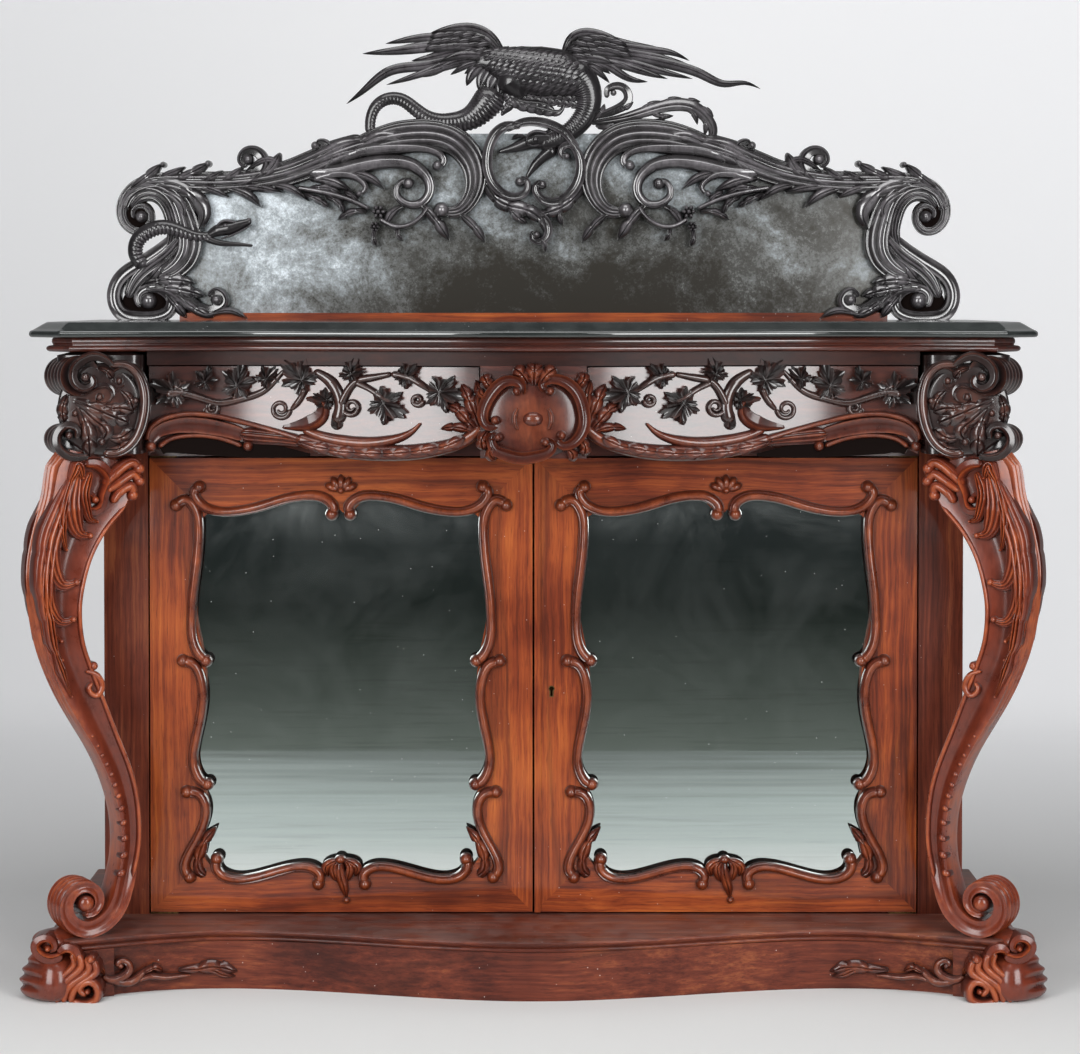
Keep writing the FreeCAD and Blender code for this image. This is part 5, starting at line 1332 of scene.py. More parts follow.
def leg_band(chart):
    """The leg's body: rounded oblong sections along its line, with a hollowed face, a rim and, at the
    foot, reeds."""
    line, half, foot = leg_line()
    foot = foot[:, None]
    side = ways(line)[1]
    reach = np.linspace(-1, 1, BAND_SIDE_STATIONS)
    face = np.linspace(-BAND_FACE, BAND_FACE, BAND_FACE_STATIONS)
    flat = np.ones(BAND_FACE_STATIONS)
    edge = 1 - BAND_ROUND * reach**4
    across = np.concatenate([-edge, face, edge, face[::-1]])[None, :]
    deep = np.concatenate([reach * BAND_CLOSE, flat, -reach * BAND_CLOSE, -flat])[None, :]
    hollow = HOLLOW_DEPTH * np.exp(-(((across + HOLLOW_PLACE) / HOLLOW_HALF) ** 2))
    plain = 1 - foot
    reed = (np.abs(np.cos(deep * TURN)) - LEG_REED_MIDDLE) * LEG_REED_DEPTH
    outside = np.clip(-across * LEG_EDGE_SLOPE - LEG_EDGE_START, 0, 1)
    front = np.clip(across * LEG_EDGE_SLOPE - LEG_EDGE_START, 0, 1)
    knee = np.interp(np.linspace(0, 1, len(line)), KNEE_STATIONS, KNEE_DEPTHS)[:, None]
    carve = (foot * outside + knee * front) * reed
    spots = line[:, None, :] + side[:, None, :] * (half[:, None] * across * (1 + carve))[:, :, None]
    dished = 1 - hollow * (HOLLOW_LEAST + (1 - HOLLOW_LEAST) * plain)
    out = deep * LEG_HALF * dished * (1 + FOOT_SWELL * foot)
    # Lower ridge values in the dished face and higher ones on the rims paint the hollow darker and the rims
    # lighter: partly dirt and wear, partly painted shade and highlight.
    tone = BAND_TONE + RIM_TONE * np.abs(across) ** 3 * plain + foot * FOOT_TONE + carve
    ridge = np.clip(tone - hollow * plain * HOLLOW_TONE, 0, 1)
    return loft(chart(spots[:, :, 0], spots[:, :, 1], out), ridge)


LEG_LOBES = [
    ([(38, 640), (47, 668), (58, 696)], (3, 8, 2)),
    ([(30, 596), (36, 626), (45, 648), (54, 659)], (4, 10, 10, 3)),
    ([(28, 545), (30, 585), (37, 617), (47, 634), (54, 640)], (5, 12, 13, 10, 3)),
    ([(34, 505), (30, 545), (32, 580), (41, 606), (56, 621), (71, 619)], (6, 14, 18, 17, 12, 4)),
    ([(46, 482), (38, 515), (38, 546), (46, 570), (58, 584), (75, 582)], (8, 16, 20, 19, 13, 4)),
    ([(57, 478), (52, 506), (52, 528), (60, 549)], (6, 10, 10, 3)),
    ([(68, 474), (63, 500), (66, 521), (74, 533), (86, 536)], (8, 15, 17, 13, 4)),
    ([(82, 472), (77, 492), (78, 508), (84, 519), (92, 522)], (6, 10, 10, 8, 3)),
    ([(42, 482), (46, 468), (58, 465), (73, 478)], (5, 9, 10, 5)),
]
LEG_FINGERS = [
    ([(98, 486), (115, 470), (130, 464), (137, 470)], 9, 13),
    ([(104, 492), (120, 480), (131, 476), (138, 483)], 8, 12),
    ([(108, 504), (121, 492), (131, 488), (137, 497)], 8, 11),
]
LEG_SCROLL = [
    (74, 464), (92, 466), (104, 480), (103, 495), (94, 509), (82, 511), (77, 502), (84, 494), (91, 499),
]
LEG_KNOB = (106, 667)
LEG_CURL = [(84, 672), (97, 676), (102, 688), (93, 697), (85, 690), (91, 684)]
LEG_BEADS = [
    (80, 738), (84.5, 748), (88.5, 758), (92, 767.5), (95.5, 778), (98.6, 789), (101, 800.5), (103, 813.5),
    (104.5, 828), (105.5, 844), (105, 861), (103, 879),
]
LEG_RIM = [
    (122, 508), (107, 526), (96, 545), (88, 565), (82, 592), (80, 612), (82, 640), (90, 664), (98, 690),
    (105, 712), (115, 742), (125, 772), (132, 800), (135, 830), (134, 858), (128, 884),
]
LOBE_TIP = 0.28
LOBE_RISE = 14
LOBE_TIP_RISE = 9
LOBE_SINK = 14
LOBE_STATIONS = 90
FINGER_SHARES = (0.7, 1, 1, 0.9)
FINGER_KNOB = 1.05
LEG_SINK = 12
LEG_SCROLL_HALVES = (6, 9, 9, 8, 7, 5.5, 4)
LEG_SCROLL_RISE = 13
LEG_SCROLL_EYE = (89, 500)
LEG_EYE = (6, 6)
LEG_RIM_HALVES = (3.2, 3.6, 3.6, 3.6, 3.4)
LEG_RIM_RISE = 5
LEG_KNOB_RADII = (6.5, 6.5)
LEG_KNOB_RISE = 9
LEG_CURL_HALVES = (3, 5, 5.5, 4.5, 3)
LEG_CURL_RISE = 8
LEG_BEAD_SIZES = (2.2, 5.6)
BEAD_STRETCH = 1.35
BEAD_TILT = -0.5
VOLUTE_BOSS = (12, 12)
VOLUTE_BOSS_RISE = 9
VOLUTE_SINK = 30


def leg_carving(chart):
    """Everything carved on one leg, in the leg's own places."""
    face = raised(chart, LEG_FACE)
    rear = raised(chart, LEG_FACE, -1)
    shells = [leg_band(chart)]
    for points, halves in LEG_LOBES:
        tip = max(halves) * LOBE_TIP
        for surface in (face, rear):
            shells += bar(surface, on_leg(points), halves, LOBE_RISE, reeded_top, LOBE_STATIONS, LOBE_SINK)
            shells.append(boss(surface, on_leg(points)[-1], (tip, tip), LOBE_TIP_RISE, sink=LOBE_SINK))
    for points, half, rise in LEG_FINGERS:
        knob = half * FINGER_KNOB
        halves = [half * share for share in FINGER_SHARES]
        shells += bar(face, on_leg(points), halves, rise, quirked_top, sink=LOBE_SINK)
        shells.append(boss(face, on_leg(points)[-1], (knob, knob), rise * EYE_RISE, sink=LOBE_SINK))
    shells += bar(face, on_leg(LEG_SCROLL), LEG_SCROLL_HALVES, LEG_SCROLL_RISE, ogee_top, sink=LEG_SINK)
    shells.append(boss(face, on_leg([LEG_SCROLL_EYE])[0], LEG_EYE, LEG_SCROLL_RISE, sink=LEG_SINK))
    shells += bar(face, on_leg(LEG_RIM), LEG_RIM_HALVES, LEG_RIM_RISE, sink=LEG_SINK)
    shells.append(boss(face, on_leg([LEG_KNOB])[0], LEG_KNOB_RADII, LEG_KNOB_RISE, sink=LEG_SINK))
    shells += bar(face, on_leg(LEG_CURL), LEG_CURL_HALVES, LEG_CURL_RISE, sink=LEG_SINK)
    for spot, size in zip(on_leg(LEG_BEADS), np.linspace(*LEG_BEAD_SIZES, len(LEG_BEADS))):
        shells.append(boss(face, spot, (size * BEAD_STRETCH, size), size, tilt=BEAD_TILT, sink=LEG_SINK,
                           around=12, levels=5))
    for surface in (face, rear):
        shells.append(boss(surface, VOLUTE_EYE, VOLUTE_BOSS, VOLUTE_BOSS_RISE, sink=VOLUTE_SINK))
    return shells


leg_right_face = turned(LEG_MIDDLE, LEG_BEARING)
for side, chart in (("right", leg_right_face), ("left", flipped(leg_right_face))):
    piece(f"leg_{side}_carved", leg_carving(chart), "cabinet", LEG_WOOD, (f"leg_{side}",))


# Corner blocks: two ribbed rolls at the outer end, and a rimmed plaque with leaves and balls on the face

BLOCK_MIDDLE = (640, -214)
BLOCK_BEARING = math.radians(9)
BLOCK_DEPTH = -216
BLOCK_SCALE = (CAMERA_DISTANCE + BLOCK_DEPTH) / FOCAL_PIXELS
BLOCK_RIM = [
    (108, 365), (124, 365), (136, 374), (142, 389), (143, 406), (139, 427), (130, 444), (116, 453),
    (102, 453),
]
BLOCK_SCROLLS = [
    ([(143, 398), (138, 380), (128, 371), (117, 371), (112, 379), (117, 387), (123, 383)],
     (7, 7, 6, 5.5, 5, 4, 3.5)),
    ([(68, 394), (82, 392), (94, 387), (106, 385), (113, 392), (111, 401), (102, 405), (94, 401),
      (95, 394)],
     (3, 6, 6.5, 6, 5.5, 5, 4.5, 4)),
]
ROLL_SCROLLS = [
    ([(112, 365), (104, 359), (94, 356), (84, 359), (76, 366), (73, 376), (77, 385), (86, 388), (93, 382),
      (90, 375)],
     (4, 6, 7, 7.5, 7.5, 7, 6.5, 5, 4)),
    ([(88, 456), (74, 457), (63, 452), (57, 441), (60, 430), (69, 425), (77, 430), (76, 438)],
     (4, 6, 7, 7, 6.5, 5.5, 4)),
]
BLOCK_LEAVES = [
    ([(73, 400), (88, 406), (106, 414), (128, 423)], 19, 4),
    ([(76, 406), (84, 420), (88, 437), (89, 457)], 16, 3),
    ([(80, 406), (94, 420), (105, 431), (99, 443)], 14, 2), ([(100, 405), (111, 408), (122, 408)], 10, 2),
    ([(105, 437), (118, 438), (131, 429)], 12, 2), ([(104, 449), (117, 449), (129, 440)], 10, 2),
    ([(68, 394), (63, 407), (64, 422)], 11, 3), ([(100, 412), (117, 408), (133, 412)], 12, 2),
    ([(119, 390), (128, 399), (132, 411)], 11, 2), ([(96, 368), (106, 371), (112, 379)], 9, 2),
]
BLOCK_BALLS = [((99, 397), 6.5), ((101, 442), 7.0), ((118, 381), 6), ((134, 401), 5.5), ((75, 413), 6)]
ROLL_BALLS = [((85, 377), 7), ((69, 435), 6)]
ROLL_LIFT = 13
UPPER_ROLL = ((648, -228, 897), (690, -146, 895), 29.0, 6)
LOWER_ROLL = ((662, -222, 803), (695, -150, 804), 22.5, 5)
BLOCK_SECTION = [
    (0.0, 779), (0.7, 779.5), (1.0, 784), (1.0, 800), (0.95, 830), (0.93, 855), (0.95, 880), (1.0, 905),
    (1.0, 926), (0.7, 930.5), (0.0, 931),
]
BLOCK_CORE = (626, -168, 62, 40)
BLOCK_AROUND = 48
BLOCK_SQUARE = 0.4
BLOCK_RIDGE = 0.2
BLOCK_SINK = 16
BLOCK_RIM_HALVES = (6, 8, 9, 9, 8, 6)
BLOCK_RIM_RISE = 14
BLOCK_SCROLL_RISE = 13
BLOCK_LEAF_RISE = 12
BLOCK_LEAF_SINK = 18
BLOCK_BALL_RISE = 2.2
DISH_PLACES = (0.12, 0.11, 0.08, 0.03)
DISH_REACHES = (0.05, 0.4, 0.7, 0.9)
ROLL_STATIONS = 73
ROLL_AROUND = 44
ROLL_CLOSE = 0.18
ROLL_LEAST = 0.002
ROLL_SCROLL_RISE = 8
ROLL_BALL_RISE = 10
ROLL_BALL_SINK = 12
HOOP_FLOOR = 0.9
HOOP_RISE = 0.1
HOOP_TONE = 9
PLAQUE_MIDDLE = (99, 409)
PLAQUE_RADII = (60, 66)
PLAQUE_RISE = 6
PLAQUE_SINK = 20


def on_block(points):
    """Places on the block's face, from given pixels of the left block."""
    spots = np.asarray(points, float)
    across = (MIDDLE_COLUMN - spots[:, 0]) * BLOCK_SCALE
    along = (across - BLOCK_MIDDLE[0]) / math.cos(BLOCK_BEARING)
    return np.stack([along, CAMERA_HEIGHT - (spots[:, 1] - HORIZON_ROW) * BLOCK_SCALE], axis=1)


def rounded_ring(count, square):
    """Cosines and sines about a ring, raised to a power so that the ring is a rounded oblong."""
    angle = np.linspace(0, TURN, count, endpoint=False)
    return [np.sign(value) * np.abs(value) ** square for value in (np.cos(angle), np.sin(angle))]


def ribbed_roll(side, front, rear, radius, ribs):
    """A roll with hoops: circles about a slanting level axis whose radius swells at each hoop, with a
    dished front."""
    share = np.concatenate([DISH_PLACES, np.linspace(0, 1, ROLL_STATIONS)])
    dish = np.concatenate([DISH_REACHES, np.ones(ROLL_STATIONS)])
    hoop = HOOP_FLOOR + HOOP_RISE * np.abs(np.cos(share * ribs * math.pi))
    past = np.clip(share * 2 - (2 - ROLL_CLOSE), 0, 1)
    close = np.sqrt(np.clip(1 - past**2 / ROLL_CLOSE**2, ROLL_LEAST, 1))
    reach = radius * hoop * close * dish
    start = np.asarray(front, float)
    axis = np.asarray(rear, float) - start
    middle = start[None, :] + share[:, None] * axis[None, :]
    axis = axis / np.linalg.norm(axis)
    level = np.array([axis[1], -axis[0], 0.0])
    level /= np.linalg.norm(level)
    rise = np.cross(axis, level)
    angle = np.linspace(0, TURN, ROLL_AROUND, endpoint=False)
    ring = np.cos(angle)[:, None] * level[None, :] + np.sin(angle)[:, None] * rise[None, :]
    rings = middle[:, None, :] + reach[:, None, None] * ring[None, :, :]
    ridge = np.tile(np.clip((hoop - HOOP_FLOOR) * HOOP_TONE, 0, 1)[:, None], (1, ROLL_AROUND))
    return loft(rings * np.array([side, 1.0, 1.0]), ridge)


def block_core(side):
    """The block behind the carving: rounded oblong plans that draw in slightly at the waist."""
    wide, deep = rounded_ring(BLOCK_AROUND, BLOCK_SQUARE)
    section = np.asarray(BLOCK_SECTION)
    x = BLOCK_CORE[0] + section[:, :1] * BLOCK_CORE[2] * wide[None, :]
    y = BLOCK_CORE[1] + section[:, :1] * BLOCK_CORE[3] * deep[None, :]
    z = np.tile(section[:, 1:], (1, BLOCK_AROUND))
    return loft(np.stack([x * side, y, z], axis=-1), np.full(x.shape, BLOCK_RIDGE))


def block_carving(side, chart):
    """One corner block: its core and rolls, the rimmed plaque with scrolls, leaves and balls, and the
    rolls' ends."""
    ends = raised(chart, ROLL_LIFT)
    shells = [block_core(side)] + [ribbed_roll(side, *roll) for roll in (UPPER_ROLL, LOWER_ROLL)]
    shells.append(boss(chart, on_block([PLAQUE_MIDDLE])[0], PLAQUE_RADII, PLAQUE_RISE, sink=PLAQUE_SINK,
                       around=48, levels=9))
    shells += bar(chart, on_block(BLOCK_RIM), BLOCK_RIM_HALVES, BLOCK_RIM_RISE, quirked_top,
                  sink=BLOCK_SINK)
    for points, halves in BLOCK_SCROLLS:
        shells += bar(chart, on_block(points), halves, BLOCK_SCROLL_RISE, ogee_top, sink=BLOCK_SINK)
    for points, half, lobes in BLOCK_LEAVES:
        shells += leaf(chart, on_block(points), half, BLOCK_LEAF_RISE, lobes=lobes, cut=0.3, lean=0.7,
                       tip_lift=3, sink=BLOCK_LEAF_SINK, root=0.45)
    for spot, size in BLOCK_BALLS:
        shells.append(boss(chart, on_block([spot])[0], (size, size), size * BLOCK_BALL_RISE,
                           sink=BLOCK_SINK))
    for points, halves in ROLL_SCROLLS:
        shells += bar(ends, on_block(points), halves, ROLL_SCROLL_RISE, ogee_top, sink=BLOCK_SINK)
    for spot, size in ROLL_BALLS:
        shells.append(boss(ends, on_block([spot])[0], (size, size), ROLL_BALL_RISE, sink=ROLL_BALL_SINK))
    return shells


block_right_face = turned(BLOCK_MIDDLE, BLOCK_BEARING)
for side, hand, chart in (("right", 1, block_right_face), ("left", -1, flipped(block_right_face))):
    piece(f"corner_block_{side}_carved", block_carving(hand, chart), "cabinet", BLOCK_WOOD,
          (f"corner_block_{side}",))


# Corner feet: a swelling claw-like scroll with gouges, knobs on top, and a reeded wing with a volute

FOOT_MIDDLE = (693, -203)
FOOT_BEARING = math.radians(40)
FOOT_LEVELS = [
    (0.0, 27, 24), (1.0, 32, 35), (6, 40, 42), (18, 45, 46), (34, 43, 45), (48, 38, 40), (58, 31, 33),
    (66, 26, 28), (76, 28, 29), (86, 28, 28), (93, 22, 22), (96, 12, 10),
]
FOOT_TAIL = 34
FOOT_DEPTH = -236
FOOT_SCALE = (CAMERA_DISTANCE + FOOT_DEPTH) / FOCAL_PIXELS
FOOT_WING = [
    ([(91, 963), (94, 974), (84, 983), (73, 992), (68, 1006)], 6.5),
    ([(84, 960), (87, 972), (77, 982), (66, 991), (61, 1006)], 7),
    ([(76, 957), (79, 969), (70, 979), (59, 990), (54, 1006)], 7),
    ([(69, 956), (72, 966), (63, 977), (52, 988), (47, 1005)], 6),
]
FOOT_VOLUTE = [(70, 1004), (82, 1007), (94, 1002), (95, 990), (86, 985), (78, 992), (84, 999)]
FOOT_CURLS = [
    ([(60, 958), (50, 962), (38, 958), (33, 949), (39, 942), (49, 943), (52, 951), (46, 954)],
     (6, 8, 8.5, 8, 7, 6, 5, 4)),
    ([(56, 957), (63, 951), (72, 953), (76, 962), (72, 972)], (5, 7, 7, 6, 3)),
]
FOOT_KNOBS = [((46, 951), 5), ((89, 962), 7)]
FOOT_STATIONS = 60
FOOT_AROUND = 64
FOOT_SQUARE = 0.75
FOOT_RIDGE = 0.62
FOOT_SINK = 30
FOOT_WING_SHARES = (0.8, 1, 1, 0.8)
FOOT_WING_RISE = 9
FOOT_VOLUTE_HALVES = (4, 6, 7, 6, 4.5)
FOOT_VOLUTE_RISE = 11
FOOT_VOLUTE_EYE = (85.5, 995)
FOOT_EYE = (4.5, 4.5)
FOOT_CURL_RISE = 13
FOOT_KNOB_RISE = 14
GOUGE_TURN = math.radians(48)
GOUGE_HEIGHTS = (12, 27, 42)
GOUGE_CURVE = 9
GOUGE_HALF = 4.6
GOUGE_REACH = 2
GOUGE_FADE = 0.5
GOUGE_DEPTH = 0.15
GOUGE_TONE = 0.5


def on_foot(points):
    """Places before the foot, from given pixels of the left foot."""
    spots = np.asarray(points, float)
    across = (MIDDLE_COLUMN - spots[:, 0]) * FOOT_SCALE
    return np.stack([across, CAMERA_HEIGHT - (spots[:, 1] - HORIZON_ROW) * FOOT_SCALE], axis=1)


def foot_claw(side):
    """The foot's body: rounded plans set out along the corner's bearing, their reach changing with
    height, with three curved gouges across the outer side."""
    fine = through(FOOT_LEVELS, FOOT_STATIONS)
    fine[:, 0] = np.clip(fine[:, 0], 0, FOOT_LEVELS[-1][0])
    angle = np.linspace(0, TURN, FOOT_AROUND, endpoint=False)
    deep, wide = rounded_ring(FOOT_AROUND, FOOT_SQUARE)
    half = (fine[:, 1] + FOOT_TAIL) / 2
    middle = (fine[:, 1] - FOOT_TAIL) / 2
    gouge = np.zeros((FOOT_STATIONS, FOOT_AROUND))
    reach = np.clip(np.cos(angle - GOUGE_TURN) * GOUGE_REACH - GOUGE_FADE, 0, 1)
    for height in GOUGE_HEIGHTS:
        place = fine[:, :1] - height - GOUGE_CURVE * np.cos(angle)[None, :]
        gouge += np.exp(-((place / GOUGE_HALF) ** 2)) * reach[None, :]
    along = middle[:, None] + half[:, None] * deep[None, :] * (1 - GOUGE_DEPTH * gouge)
    over = fine[:, 2:] * wide[None, :] * (1 - GOUGE_DEPTH * gouge)
    x = FOOT_MIDDLE[0] + along * math.sin(FOOT_BEARING) + over * math.cos(FOOT_BEARING)
    y = FOOT_MIDDLE[1] - along * math.cos(FOOT_BEARING) + over * math.sin(FOOT_BEARING)
    z = np.tile(fine[:, :1], (1, FOOT_AROUND))
    # The gouges' lower ridge values paint them darker: partly dirt, partly painted shade.
    return loft(np.stack([x * side, y, z], axis=-1), np.clip(FOOT_RIDGE - GOUGE_TONE * gouge, 0, 1))


def foot_carving(side, chart):
    """One foot: its body, the reeded wing with its volute, and the curls and knobs on top."""
    shells = [foot_claw(side)]
    for points, half in FOOT_WING:
        halves = [half * share for share in FOOT_WING_SHARES]
        shells += bar(chart, on_foot(points), halves, FOOT_WING_RISE, sink=FOOT_SINK)
    shells += bar(chart, on_foot(FOOT_VOLUTE), FOOT_VOLUTE_HALVES, FOOT_VOLUTE_RISE, sink=FOOT_SINK)
    shells.append(boss(chart, on_foot([FOOT_VOLUTE_EYE])[0], FOOT_EYE, FOOT_WING_RISE, sink=FOOT_SINK))
    for points, halves in FOOT_CURLS:
        shells += bar(chart, on_foot(points), halves, FOOT_CURL_RISE, ogee_top, sink=FOOT_SINK)
    for spot, size in FOOT_KNOBS:
        shells.append(boss(chart, on_foot([spot])[0], (size, size), FOOT_KNOB_RISE, sink=FOOT_SINK))
    return shells


foot_right_face = upright(FOOT_DEPTH)
for side, hand, chart in (("right", 1, foot_right_face), ("left", -1, flipped(foot_right_face))):
    piece(f"foot_{side}_carved", foot_carving(hand, chart), "cabinet", LEG_WOOD,
          (f"foot_{side}",))


# Sprays of acanthus on the plinth

SPRAY_SWELL = 1.3
SPRAY_STEM_RISE = 9
SPRAY_LEAF_RISE = 10
SPRAY_BERRY = (118, 969)
SPRAY_BERRY_RADII = (4.5, 4.5)
SPRAY_BERRY_RISE = 7
RETURN_RUN = (606, 658)
RETURN_MIDDLE = 35
RETURN_HALF = 34.8
RETURN_STATIONS = 24
RETURN_SINK = 14
SPRAY_STEMS = [
    ([(100, 979), (108, 983), (120, 980), (127, 972), (124, 965), (117, 965), (115, 970)],
     (3, 5, 5.5, 5, 4, 3)),
    ([(104, 982), (116, 985), (130, 984), (139, 977), (146, 971)], (3, 5, 5.5, 4.5, 2.5)),
    ([(136, 984), (148, 979), (162, 980), (176, 979), (189, 978)], (2.5, 4.5, 4, 3, 1.6)),
]
SPRAY_LEAVES = [
    ([(176, 973), (197, 971), (214, 969), (236, 974)], 10, 3),
    ([(196, 973), (212, 973), (222, 977), (234, 979)], 6, 1),
    ([(138, 977), (147, 972), (153, 970), (161, 974)], 6, 2), ([(102, 979), (98, 972), (95, 968)], 5, 1),
]


def plinth_place(points):
    """Places on the right half of the plinth's front, from given pixels of its left half."""
    return seen_on_front(other_side(points), PLINTH_INSET)


def plinth_spray(chart):
    """One spray: curling stems, leaves along them and a berry."""
    shells = []
    for points, halves in SPRAY_STEMS:
        broad = [half * SPRAY_SWELL for half in halves]
        shells += bar(chart, plinth_place(points), broad, SPRAY_STEM_RISE, quirked_top)
    for points, half, lobes in SPRAY_LEAVES:
        shells += leaf(chart, plinth_place(points), half * SPRAY_SWELL, SPRAY_LEAF_RISE, lobes=lobes,
                       cut=0.3, tip_lift=2)
    shells.append(boss(chart, plinth_place([SPRAY_BERRY])[0], SPRAY_BERRY_RADII, SPRAY_BERRY_RISE))
    return shells


def plinth_return(chart):
    """The plinth's face carried on to the corner foot: a flat strip along the serpentine."""
    along = np.linspace(*RETURN_RUN, RETURN_STATIONS)
    line = np.stack([along, np.full(RETURN_STATIONS, RETURN_MIDDLE)], axis=1)
    halves = np.full(RETURN_STATIONS, RETURN_HALF)
    return [strip(chart, line, halves, np.zeros(RETURN_STATIONS), top=np.ones_like, sink=RETURN_SINK)]


spray_right_face = serpentine(PLINTH_INSET)
for side, chart in (("right", spray_right_face), ("left", flipped(spray_right_face))):
    piece(f"plinth_spray_{side}", plinth_spray(chart), "cabinet", CARVED_WOOD)
    piece(f"plinth_return_{side}", plinth_return(chart), "cabinet", PLINTH_WOOD)


# Frieze: an arched band, reeds, a leafy swag and a vine on each drawer front

FRIEZE_RISE = 13
ARCH_BAND = [(150, 443), (155, 434), (166, 428), (184, 425), (204, 426), (226, 430), (246, 436)]
ARCH_BEAD = [(146, 440), (148, 430), (160, 420), (185, 414), (215, 416), (246, 423), (276, 431), (302, 439)]
ARCH_INNER = [(158, 447), (168, 440), (184, 436), (206, 436), (226, 440), (242, 446)]
FRIEZE_REEDS = [(240, 434), (262, 436), (282, 438), (302, 441)]
SPANDREL_HALVES = (5, 11, 13.6, 13.6, 11.5, 11.5, 10, 6, 2)
SWAG = [(296, 438), (322, 446), (349, 451), (382, 453), (415, 452), (445, 447), (467, 439), (482, 427)]
SWAG_LEAVES = [
    [(300, 441), (316, 446), (334, 449)], [(322, 447), (340, 451), (360, 452)],
    [(348, 451), (368, 453), (388, 453)], [(376, 453), (396, 453), (416, 451)],
    [(404, 452), (424, 450), (443, 446)], [(432, 449), (450, 445), (466, 437)],
]
SWAG_HORN = [(303, 429), (320, 436), (342, 441), (368, 443), (392, 440), (410, 433), (421, 423)]
HOOK = [(282, 427), (303, 425), (318, 419), (323, 410), (318, 401), (306, 399)]
FRIEZE_BARS = [
    (ARCH_BAND, (7, 11, 13, 13, 12, 11), 9, cove_top, 90),
    (ARCH_BEAD, (4.2, 4.6, 4.6, 4.4, 4.4, 5), FRIEZE_RISE, round_top, SCROLL_STATIONS),
    (ARCH_INNER, (4.2, 4, 4, 4, 4.2), FRIEZE_RISE * 0.8, round_top, LINE_STATIONS),
    (FRIEZE_REEDS, (14, 13.5, 12, 9), 11, reeded_top, 60),
    (SWAG, (10, 11.5, 12, 12, 11.5, 10, 8), FRIEZE_RISE, round_top, SCROLL_STATIONS),
    (SWAG_HORN, (6, 8.5, 9.5, 9.5, 8.5, 6, 2), 13, round_top, 90),
    (HOOK, (3, 8, 13, 12, 8, 3), 15, ogee_top, LINE_STATIONS),
]
ARCH_BOSSES = [(150, 446), (248, 446)]
ARCH_BOSS = (8, 8)
SWAG_LEAF_HALF = 11.5
SWAG_LEAF_RISE = 7
SWAG_LEAF_LIFT = 9.5
CLUSTER_RISE = 11
SPANDREL_STATIONS = 48
SPANDREL_RISE = 4.0
SPANDREL_SINK = 1
VINE_STEM_SHARES = (2.6, 2.2, 2.2, 1.4)
VINE_STEM_RISE = 12
VINE_STATIONS = 64
VINE_LEAF_RISE = 8
VINE_LEAF_LIFT = 4.0
VINE_LEAF_STRETCH = 0.95
VINE_ROOT = [(337, 430), (337, 420), (337, 410)]
VINE_ROOT_HALVES = (11, 9, 7)
TENDRIL_TURNS = 1.5
TENDRIL_STATIONS = 40
TENDRIL_SHRINK = 0.75
TENDRIL_HALVES = (4.2, 4.2, 3.8, 2.6)
TENDRIL_RISE = 9
# The line of the painted shade strip under the arch.
SPANDREL = [
    (161, 451), (168, 447.8), (184, 445.8), (206, 445.8), (226, 447.8), (243, 449.5), (262, 450.5),
    (285, 452.5), (310, 455),
]
CLUSTER_LEAVES = [
    ([(482, 430), (475, 412), (468, 396), (462, 384)], 13),
    ([(482, 428), (481, 410), (480, 394), (476, 380)], 11),
    ([(478, 432), (466, 418), (457, 409), (447, 405)], 12),
    ([(480, 436), (466, 429), (452, 427), (441, 429)], 9),
]
VINE_STEMS = [
    ([(164, 395), (176, 393), (190, 395), (206, 400), (220, 403), (240, 399), (262, 392), (276, 380),
      (285, 370)],
     2.8),
    ([(337, 423), (341, 408), (338, 393), (330, 381), (314, 371)], 4.4),
    ([(341, 406), (347, 393), (356, 382), (370, 378), (392, 374)], 2.8),
    ([(306, 388), (300, 400), (291, 410)], 2.4),
    ([(356, 382), (372, 390), (384, 398), (396, 404)], 2.2),
    ([(392, 374), (410, 378), (424, 386), (434, 393)], 2.4),
    ([(234, 400), (236, 392), (237, 386)], 2.0),
    ([(184, 394), (178, 388), (172, 386)], 2.0),
]
VINE_LEAVES = [
    ((174, 392), 40, 2.7), ((204, 382), 27, 1.2), ((237, 386), 40, 1.3), ((266, 379), 26, 0.8),
    ((303, 380), 42, 2.4), ((384, 403), 41, -0.5), ((352, 374), 28, 1.2), ((405, 377), 29, 0.7),
    ((440, 392), 41, -0.2), ((328, 400), 24, 2.8),
]
TENDRILS = [((281, 409), 10, 1), ((352, 407), 9, -1), ((212, 408), 7, -1), ((418, 400), 6, 1)]


def frieze_place(points):
    """Places on the right drawer front, from given pixels of the left one."""
    return seen_on_front(other_side(points), FRIEZE_INSET)


def frieze_swag(chart):
    """The reddish band, reeds and swag along the lower edge."""
    shells = []
    for points, halves, rise, top, count in FRIEZE_BARS:
        shells += bar(chart, frieze_place(points), halves, rise, top, count)
    for spot in ARCH_BOSSES:
        shells.append(boss(chart, frieze_place([spot])[0], ARCH_BOSS, FRIEZE_RISE * EYE_RISE))
    for points in SWAG_LEAVES:
        shells += leaf(chart, frieze_place(points), SWAG_LEAF_HALF, SWAG_LEAF_RISE, lobes=2, cut=0.28,
                       lean=0.8, lift=SWAG_LEAF_LIFT, tip_lift=3)
    for points, half in CLUSTER_LEAVES:
        shells += leaf(chart, frieze_place(points), half, CLUSTER_RISE, lobes=3, cut=0.34, lean=0.6,
                       tip_lift=3, root=0.5)
    return shells


def frieze_shade_paint(chart):
    """Painted shade under the arch: a flat near-black strip whose half widths are spread evenly along it."""
    line = through(frieze_place(SPANDREL), SPANDREL_STATIONS)
    share = np.linspace(0, 1, SPANDREL_STATIONS)
    halves = np.interp(share, np.linspace(0, 1, len(SPANDREL_HALVES)), SPANDREL_HALVES)
    rises = np.full(SPANDREL_STATIONS, SPANDREL_RISE)
    return [strip(chart, line, halves, rises, top=np.ones_like, sink=SPANDREL_SINK)]


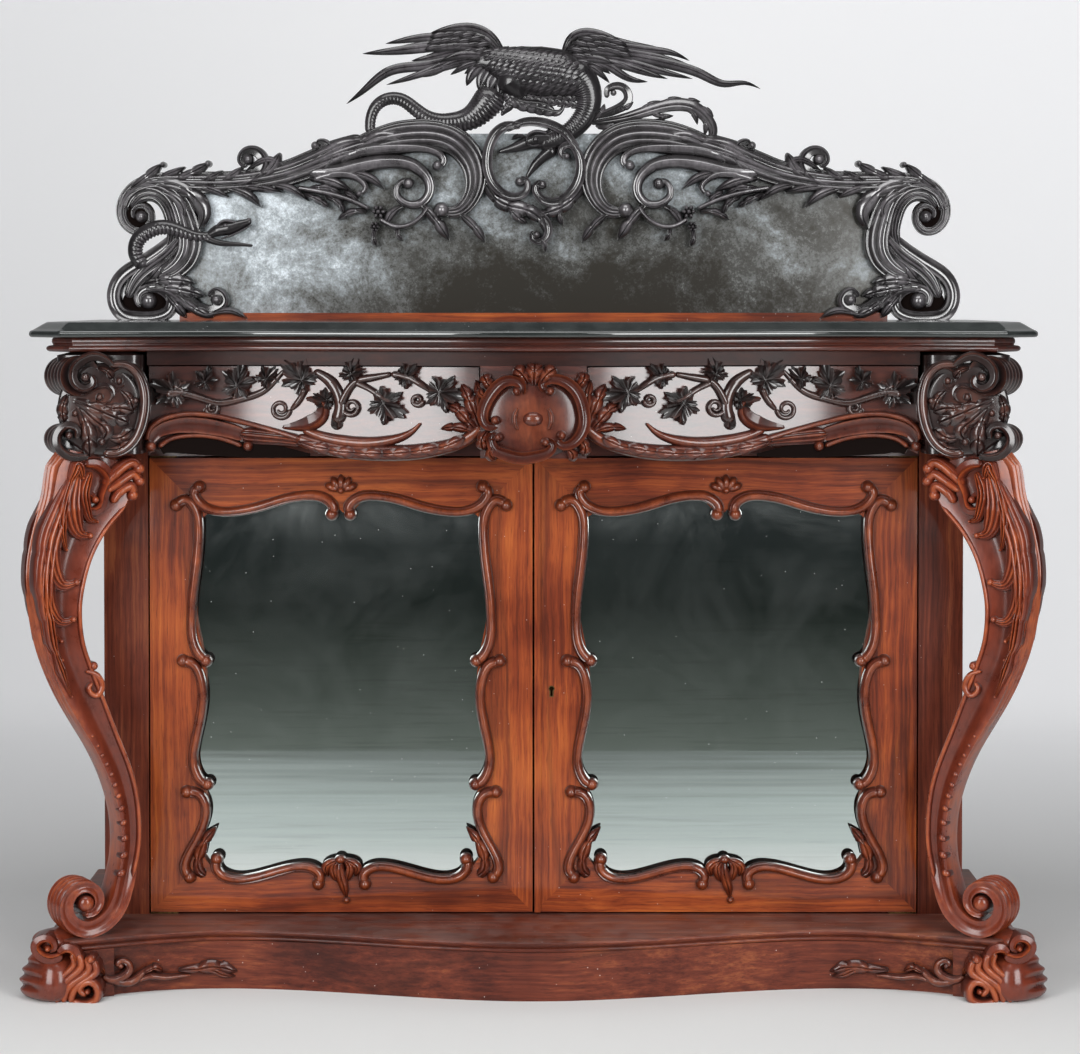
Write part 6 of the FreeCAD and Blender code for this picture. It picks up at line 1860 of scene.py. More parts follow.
def frieze_vine(chart):
    """The near-black vine above the swag: stems, toothed leaves and tendrils, each a spiral that
    tightens evenly."""
    shells = []
    for points, half in VINE_STEMS:
        halves = [half * share for share in VINE_STEM_SHARES]
        shells += bar(chart, frieze_place(points), halves, VINE_STEM_RISE, count=VINE_STATIONS)
    for spot, size, bearing in VINE_LEAVES:
        shells += vine_leaf(chart, frieze_place([spot])[0], size, math.pi - bearing, VINE_LEAF_RISE,
                            VINE_LEAF_LIFT, VINE_LEAF_STRETCH)
    for spot, size, hand in TENDRILS:
        turn = np.linspace(0, TENDRIL_TURNS * TURN, TENDRIL_STATIONS)
        reach = size * (1.0 - TENDRIL_SHRINK * turn / turn[-1])
        spiral = np.stack([spot[0] + hand * reach * np.cos(turn), spot[1] + reach * np.sin(turn)], axis=1)
        shells += bar(chart, frieze_place(spiral[::3]), TENDRIL_HALVES, TENDRIL_RISE)
    shells += bar(chart, frieze_place(VINE_ROOT), VINE_ROOT_HALVES, VINE_STEM_RISE, ogee_top)
    return shells


frieze_right_face = serpentine(FRIEZE_INSET)
for side, chart in (("right", frieze_right_face), ("left", flipped(frieze_right_face))):
    piece(f"frieze_swag_{side}", frieze_swag(chart), f"drawer_{side}", CARVED_WOOD)
    # A near-black strip on each drawer front: painted shade under the arch.
    piece(f"frieze_shade_paint_{side}", frieze_shade_paint(chart), f"drawer_{side}", SHADE_PAINT)
    piece(f"frieze_vine_{side}", frieze_vine(chart), f"drawer_{side}", DARK_CARVED_WOOD)


# Cartouche: a domed boss among C-scrolls with balls, leaves at its corners and on top

CARTOUCHE_SHIFT = np.array([-6.0, 0.0])
CARTOUCHE_SCROLLS = [
    ([(527, 395), (528, 386), (521, 381), (510, 382), (500, 391), (492, 405), (490, 418), (495, 426),
      (504, 425)],
     (4, 5, 6, 6.5, 6.5, 6.5, 6, 5, 4)),
    ([(552, 391), (548, 384), (557, 379), (571, 382), (583, 394), (589, 414), (588, 429), (578, 443),
      (567, 445), (562, 438)],
     (4, 5, 6, 6.5, 6.5, 6.5, 6.5, 6, 5, 4)),
    ([(503, 440), (498, 436), (500, 447), (511, 454), (527, 458), (543, 456), (554, 452), (558, 445),
      (552, 440)],
     (4, 5, 6, 6.5, 6.5, 6.5, 6, 5, 4)),
]
CARTOUCHE_BALLS = [
    ((523, 391), 6), ((502, 420), 6), ((556, 391), 6), ((567, 435), 6), ((505, 437), 6), ((551, 442), 6),
]
CARTOUCHE_LEAVES = [
    ([(540, 386), (540, 376), (541, 363)], 10, 3), ([(534, 384), (528, 374), (520, 368)], 8, 2),
    ([(546, 384), (553, 374), (562, 368)], 8, 2), ([(500, 390), (494, 382), (490, 374)], 7, 2),
    ([(496, 398), (488, 394), (486, 388)], 5, 1), ([(582, 388), (588, 380), (590, 372)], 7, 2),
    ([(494, 430), (489, 440), (490, 450)], 7, 2), ([(500, 446), (497, 454), (502, 460)], 6, 1),
    ([(585, 438), (590, 447), (589, 455)], 7, 2), ([(572, 448), (578, 455), (576, 461)], 6, 1),
]
CARTOUCHE_BOSS = (539, 419)
CARTOUCHE_BOSS_RADII = (17, 12.5)
CARTOUCHE_BOSS_RISE = 14
CARTOUCHE_GROUND = (72, 58)
CARTOUCHE_GROUND_RISE = 8
CARTOUCHE_SWELL = 1.5
CARTOUCHE_RISE = 19
CARTOUCHE_BALL_SWELL = 1.2
CARTOUCHE_BALL_RISE = 23
CARTOUCHE_LEAF_SWELL = 1.6
CARTOUCHE_LEAF_RISE = 16
BRACKET = [(21, 16), (25, 6), (25, -6), (21, -16)]
BRACKET_HALVES = (2.6, 3.8, 3.8, 2.6)
BRACKET_RISE = 15


def cartouche_place(points):
    """Places on the cartouche, from given pixels moved to the cabinet's middle."""
    return seen_on_front(np.asarray(points, float) + CARTOUCHE_SHIFT, CARTOUCHE_INSET)


def cartouche_carving(chart):
    """The cartouche: a low ground, scrolls, balls and leaves, and a boss between two brackets."""
    middle = cartouche_place([CARTOUCHE_BOSS])[0]
    shells = [boss(chart, middle, CARTOUCHE_GROUND, CARTOUCHE_GROUND_RISE, around=60, levels=14)]
    for points, halves in CARTOUCHE_SCROLLS:
        broad = [half * CARTOUCHE_SWELL for half in halves]
        shells += bar(chart, cartouche_place(points), broad, CARTOUCHE_RISE, cove_top, SCROLL_STATIONS)
    for spot, size in CARTOUCHE_BALLS:
        radius = size * CARTOUCHE_BALL_SWELL
        shells.append(boss(chart, cartouche_place([spot])[0], (radius, radius), CARTOUCHE_BALL_RISE))
    for points, half, lobes in CARTOUCHE_LEAVES:
        shells += leaf(chart, cartouche_place(points), half * CARTOUCHE_LEAF_SWELL, CARTOUCHE_LEAF_RISE,
                       lobes=lobes, cut=0.34, lean=0.6, tip_lift=3, root=0.6)
    shells.append(boss(chart, middle, CARTOUCHE_BOSS_RADII, CARTOUCHE_BOSS_RISE, around=28, levels=9))
    for hand in (-1, 1):
        bracket = np.array(BRACKET) * np.array([hand, 1]) + middle
        shells += bar(chart, bracket, BRACKET_HALVES, BRACKET_RISE)
    return shells


piece("cartouche_carved", cartouche_carving(serpentine(CARTOUCHE_INSET)), "cabinet", CARVED_WOOD)


# Mirror back: scrolled uprights, leafy arms, a ring and its pendant

CREST_DEPTH = 231
CREST_SINK = 12.5
CREST_RISE = 15
CREST_STATIONS = 120
CREST_LEAF_RISE = 14
CREST_BALL_RISE = 1.2
GROUND_RISE = 3
GROUND_AROUND = 32
PETALS = 6
PETAL_LENGTH = 0.62
PETAL_HALF = 0.5
PETAL_RISE = 13
ROSETTE_EYE = 0.6
ROSETTE_RISE = 16
ROSETTES = [((371, 212), 7.5), ((367, 227), 5.5)]
UPRIGHT_BARS = [
    ([(127, 219), (126, 211), (134, 206), (142, 211), (143, 221), (137, 230), (127, 231), (117, 223),
      (114, 210), (119, 196), (131, 187), (148, 186), (163, 194), (172, 207), (177, 222), (180, 236),
      (179, 252), (170, 266), (155, 275), (138, 280)],
     (4, 5, 5.5, 6, 7, 8, 9, 10, 11, 13, 16, 19, 22, 24, 24, 22, 18, 12, 6), reeded_top),
    ([(124, 208), (133, 198), (146, 196), (157, 204), (163, 218), (165, 234), (160, 250)],
     (5, 9, 10, 10, 10, 9, 5), reeded_top),
    ([(176, 234), (160, 254), (144, 266), (129, 280), (120, 298)], (10, 15, 16, 14, 8), reeded_top),
    ([(172, 232), (160, 244), (143, 257), (127, 267), (114, 277), (107, 291), (108, 305), (116, 315),
      (131, 318), (148, 317), (161, 311), (164, 301), (157, 292), (146, 288), (134, 291), (130, 299),
      (134, 307)],
     (7, 10, 11, 11.5, 12, 12, 12, 12, 12, 11, 10, 9, 8, 7, 6), cove_top),
    ([(138, 288), (160, 288), (180, 301), (196, 311), (210, 309), (217, 300), (209, 291), (201, 297)],
     (9, 12, 13, 13, 11, 9, 7, 5), ogee_top),
]
UPRIGHT_LEAVES = [
    ([(140, 186), (167, 185), (187, 197), (197, 214), (191, 231)], 18, 2),
    ([(150, 190), (168, 198), (177, 211), (172, 226)], 11, 1),
    ([(138, 284), (162, 280), (187, 283)], 14, 4), ([(146, 288), (170, 289), (197, 296)], 14, 4),
    ([(158, 292), (169, 305), (179, 318)], 10, 2), ([(166, 256), (153, 268), (141, 282)], 11, 2),
    ([(172, 298), (190, 310), (206, 318)], 10, 2), ([(200, 316), (222, 311), (240, 319)], 8, 1),
]
# Low near-black patches about the eyes of the upright scrolls: painted shade.
UPRIGHT_SHADE_PATCHES = [((133, 216), (22, 24)), ((140, 301), (40, 24))]
UPRIGHT_BALLS = [((134, 217), 10), ((141, 301), 14), ((209, 300), 10)]
ARM_BARS = [
    ([(115, 210), (120, 196), (135, 185), (165, 182), (205, 183), (248, 180), (290, 170), (330, 153),
      (360, 143)],
     (9, 13, 16, 18, 18, 20, 22, 22, 18), reeded_top),
    ([(340, 152), (372, 140), (408, 134), (440, 138), (460, 154), (468, 175), (464, 197), (451, 211),
      (437, 212)],
     (14, 19, 23, 24, 24, 22, 18, 13, 9), reeded_top),
    ([(330, 160), (355, 151), (385, 148), (412, 148), (430, 153), (436, 161), (431, 168)],
     (8, 11, 12, 11, 9, 7, 6), quirked_top),
    ([(300, 172), (330, 171), (352, 166), (380, 162), (404, 165), (419, 177), (422, 192), (412, 204),
      (397, 203), (389, 193), (393, 183), (401, 181)],
     (9, 12, 13, 13, 13, 12, 11, 9, 8, 7, 6, 5), quirked_top),
    ([(228, 183), (243, 178), (254, 169), (255, 158), (247, 151), (237, 153), (234, 161), (240, 166)],
     (8, 10, 10.5, 10, 9, 8, 7, 6), ogee_top),
    ([(306, 180), (330, 174), (350, 178), (358, 188), (351, 196)], (6, 8, 8, 6, 4), quirked_top),
    ([(372, 219), (390, 227), (409, 221), (421, 207)], (4, 5, 5, 4), round_top),
    ([(290, 188), (318, 193), (342, 200), (362, 209)], (4, 5, 5, 4), round_top),
    ([(312, 170), (321, 161), (323, 151), (317, 143), (309, 143)], (7, 8, 8, 7, 5), ogee_top),
]
ARM_LEAVES = [
    ([(122, 190), (140, 177), (155, 164)], 10, 2), ([(165, 181), (185, 173), (203, 163)], 10, 2),
    ([(192, 182), (206, 177), (216, 171)], 8, 1), ([(212, 181), (226, 175), (236, 167)], 8, 1),
    ([(250, 179), (264, 169), (273, 153)], 12, 1), ([(322, 165), (334, 152), (341, 138)], 8, 1),
    ([(262, 178), (300, 168), (340, 154), (372, 148)], 14, 1),
    ([(215, 187), (240, 195), (255, 208)], 10, 1), ([(185, 186), (205, 190), (222, 198)], 9, 1),
    ([(262, 184), (285, 190), (300, 201)], 9, 1), ([(300, 178), (325, 182), (345, 192)], 10, 1),
    ([(340, 172), (362, 178), (378, 190)], 9, 1), ([(413, 204), (428, 220), (442, 241)], 12, 2),
    ([(452, 214), (466, 226), (478, 243)], 10, 2), ([(396, 206), (384, 214), (378, 227)], 9, 1),
    ([(230, 186), (252, 188), (275, 193)], 9, 1), ([(300, 190), (318, 188), (334, 194)], 8, 3),
    ([(296, 194), (310, 200), (322, 208)], 8, 3), ([(318, 196), (332, 204), (336, 214)], 8, 3),
    ([(360, 212), (346, 212), (330, 220)], 8, 3), ([(352, 204), (346, 197), (336, 192)], 7, 2),
    ([(368, 228), (366, 238), (370, 247)], 7, 2), ([(392, 226), (390, 234), (396, 241)], 6, 2),
    ([(346, 150), (376, 136), (402, 144)], 13, 1), ([(300, 166), (332, 146), (362, 140)], 13, 1),
    ([(280, 172), (262, 160), (238, 172)], 7, 1), ([(150, 178), (168, 172), (178, 167)], 7, 1),
]
ARM_BALLS = [
    ((241, 160), 9), ((308, 146), 7), ((156, 165), 5), ((201, 164), 5.5), ((352, 194), 6), ((434, 210), 13),
    ((430, 166), 9), ((401, 184), 10),
]
RING_BARS = [
    ([(514, 126), (497, 127), (485, 139), (480, 156), (481, 173), (490, 189), (506, 197), (519, 191),
      (519, 181), (512, 179)],
     (5, 8, 9.5, 9.5, 9.5, 9, 8, 7, 6, 5)),
    ([(559, 159), (553, 152), (560, 145), (570, 153), (573, 171), (566, 190), (550, 202), (534, 199),
      (528, 188), (535, 181)],
     (5, 6, 7, 9, 10, 10, 9, 8, 7, 5)),
    ([(498, 130), (518, 122), (540, 124), (557, 133), (570, 150)], (5, 7, 8, 8, 6)),
    ([(516, 206), (532, 216), (541, 229), (535, 241), (525, 239), (526, 231)], (7, 9, 9, 7, 6, 4)),
]
RING_LEAVES = [
    ([(478, 184), (494, 203), (518, 210), (534, 221), (538, 234)], 15, 5),
    ([(574, 188), (560, 204), (543, 212), (526, 217)], 13, 4), ([(500, 204), (508, 216), (520, 224)], 9, 3),
    ([(532, 240), (537, 245), (538, 253)], 6, 1), ([(556, 204), (552, 216), (556, 226)], 7, 2),
]
RING_BALLS = [((512, 182), 8.5), ((535, 185), 8.5), ((559, 157), 7), ((529, 235), 7)]


def rosette(chart, spot, size):
    """A small rosette: a ring of petals about a ball."""
    shells = []
    petal = (size * PETAL_LENGTH, size * PETAL_HALF)
    for turn in np.arange(PETALS) * TURN / PETALS:
        way = np.array([math.cos(turn), math.sin(turn)])
        shells.append(boss(chart, spot + way * size, petal, PETAL_RISE, turn, CREST_SINK, around=12,
                           levels=5))
    eye = size * ROSETTE_EYE
    shells.append(boss(chart, spot, (eye, eye), ROSETTE_RISE, sink=CREST_SINK, around=14, levels=6))
    return shells


def crest_place(points):
    """Places on the right half of the mirror back, from given pixels of its left half."""
    return on_crest(points) * np.array([-1.0, 1.0])


def crest_set(chart, bars, leaves, balls, place):
    """One part of the crest: its scrolls, leaves and balls, with a function that turns pixels into places."""
    shells = []
    for points, halves, top in bars:
        shells += bar(chart, place(points), halves, CREST_RISE, top, CREST_STATIONS, CREST_SINK)
    for points, half, lobes in leaves:
        shells += leaf(chart, place(points), half, CREST_LEAF_RISE, lobes=lobes, cut=0.3, lean=0.6,
                       tip_lift=2, sink=CREST_SINK, root=0.5)
    for spot, size in balls:
        shells.append(boss(chart, place([spot])[0], (size, size), CREST_RISE * CREST_BALL_RISE,
                           sink=CREST_SINK))
    return shells


crest_right_face = upright(CREST_DEPTH)
for side, chart in (("right", crest_right_face), ("left", flipped(crest_right_face))):
    scroll = crest_set(chart, UPRIGHT_BARS, UPRIGHT_LEAVES, UPRIGHT_BALLS, crest_place)
    # The near-black patches are painted shade within the scrolls.
    shade_patches = []
    for spot, radii in UPRIGHT_SHADE_PATCHES:
        shade_patches.append(boss(chart, crest_place([spot])[0], radii, GROUND_RISE, sink=CREST_SINK,
                            around=GROUND_AROUND))
    piece(f"back_scroll_{side}_shade_patch", shade_patches, "cabinet", SHADE_PAINT)
    piece(f"back_scroll_{side}_carved", scroll, "cabinet", EBONISED, (f"back_scroll_{side}",))
    arm = crest_set(chart, ARM_BARS, ARM_LEAVES, ARM_BALLS, crest_place)
    for spot, size in ROSETTES:
        arm += rosette(chart, crest_place([spot])[0], size)
    piece(f"crest_arm_{side}_carved", arm, "cabinet", EBONISED, (f"crest_arm_{side}",))


ring_bars = [(points, halves, cove_top) for points, halves in RING_BARS]
ring = crest_set(crest_right_face, ring_bars, RING_LEAVES, RING_BALLS, on_crest)
piece("crest_ring_carved", ring, "cabinet", EBONISED, ("crest_ring",))


# Dragon: feathered body, scaled tail and neck, open beak, spread wings and claws

FIGURE_DEPTH = 236
figure_face = upright(FIGURE_DEPTH)
DRAGON_BODY = [(464, 60), (484, 62), (508, 68), (532, 71), (556, 73), (578, 80)]
BODY_RADII = (9, 25, 36, 39, 36, 24)
DRAGON_TAIL = [
    (363, 134), (363, 120), (369, 106), (381, 99), (394, 100), (406, 108), (423, 119), (444, 122),
    (463, 118), (477, 106), (490, 90),
]
TAIL_RADII = (7.5, 8, 9, 9.5, 10, 10.5, 12, 15, 19, 23, 25)
DRAGON_NECK = [(560, 66), (575, 80), (582, 97), (578, 115), (564, 131), (546, 141), (530, 144)]
NECK_RADII = (26, 24, 20, 17, 15, 14, 14)
BEAK_UPPER = [(550, 142), (530, 140), (512, 146), (491, 152)]
BEAK_LOWER = [(548, 148), (537, 156), (527, 166), (519, 178)]
WING_LEFT = [
    ([(486, 42), (449, 38), (416, 38), (378, 44)], 9), ([(484, 47), (449, 44), (420, 45), (384, 49)], 8),
    ([(486, 47), (441, 46), (399, 50), (355, 54)], 10), ([(484, 50), (449, 52), (423, 58), (404, 61)], 10),
    ([(480, 55), (441, 60), (416, 66), (383, 71), (358, 89), (339, 104)], 10),
    ([(476, 58), (441, 63), (416, 73), (379, 85)], 7), ([(476, 58), (445, 66), (420, 73), (392, 83)], 6),
    ([(478, 60), (446, 63), (426, 73), (410, 77)], 7), ([(478, 61), (459, 66), (443, 75)], 6),
    ([(480, 62), (466, 68), (457, 74)], 5.5), ([(485, 62), (468, 70), (459, 86)], 10),
    ([(490, 63), (476, 75), (472, 92)], 11), ([(497, 65), (484, 80), (481, 95)], 11),
    ([(503, 68), (494, 84), (491, 98)], 11), ([(496, 54), (484, 37), (462, 28), (424, 33)], 9),
    ([(495, 57), (480, 42), (455, 36), (424, 40)], 9), ([(494, 60), (474, 50), (448, 47), (418, 52)], 9),
    ([(493, 62), (472, 56), (452, 56), (432, 62)], 8),
]
WING_RIGHT = [
    ([(560, 42), (590, 38), (619, 44), (649, 47)], 8),
    ([(560, 46), (600, 45), (640, 50), (664, 53), (682, 61)], 9),
    ([(562, 49), (605, 51), (648, 57), (680, 64)], 9),
    ([(564, 52), (620, 56), (664, 65), (693, 74), (716, 84), (736, 83), (753, 89)], 10),
    ([(566, 55), (610, 60), (648, 70), (685, 79)], 8), ([(566, 57), (606, 63), (636, 72), (660, 79)], 8),
    ([(566, 59), (600, 66), (620, 78), (640, 82)], 8), ([(566, 57), (604, 63), (633, 74)], 7),
    ([(564, 60), (588, 66), (603, 74)], 6), ([(564, 62), (586, 69), (602, 83)], 6.5),
    ([(563, 64), (576, 71), (586, 82)], 6), ([(556, 54), (563, 39), (579, 33), (616, 43)], 9),
    ([(557, 57), (570, 45), (590, 42), (618, 50)], 9), ([(558, 60), (574, 53), (594, 52), (618, 57)], 9),
    ([(559, 62), (574, 59), (592, 60), (608, 65)], 8),
]
LEFT_ARM = [(490, 50), (480, 38), (464, 32), (442, 33)]
RIGHT_ARM = [(560, 48), (567, 39), (580, 35), (600, 40)]
COVERT_ROWS = 3
COVERT_COLUMNS = 7
COVERT_SHIFT = 3.0
COVERT_START = 2.0
COVERT_DROP = 6.0
COVERT_LINE = ((0.0, 0.0), (9.0, 0.5), (19.0, 3.5))
COVERT_HALF = 5
COVERT_RISE = 4
COVERT_LIFT = 9.0
FEATHER_SINK = 1.0
FEATHER_RISE = 5
FEATHER_STEP = 0.4
BODY_FLAT = 0.7
BODY_STATIONS = 80
BODY_ROWS = (46, 94, 5.2)
BODY_COLUMNS = (488, 578, 7.0)
BODY_STAGGER = 3.5
BODY_SLANT = 0.12
BODY_FEATHER = ((0.0, 0.0), (-5.0, 1.6), (-12.0, 5.0))
BODY_FEATHER_HALF = 5.2
BODY_FEATHER_RISE = 2.6
BREAST = [(498, 66), (507, 82), (514, 99)]
BREAST_RADII = (30, 30, 15)
CLAW_RADII = (10, 9, 7.5, 7, 5, 1.4)
BEAK_UPPER_RADII = (14, 15, 9, 2.4)
BEAK_LOWER_RADII = (12, 9, 7, 2.6)
DRAGON_EYE = (528, 140)
DRAGON_EYE_RADII = (4.5, 4.5, 4.5)
DRAGON_EYE_OUT = 13
EYELID = [(540, 134), (528, 132), (520, 137), (520, 144), (528, 146), (535, 142)]
EYELID_HALVES = (3, 3.4, 3.2, 3, 2.6, 2)
EYELID_RISE = 15
HEAD_LEAVES = [
    ([(534, 136), (548, 130), (562, 129)], 9, 12, 3), ([(520, 138), (511, 136), (504, 140)], 5, 10, 2),
]
PLUME_HALF = 13
PLUME_RISE = 10
PLUME_STATIONS = 120
PLUME_CURL_HALVES = (4, 7, 8, 7, 6, 4)
PLUME_CURL_RISE = 9
PLUME_EYE = (606, 93)
PLUME_EYE_RADII = (5, 5)
PLUME_LEAF_RISE = 8
DRAGON_CLAWS = [
    [(500, 90), (506, 100), (520, 104), (534, 105), (545, 110), (547, 117)],
    [(500, 92), (510, 103), (524, 108), (540, 112), (552, 112), (557, 103)],
    [(500, 94), (503, 104), (498, 110), (494, 116)],
]
PLUME_LEAF = [
    (583, 123), (616, 118), (647, 109), (670, 105), (688, 109), (701, 121), (705, 132), (700, 146),
    (692, 158),
]
PLUME_CURL = [(588, 117), (608, 110), (620, 101), (619, 91), (610, 86), (600, 90), (600, 98)]
PLUME_LEAVES = [
    ([(586, 120), (594, 112), (597, 104)], 6), ([(606, 113), (618, 108), (626, 102)], 6),
    ([(588, 126), (624, 127), (660, 118)], 9), ([(590, 128), (612, 130), (630, 138)], 8),
    ([(628, 114), (640, 106), (653, 101)], 6), ([(648, 109), (660, 101), (674, 98)], 6),
    ([(668, 106), (680, 101), (693, 102)], 6), ([(686, 109), (697, 109), (706, 117)], 6),
    ([(672, 106), (686, 114), (690, 125)], 6), ([(640, 111), (652, 116), (666, 116)], 6),
    ([(690, 112), (698, 124), (697, 136)], 6),
]


def both_faces(chart):
    """A face and the same face seen from behind, for carving that is finished on both sides."""
    return chart, raised(chart, 0, -1)


def feather(surface, points, half, rise, **values):
    """A pointed feather: a leaf without lobes, let in a little."""
    return leaf(surface, on_crest(points), half, rise, lobes=1, cut=0.0, lean=0.2, sink=FEATHER_SINK,
                **values)


def wing(chart, feathers, arm, hand):
    """A spread wing: long pointed feathers laid one over the next, and rows of short ones below its
    leading edge."""
    shells = []
    edge = through(arm, COVERT_COLUMNS)
    for surface in both_faces(chart):
        for seat, (points, half) in enumerate(feathers):
            shells += feather(surface, points, half, FEATHER_RISE, root=0.45, lift=FEATHER_STEP * seat,
                              count=48, around=11)
        for row in range(COVERT_ROWS):
            for spot in edge:
                root = spot + np.array([hand * COVERT_SHIFT * row, COVERT_START + COVERT_DROP * row])
                points = [root + np.array([hand * across, down]) for across, down in COVERT_LINE]
                shells += feather(surface, points, COVERT_HALF, COVERT_RISE, root=0.5,
                                  lift=COVERT_LIFT - row, count=16, around=7)
    return shells


def body_face(hand):
    """The body's near or far side: a face that swells over it by the round of its section."""
    line = through(on_crest(DRAGON_BODY), BODY_STATIONS)
    radii = spread(BODY_RADII, line)

    def place(across, up, out):
        middle = np.interp(across, line[:, 0], line[:, 1])
        size = np.interp(across, line[:, 0], radii)
        swell = BODY_FLAT * np.sqrt(np.clip(size**2 - (up - middle) ** 2, 0, None))
        return figure_face(across, up, hand * (out + swell))
    return place


def body_feathers():
    """Short feathers in staggered rows over both sides of the body, pointing back and down."""
    shells = []
    for hand in (1, -1):
        chart = body_face(hand)
        for row, up in enumerate(np.arange(*BODY_ROWS)):
            for along in np.arange(*BODY_COLUMNS) + BODY_STAGGER * (row % 2):
                root = np.array([along, up + BODY_SLANT * (along - BODY_COLUMNS[0])])
                points = [root + np.array(step) for step in BODY_FEATHER]
                shells += feather(chart, points, BODY_FEATHER_HALF, BODY_FEATHER_RISE, root=0.5, count=9,
                                  around=5)
    return shells


body = [tube(figure_face, on_crest(DRAGON_BODY), BODY_RADII, flat=BODY_FLAT, around=72, count=160),
        tube(figure_face, on_crest(BREAST), BREAST_RADII, flat=0.8, around=48, count=80)]
body += body_feathers()
for points in DRAGON_CLAWS:
    body.append(tube(figure_face, on_crest(points), CLAW_RADII, flat=0.9, around=16, count=70, ribs=8,
                     depth=0.2))
piece("dragon_body_carved", body, "cabinet", FIGURE_BLACK, ("dragon_body",))
tail = tube(figure_face, on_crest(DRAGON_TAIL), TAIL_RADII, flat=0.85, around=26, count=260, ribs=46,
            depth=0.11, scales=52)
piece("dragon_tail_carved", [tail], "cabinet", FIGURE_BLACK, ("dragon_tail",))
neck = [tube(figure_face, on_crest(DRAGON_NECK), NECK_RADII, flat=0.8, around=26, count=180, ribs=40,
             depth=0.12),
        tube(figure_face, on_crest(BEAK_UPPER), BEAK_UPPER_RADII, flat=0.8, around=22, count=70),
        tube(figure_face, on_crest(BEAK_LOWER), BEAK_LOWER_RADII, flat=0.8, around=20, count=60)]
for surface in both_faces(figure_face):
    neck.append(ball(surface, on_crest([DRAGON_EYE])[0], DRAGON_EYE_RADII, DRAGON_EYE_OUT))
    neck += bar(surface, on_crest(EYELID), EYELID_HALVES, EYELID_RISE)
    for points, half, rise, lobes in HEAD_LEAVES:
        neck += leaf(surface, on_crest(points), half, rise, lobes=lobes, cut=0.3)
piece("dragon_neck_carved", neck, "cabinet", FIGURE_BLACK, ("dragon_neck",))
for side, feathers, arm, hand in (("left", WING_LEFT, LEFT_ARM, -1), ("right", WING_RIGHT, RIGHT_ARM, 1)):
    piece(f"dragon_wing_{side}_carved", wing(figure_face, feathers, arm, hand), "cabinet", FIGURE_BLACK,
          (f"dragon_wing_{side}",))
plume = []
for surface in both_faces(figure_face):
    plume += leaf(surface, on_crest(PLUME_LEAF), PLUME_HALF, PLUME_RISE, lobes=1, cut=0.0, lean=0.9,
                  root=0.3, count=PLUME_STATIONS)
    plume += bar(surface, on_crest(PLUME_CURL), PLUME_CURL_HALVES, PLUME_CURL_RISE, ogee_top)
    plume.append(boss(surface, on_crest([PLUME_EYE])[0], PLUME_EYE_RADII, PLUME_RISE))
    for points, half in PLUME_LEAVES:
        plume += leaf(surface, on_crest(points), half, PLUME_LEAF_RISE, lobes=2, cut=0.3)
piece("crest_plume_carved", plume, "cabinet", EBONISED, ("crest_plume",))


# Serpent at the left upright: ribbed coil, long head and open jaws

SERPENT_COIL = [
    (137, 268), (129, 256), (130, 242), (140, 232), (156, 227), (174, 231), (190, 236), (206, 236),
]
SERPENT_RADII = (9, 11, 11.5, 11.5, 11, 9.5, 7.5, 6)
SERPENT_BEFORE = 12
JAWS = [
    ([(200, 237), (211, 231), (221, 229), (231, 226), (245, 221)], (5, 10, 10.5, 8, 4), 70),
    ([(198, 238), (212, 243), (228, 244.5), (246, 246)], (6, 5, 3.4, 2.2), 60),
]
SERPENT_BALLS = [((219, 226), (4, 3.4, 4), 8), ((242, 220), (4, 3, 3), 2)]
SERPENT_RIMS = [
    ([(209, 229), (216, 222), (226, 222), (233, 224)], (2, 3, 3, 1.5), 10),
    ([(214, 239), (224, 236), (235, 231), (245, 225)], (1.5, 2, 2, 1.2), 8),
]
serpent_face = upright(CREST_DEPTH - SERPENT_BEFORE)
serpent = [tube(serpent_face, on_crest(SERPENT_COIL), SERPENT_RADII, around=24, count=170, ribs=24,
                depth=0.2)]
for points, radii, count in JAWS:
    serpent.append(tube(serpent_face, on_crest(points), radii, count=count))
for surface in both_faces(serpent_face):
    for spot, radii, out in SERPENT_BALLS:
        serpent.append(ball(surface, on_crest([spot])[0], radii, out))
    for points, halves, rise in SERPENT_RIMS:
        serpent += bar(surface, on_crest(points), halves, rise)
piece("serpent_carved", serpent, "cabinet", FIGURE_BLACK, ("serpent",))


# Light, floor and camera, in metres

FLOOR_NEAR = -2.05
FLOOR_FAR = 2.2
SWEEP_RADIUS = 0.9
SWEEP_STATIONS = 24
SWEEP_TOP = 4.5
STAGE_HALF = 7.0
PAPER_PALE = (0.66, 0.66, 0.65)
PAPER_STOPS = ((0.0, PAPER_PALE), (0.22, (0.42, 0.45, 0.44)), (0.5, (0.29, 0.32, 0.31)),
               (0.9, (0.11, 0.122, 0.115)))
BOARD_STRETCH = (1.1, 26.0, 1.0)
BOARD_TONES = (0.35, 0.65, 0.82, 1.1)
PAPER_DARKENS = (-0.75, FLOOR_NEAR)
GLOW_ACROSS = (-1.6, 1.6, 0.3, 0.46)
GLOW_UP = (0.2, 2.2, -0.03, 0.08)
GLOW_BACK = (0.5, 2.5)
GLOW_COLOUR = (0.97, 0.97, 1.0, 1)
CARD_HALF = 0.86
CARD_TOP = 1.75
CARD_CORNERS = [
    (-CARD_HALF, FLOOR_NEAR, 0.0), (CARD_HALF, FLOOR_NEAR, 0.0), (CARD_HALF, FLOOR_NEAR, CARD_TOP),
    (-CARD_HALF, FLOOR_NEAR, CARD_TOP),
]
CARD_BLACK = (0.01, 0.012, 0.012, 1)
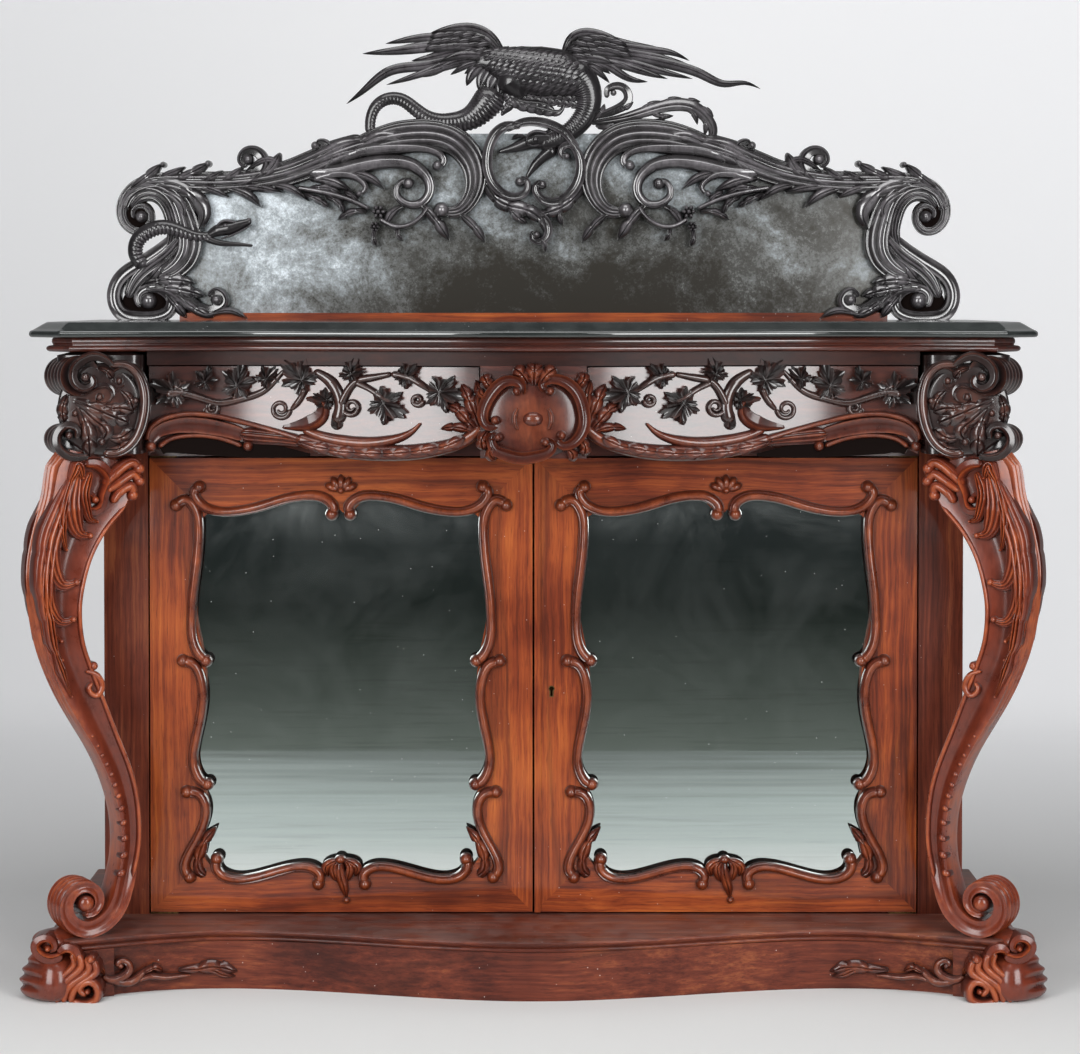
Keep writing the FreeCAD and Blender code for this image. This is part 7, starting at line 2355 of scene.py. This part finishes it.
# Glow of the card: a painted reflection of the dim studio, lighter near the floor.
CARD_GLOW_STOPS = (
    (0.0, (0.13, 0.145, 0.13)),
    (0.12, (0.065, 0.074, 0.065)),
    (0.32, (0.008, 0.011, 0.009)),
    (0.62, (0.02, 0.023, 0.025)),
    (1.0, (0.05, 0.052, 0.05)),
)
WORLD_COLOUR = (0.92, 0.94, 1.0, 1)
WORLD_LIGHT = 0.3
WORLD_REFLECTED = 0.07
WORLD_SHOWN = 0.42
SOFTBOXES = [
    ("softbox_left", (-1.42, -2.3, 1.3), (-0.3, 0, 0.8), 1.3, 1.8, 50),
    ("softbox_right", (1.42, -2.3, 1.3), (0.3, 0, 0.8), 1.3, 1.8, 50),
    ("softbox_top", (0, -0.9, 3.2), (0, 0, 0.8), 2.4, 1.2, 28),
]


def placed(name, data):
    """A new object in the scene."""
    thing = bpy.data.objects.new(name, data)
    bpy.context.scene.collection.objects.link(thing)
    return thing


def paper_finish():
    """Pale paper that glows a little towards its back; in reflections it darkens to boards towards the
    viewer, and from behind it can be seen through."""
    material, tree, surface = fresh("stage_paper")
    place = object_places(tree)
    parts = axes(tree, place)
    board = noise(tree, mapped(tree, place, Scale=BOARD_STRETCH), Scale=1.0, Detail=3.0)
    before = times(tree, span(tree, parts["Y"], *PAPER_DARKENS), span(tree, board, *BOARD_TONES))
    seen_straight = node(tree, "ShaderNodeLightPath").outputs["Is Camera Ray"]
    colour = blend(tree, seen_straight, ramp(tree, before, PAPER_STOPS), (*PAPER_PALE, 1))
    glow = maths(tree, "ADD", span(tree, parts["X"], *GLOW_ACROSS), span(tree, parts["Z"], *GLOW_UP))
    shown = times(tree, glow, span(tree, parts["Y"], *GLOW_BACK))
    settle(tree, surface, Base_Color=colour, Roughness=0.9, Emission_Color=GLOW_COLOUR,
           Emission_Strength=times(tree, shown, seen_straight))
    mix = node(tree, "ShaderNodeMixShader", at_0=node(tree, "ShaderNodeNewGeometry").outputs["Backfacing"],
               at_1=surface.outputs["BSDF"], at_2=node(tree, "ShaderNodeBsdfTransparent").outputs[0])
    tree.links.new(mix.outputs[0], tree.nodes["Material Output"].inputs["Surface"])
    return material


def stage_sweep():
    """A pale floor that turns up into a backdrop: a level run, a quarter round and an upright run."""
    angle = np.linspace(0, QUARTER, SWEEP_STATIONS)
    bend = np.stack([FLOOR_FAR + SWEEP_RADIUS * np.sin(angle), SWEEP_RADIUS * (1 - np.cos(angle))], axis=1)
    profile = np.vstack([[(FLOOR_NEAR, 0.0)], bend, [(FLOOR_FAR + SWEEP_RADIUS, SWEEP_TOP)]])
    width = np.array([-STAGE_HALF, STAGE_HALF])
    grid = np.stack([np.tile(width, (len(profile), 1)), np.tile(profile[:, :1], (1, 2)),
                     np.tile(profile[:, 1:], (1, 2))], axis=-1)
    spots, quads, _, _ = loft(grid, sheet=True)
    mesh = bpy.data.meshes.new("stage_sweep")
    mesh.from_pydata(spots.tolist(), [], quads.tolist())
    mesh.shade_smooth()
    mesh.materials.append(paper_finish())
    thing = placed("stage_sweep", mesh)


def stage_card(name, corners):
    """A dark studio card that only reflections see: its faint glow, lighter towards the floor, is a painted
    reflection of the dim studio.
    """
    mesh = bpy.data.meshes.new(name)
    mesh.from_pydata(corners, [], [(0, 1, 2, 3)])
    material, tree, surface = fresh(name)
    height = span(tree, axes(tree, object_places(tree))["Z"], 0.0, 1.0)
    settle(tree, surface, Base_Color=CARD_BLACK, Roughness=1.0,
           Emission_Color=ramp(tree, height, CARD_GLOW_STOPS), Emission_Strength=1.0)
    mesh.materials.append(material)
    thing = placed(name, mesh)
    thing.visible_camera = False
    thing.visible_diffuse = False
    thing.visible_shadow = False
    thing.visible_transmission = False


def softbox(name, place, aim, width, height, power):
    """A soft rectangular lamp aimed at a point."""
    lamp = bpy.data.lights.new(name, "AREA")
    lamp.shape = "RECTANGLE"
    lamp.size = width
    lamp.size_y = height
    lamp.energy = power
    thing = placed(name, lamp)
    way = np.asarray(aim, float) - np.asarray(place, float)
    flat = math.hypot(way[0], way[1])
    thing.location = place
    thing.rotation_euler = (math.atan2(flat, -way[2]), 0, math.atan2(way[1], way[0]) - QUARTER)


def stage_world():
    """Even pale light from all round, dimmer where reflections look, as in a darkened studio."""
    world = bpy.data.worlds.new("studio")
    bpy.context.scene.world = world
    world.use_nodes = True
    tree = world.node_tree
    path = node(tree, "ShaderNodeLightPath").outputs
    dimmed = span(tree, path["Is Glossy Ray"], 0.0, 1.0, WORLD_LIGHT, WORLD_REFLECTED)
    shown = times(tree, path["Is Camera Ray"], WORLD_SHOWN)
    settle(tree, tree.nodes["Background"], Color=WORLD_COLOUR, Strength=maths(tree, "ADD", dimmed, shown))


def photo_camera():
    """A camera at the photograph's place, with its horizon high in the frame by pitch and shift."""
    lens = bpy.data.cameras.new("photo_camera")
    lens.sensor_width = SENSOR_WIDTH
    lens.lens = FOCAL_PIXELS / PHOTO_WIDTH * SENSOR_WIDTH
    fall = PHOTO_HEIGHT / 2 - HORIZON_ROW
    lens.shift_y = -(fall - FOCAL_PIXELS * math.tan(CAMERA_PITCH)) / PHOTO_WIDTH
    lens.shift_x = (PHOTO_WIDTH / 2 - MIDDLE_COLUMN) / PHOTO_WIDTH
    lens.clip_start = CAMERA_NEAR
    thing = placed("photo_camera", lens)
    thing.location = (0, -CAMERA_DISTANCE * METRE, CAMERA_HEIGHT * METRE)
    thing.rotation_euler = (QUARTER - CAMERA_PITCH, 0, 0)
    bpy.context.scene.camera = thing


stage_sweep()
stage_card("stage_card_front", CARD_CORNERS)
for lamp in SOFTBOXES:
    softbox(*lamp)
stage_world()
photo_camera()
bpy.context.scene.view_settings.view_transform = "Standard"
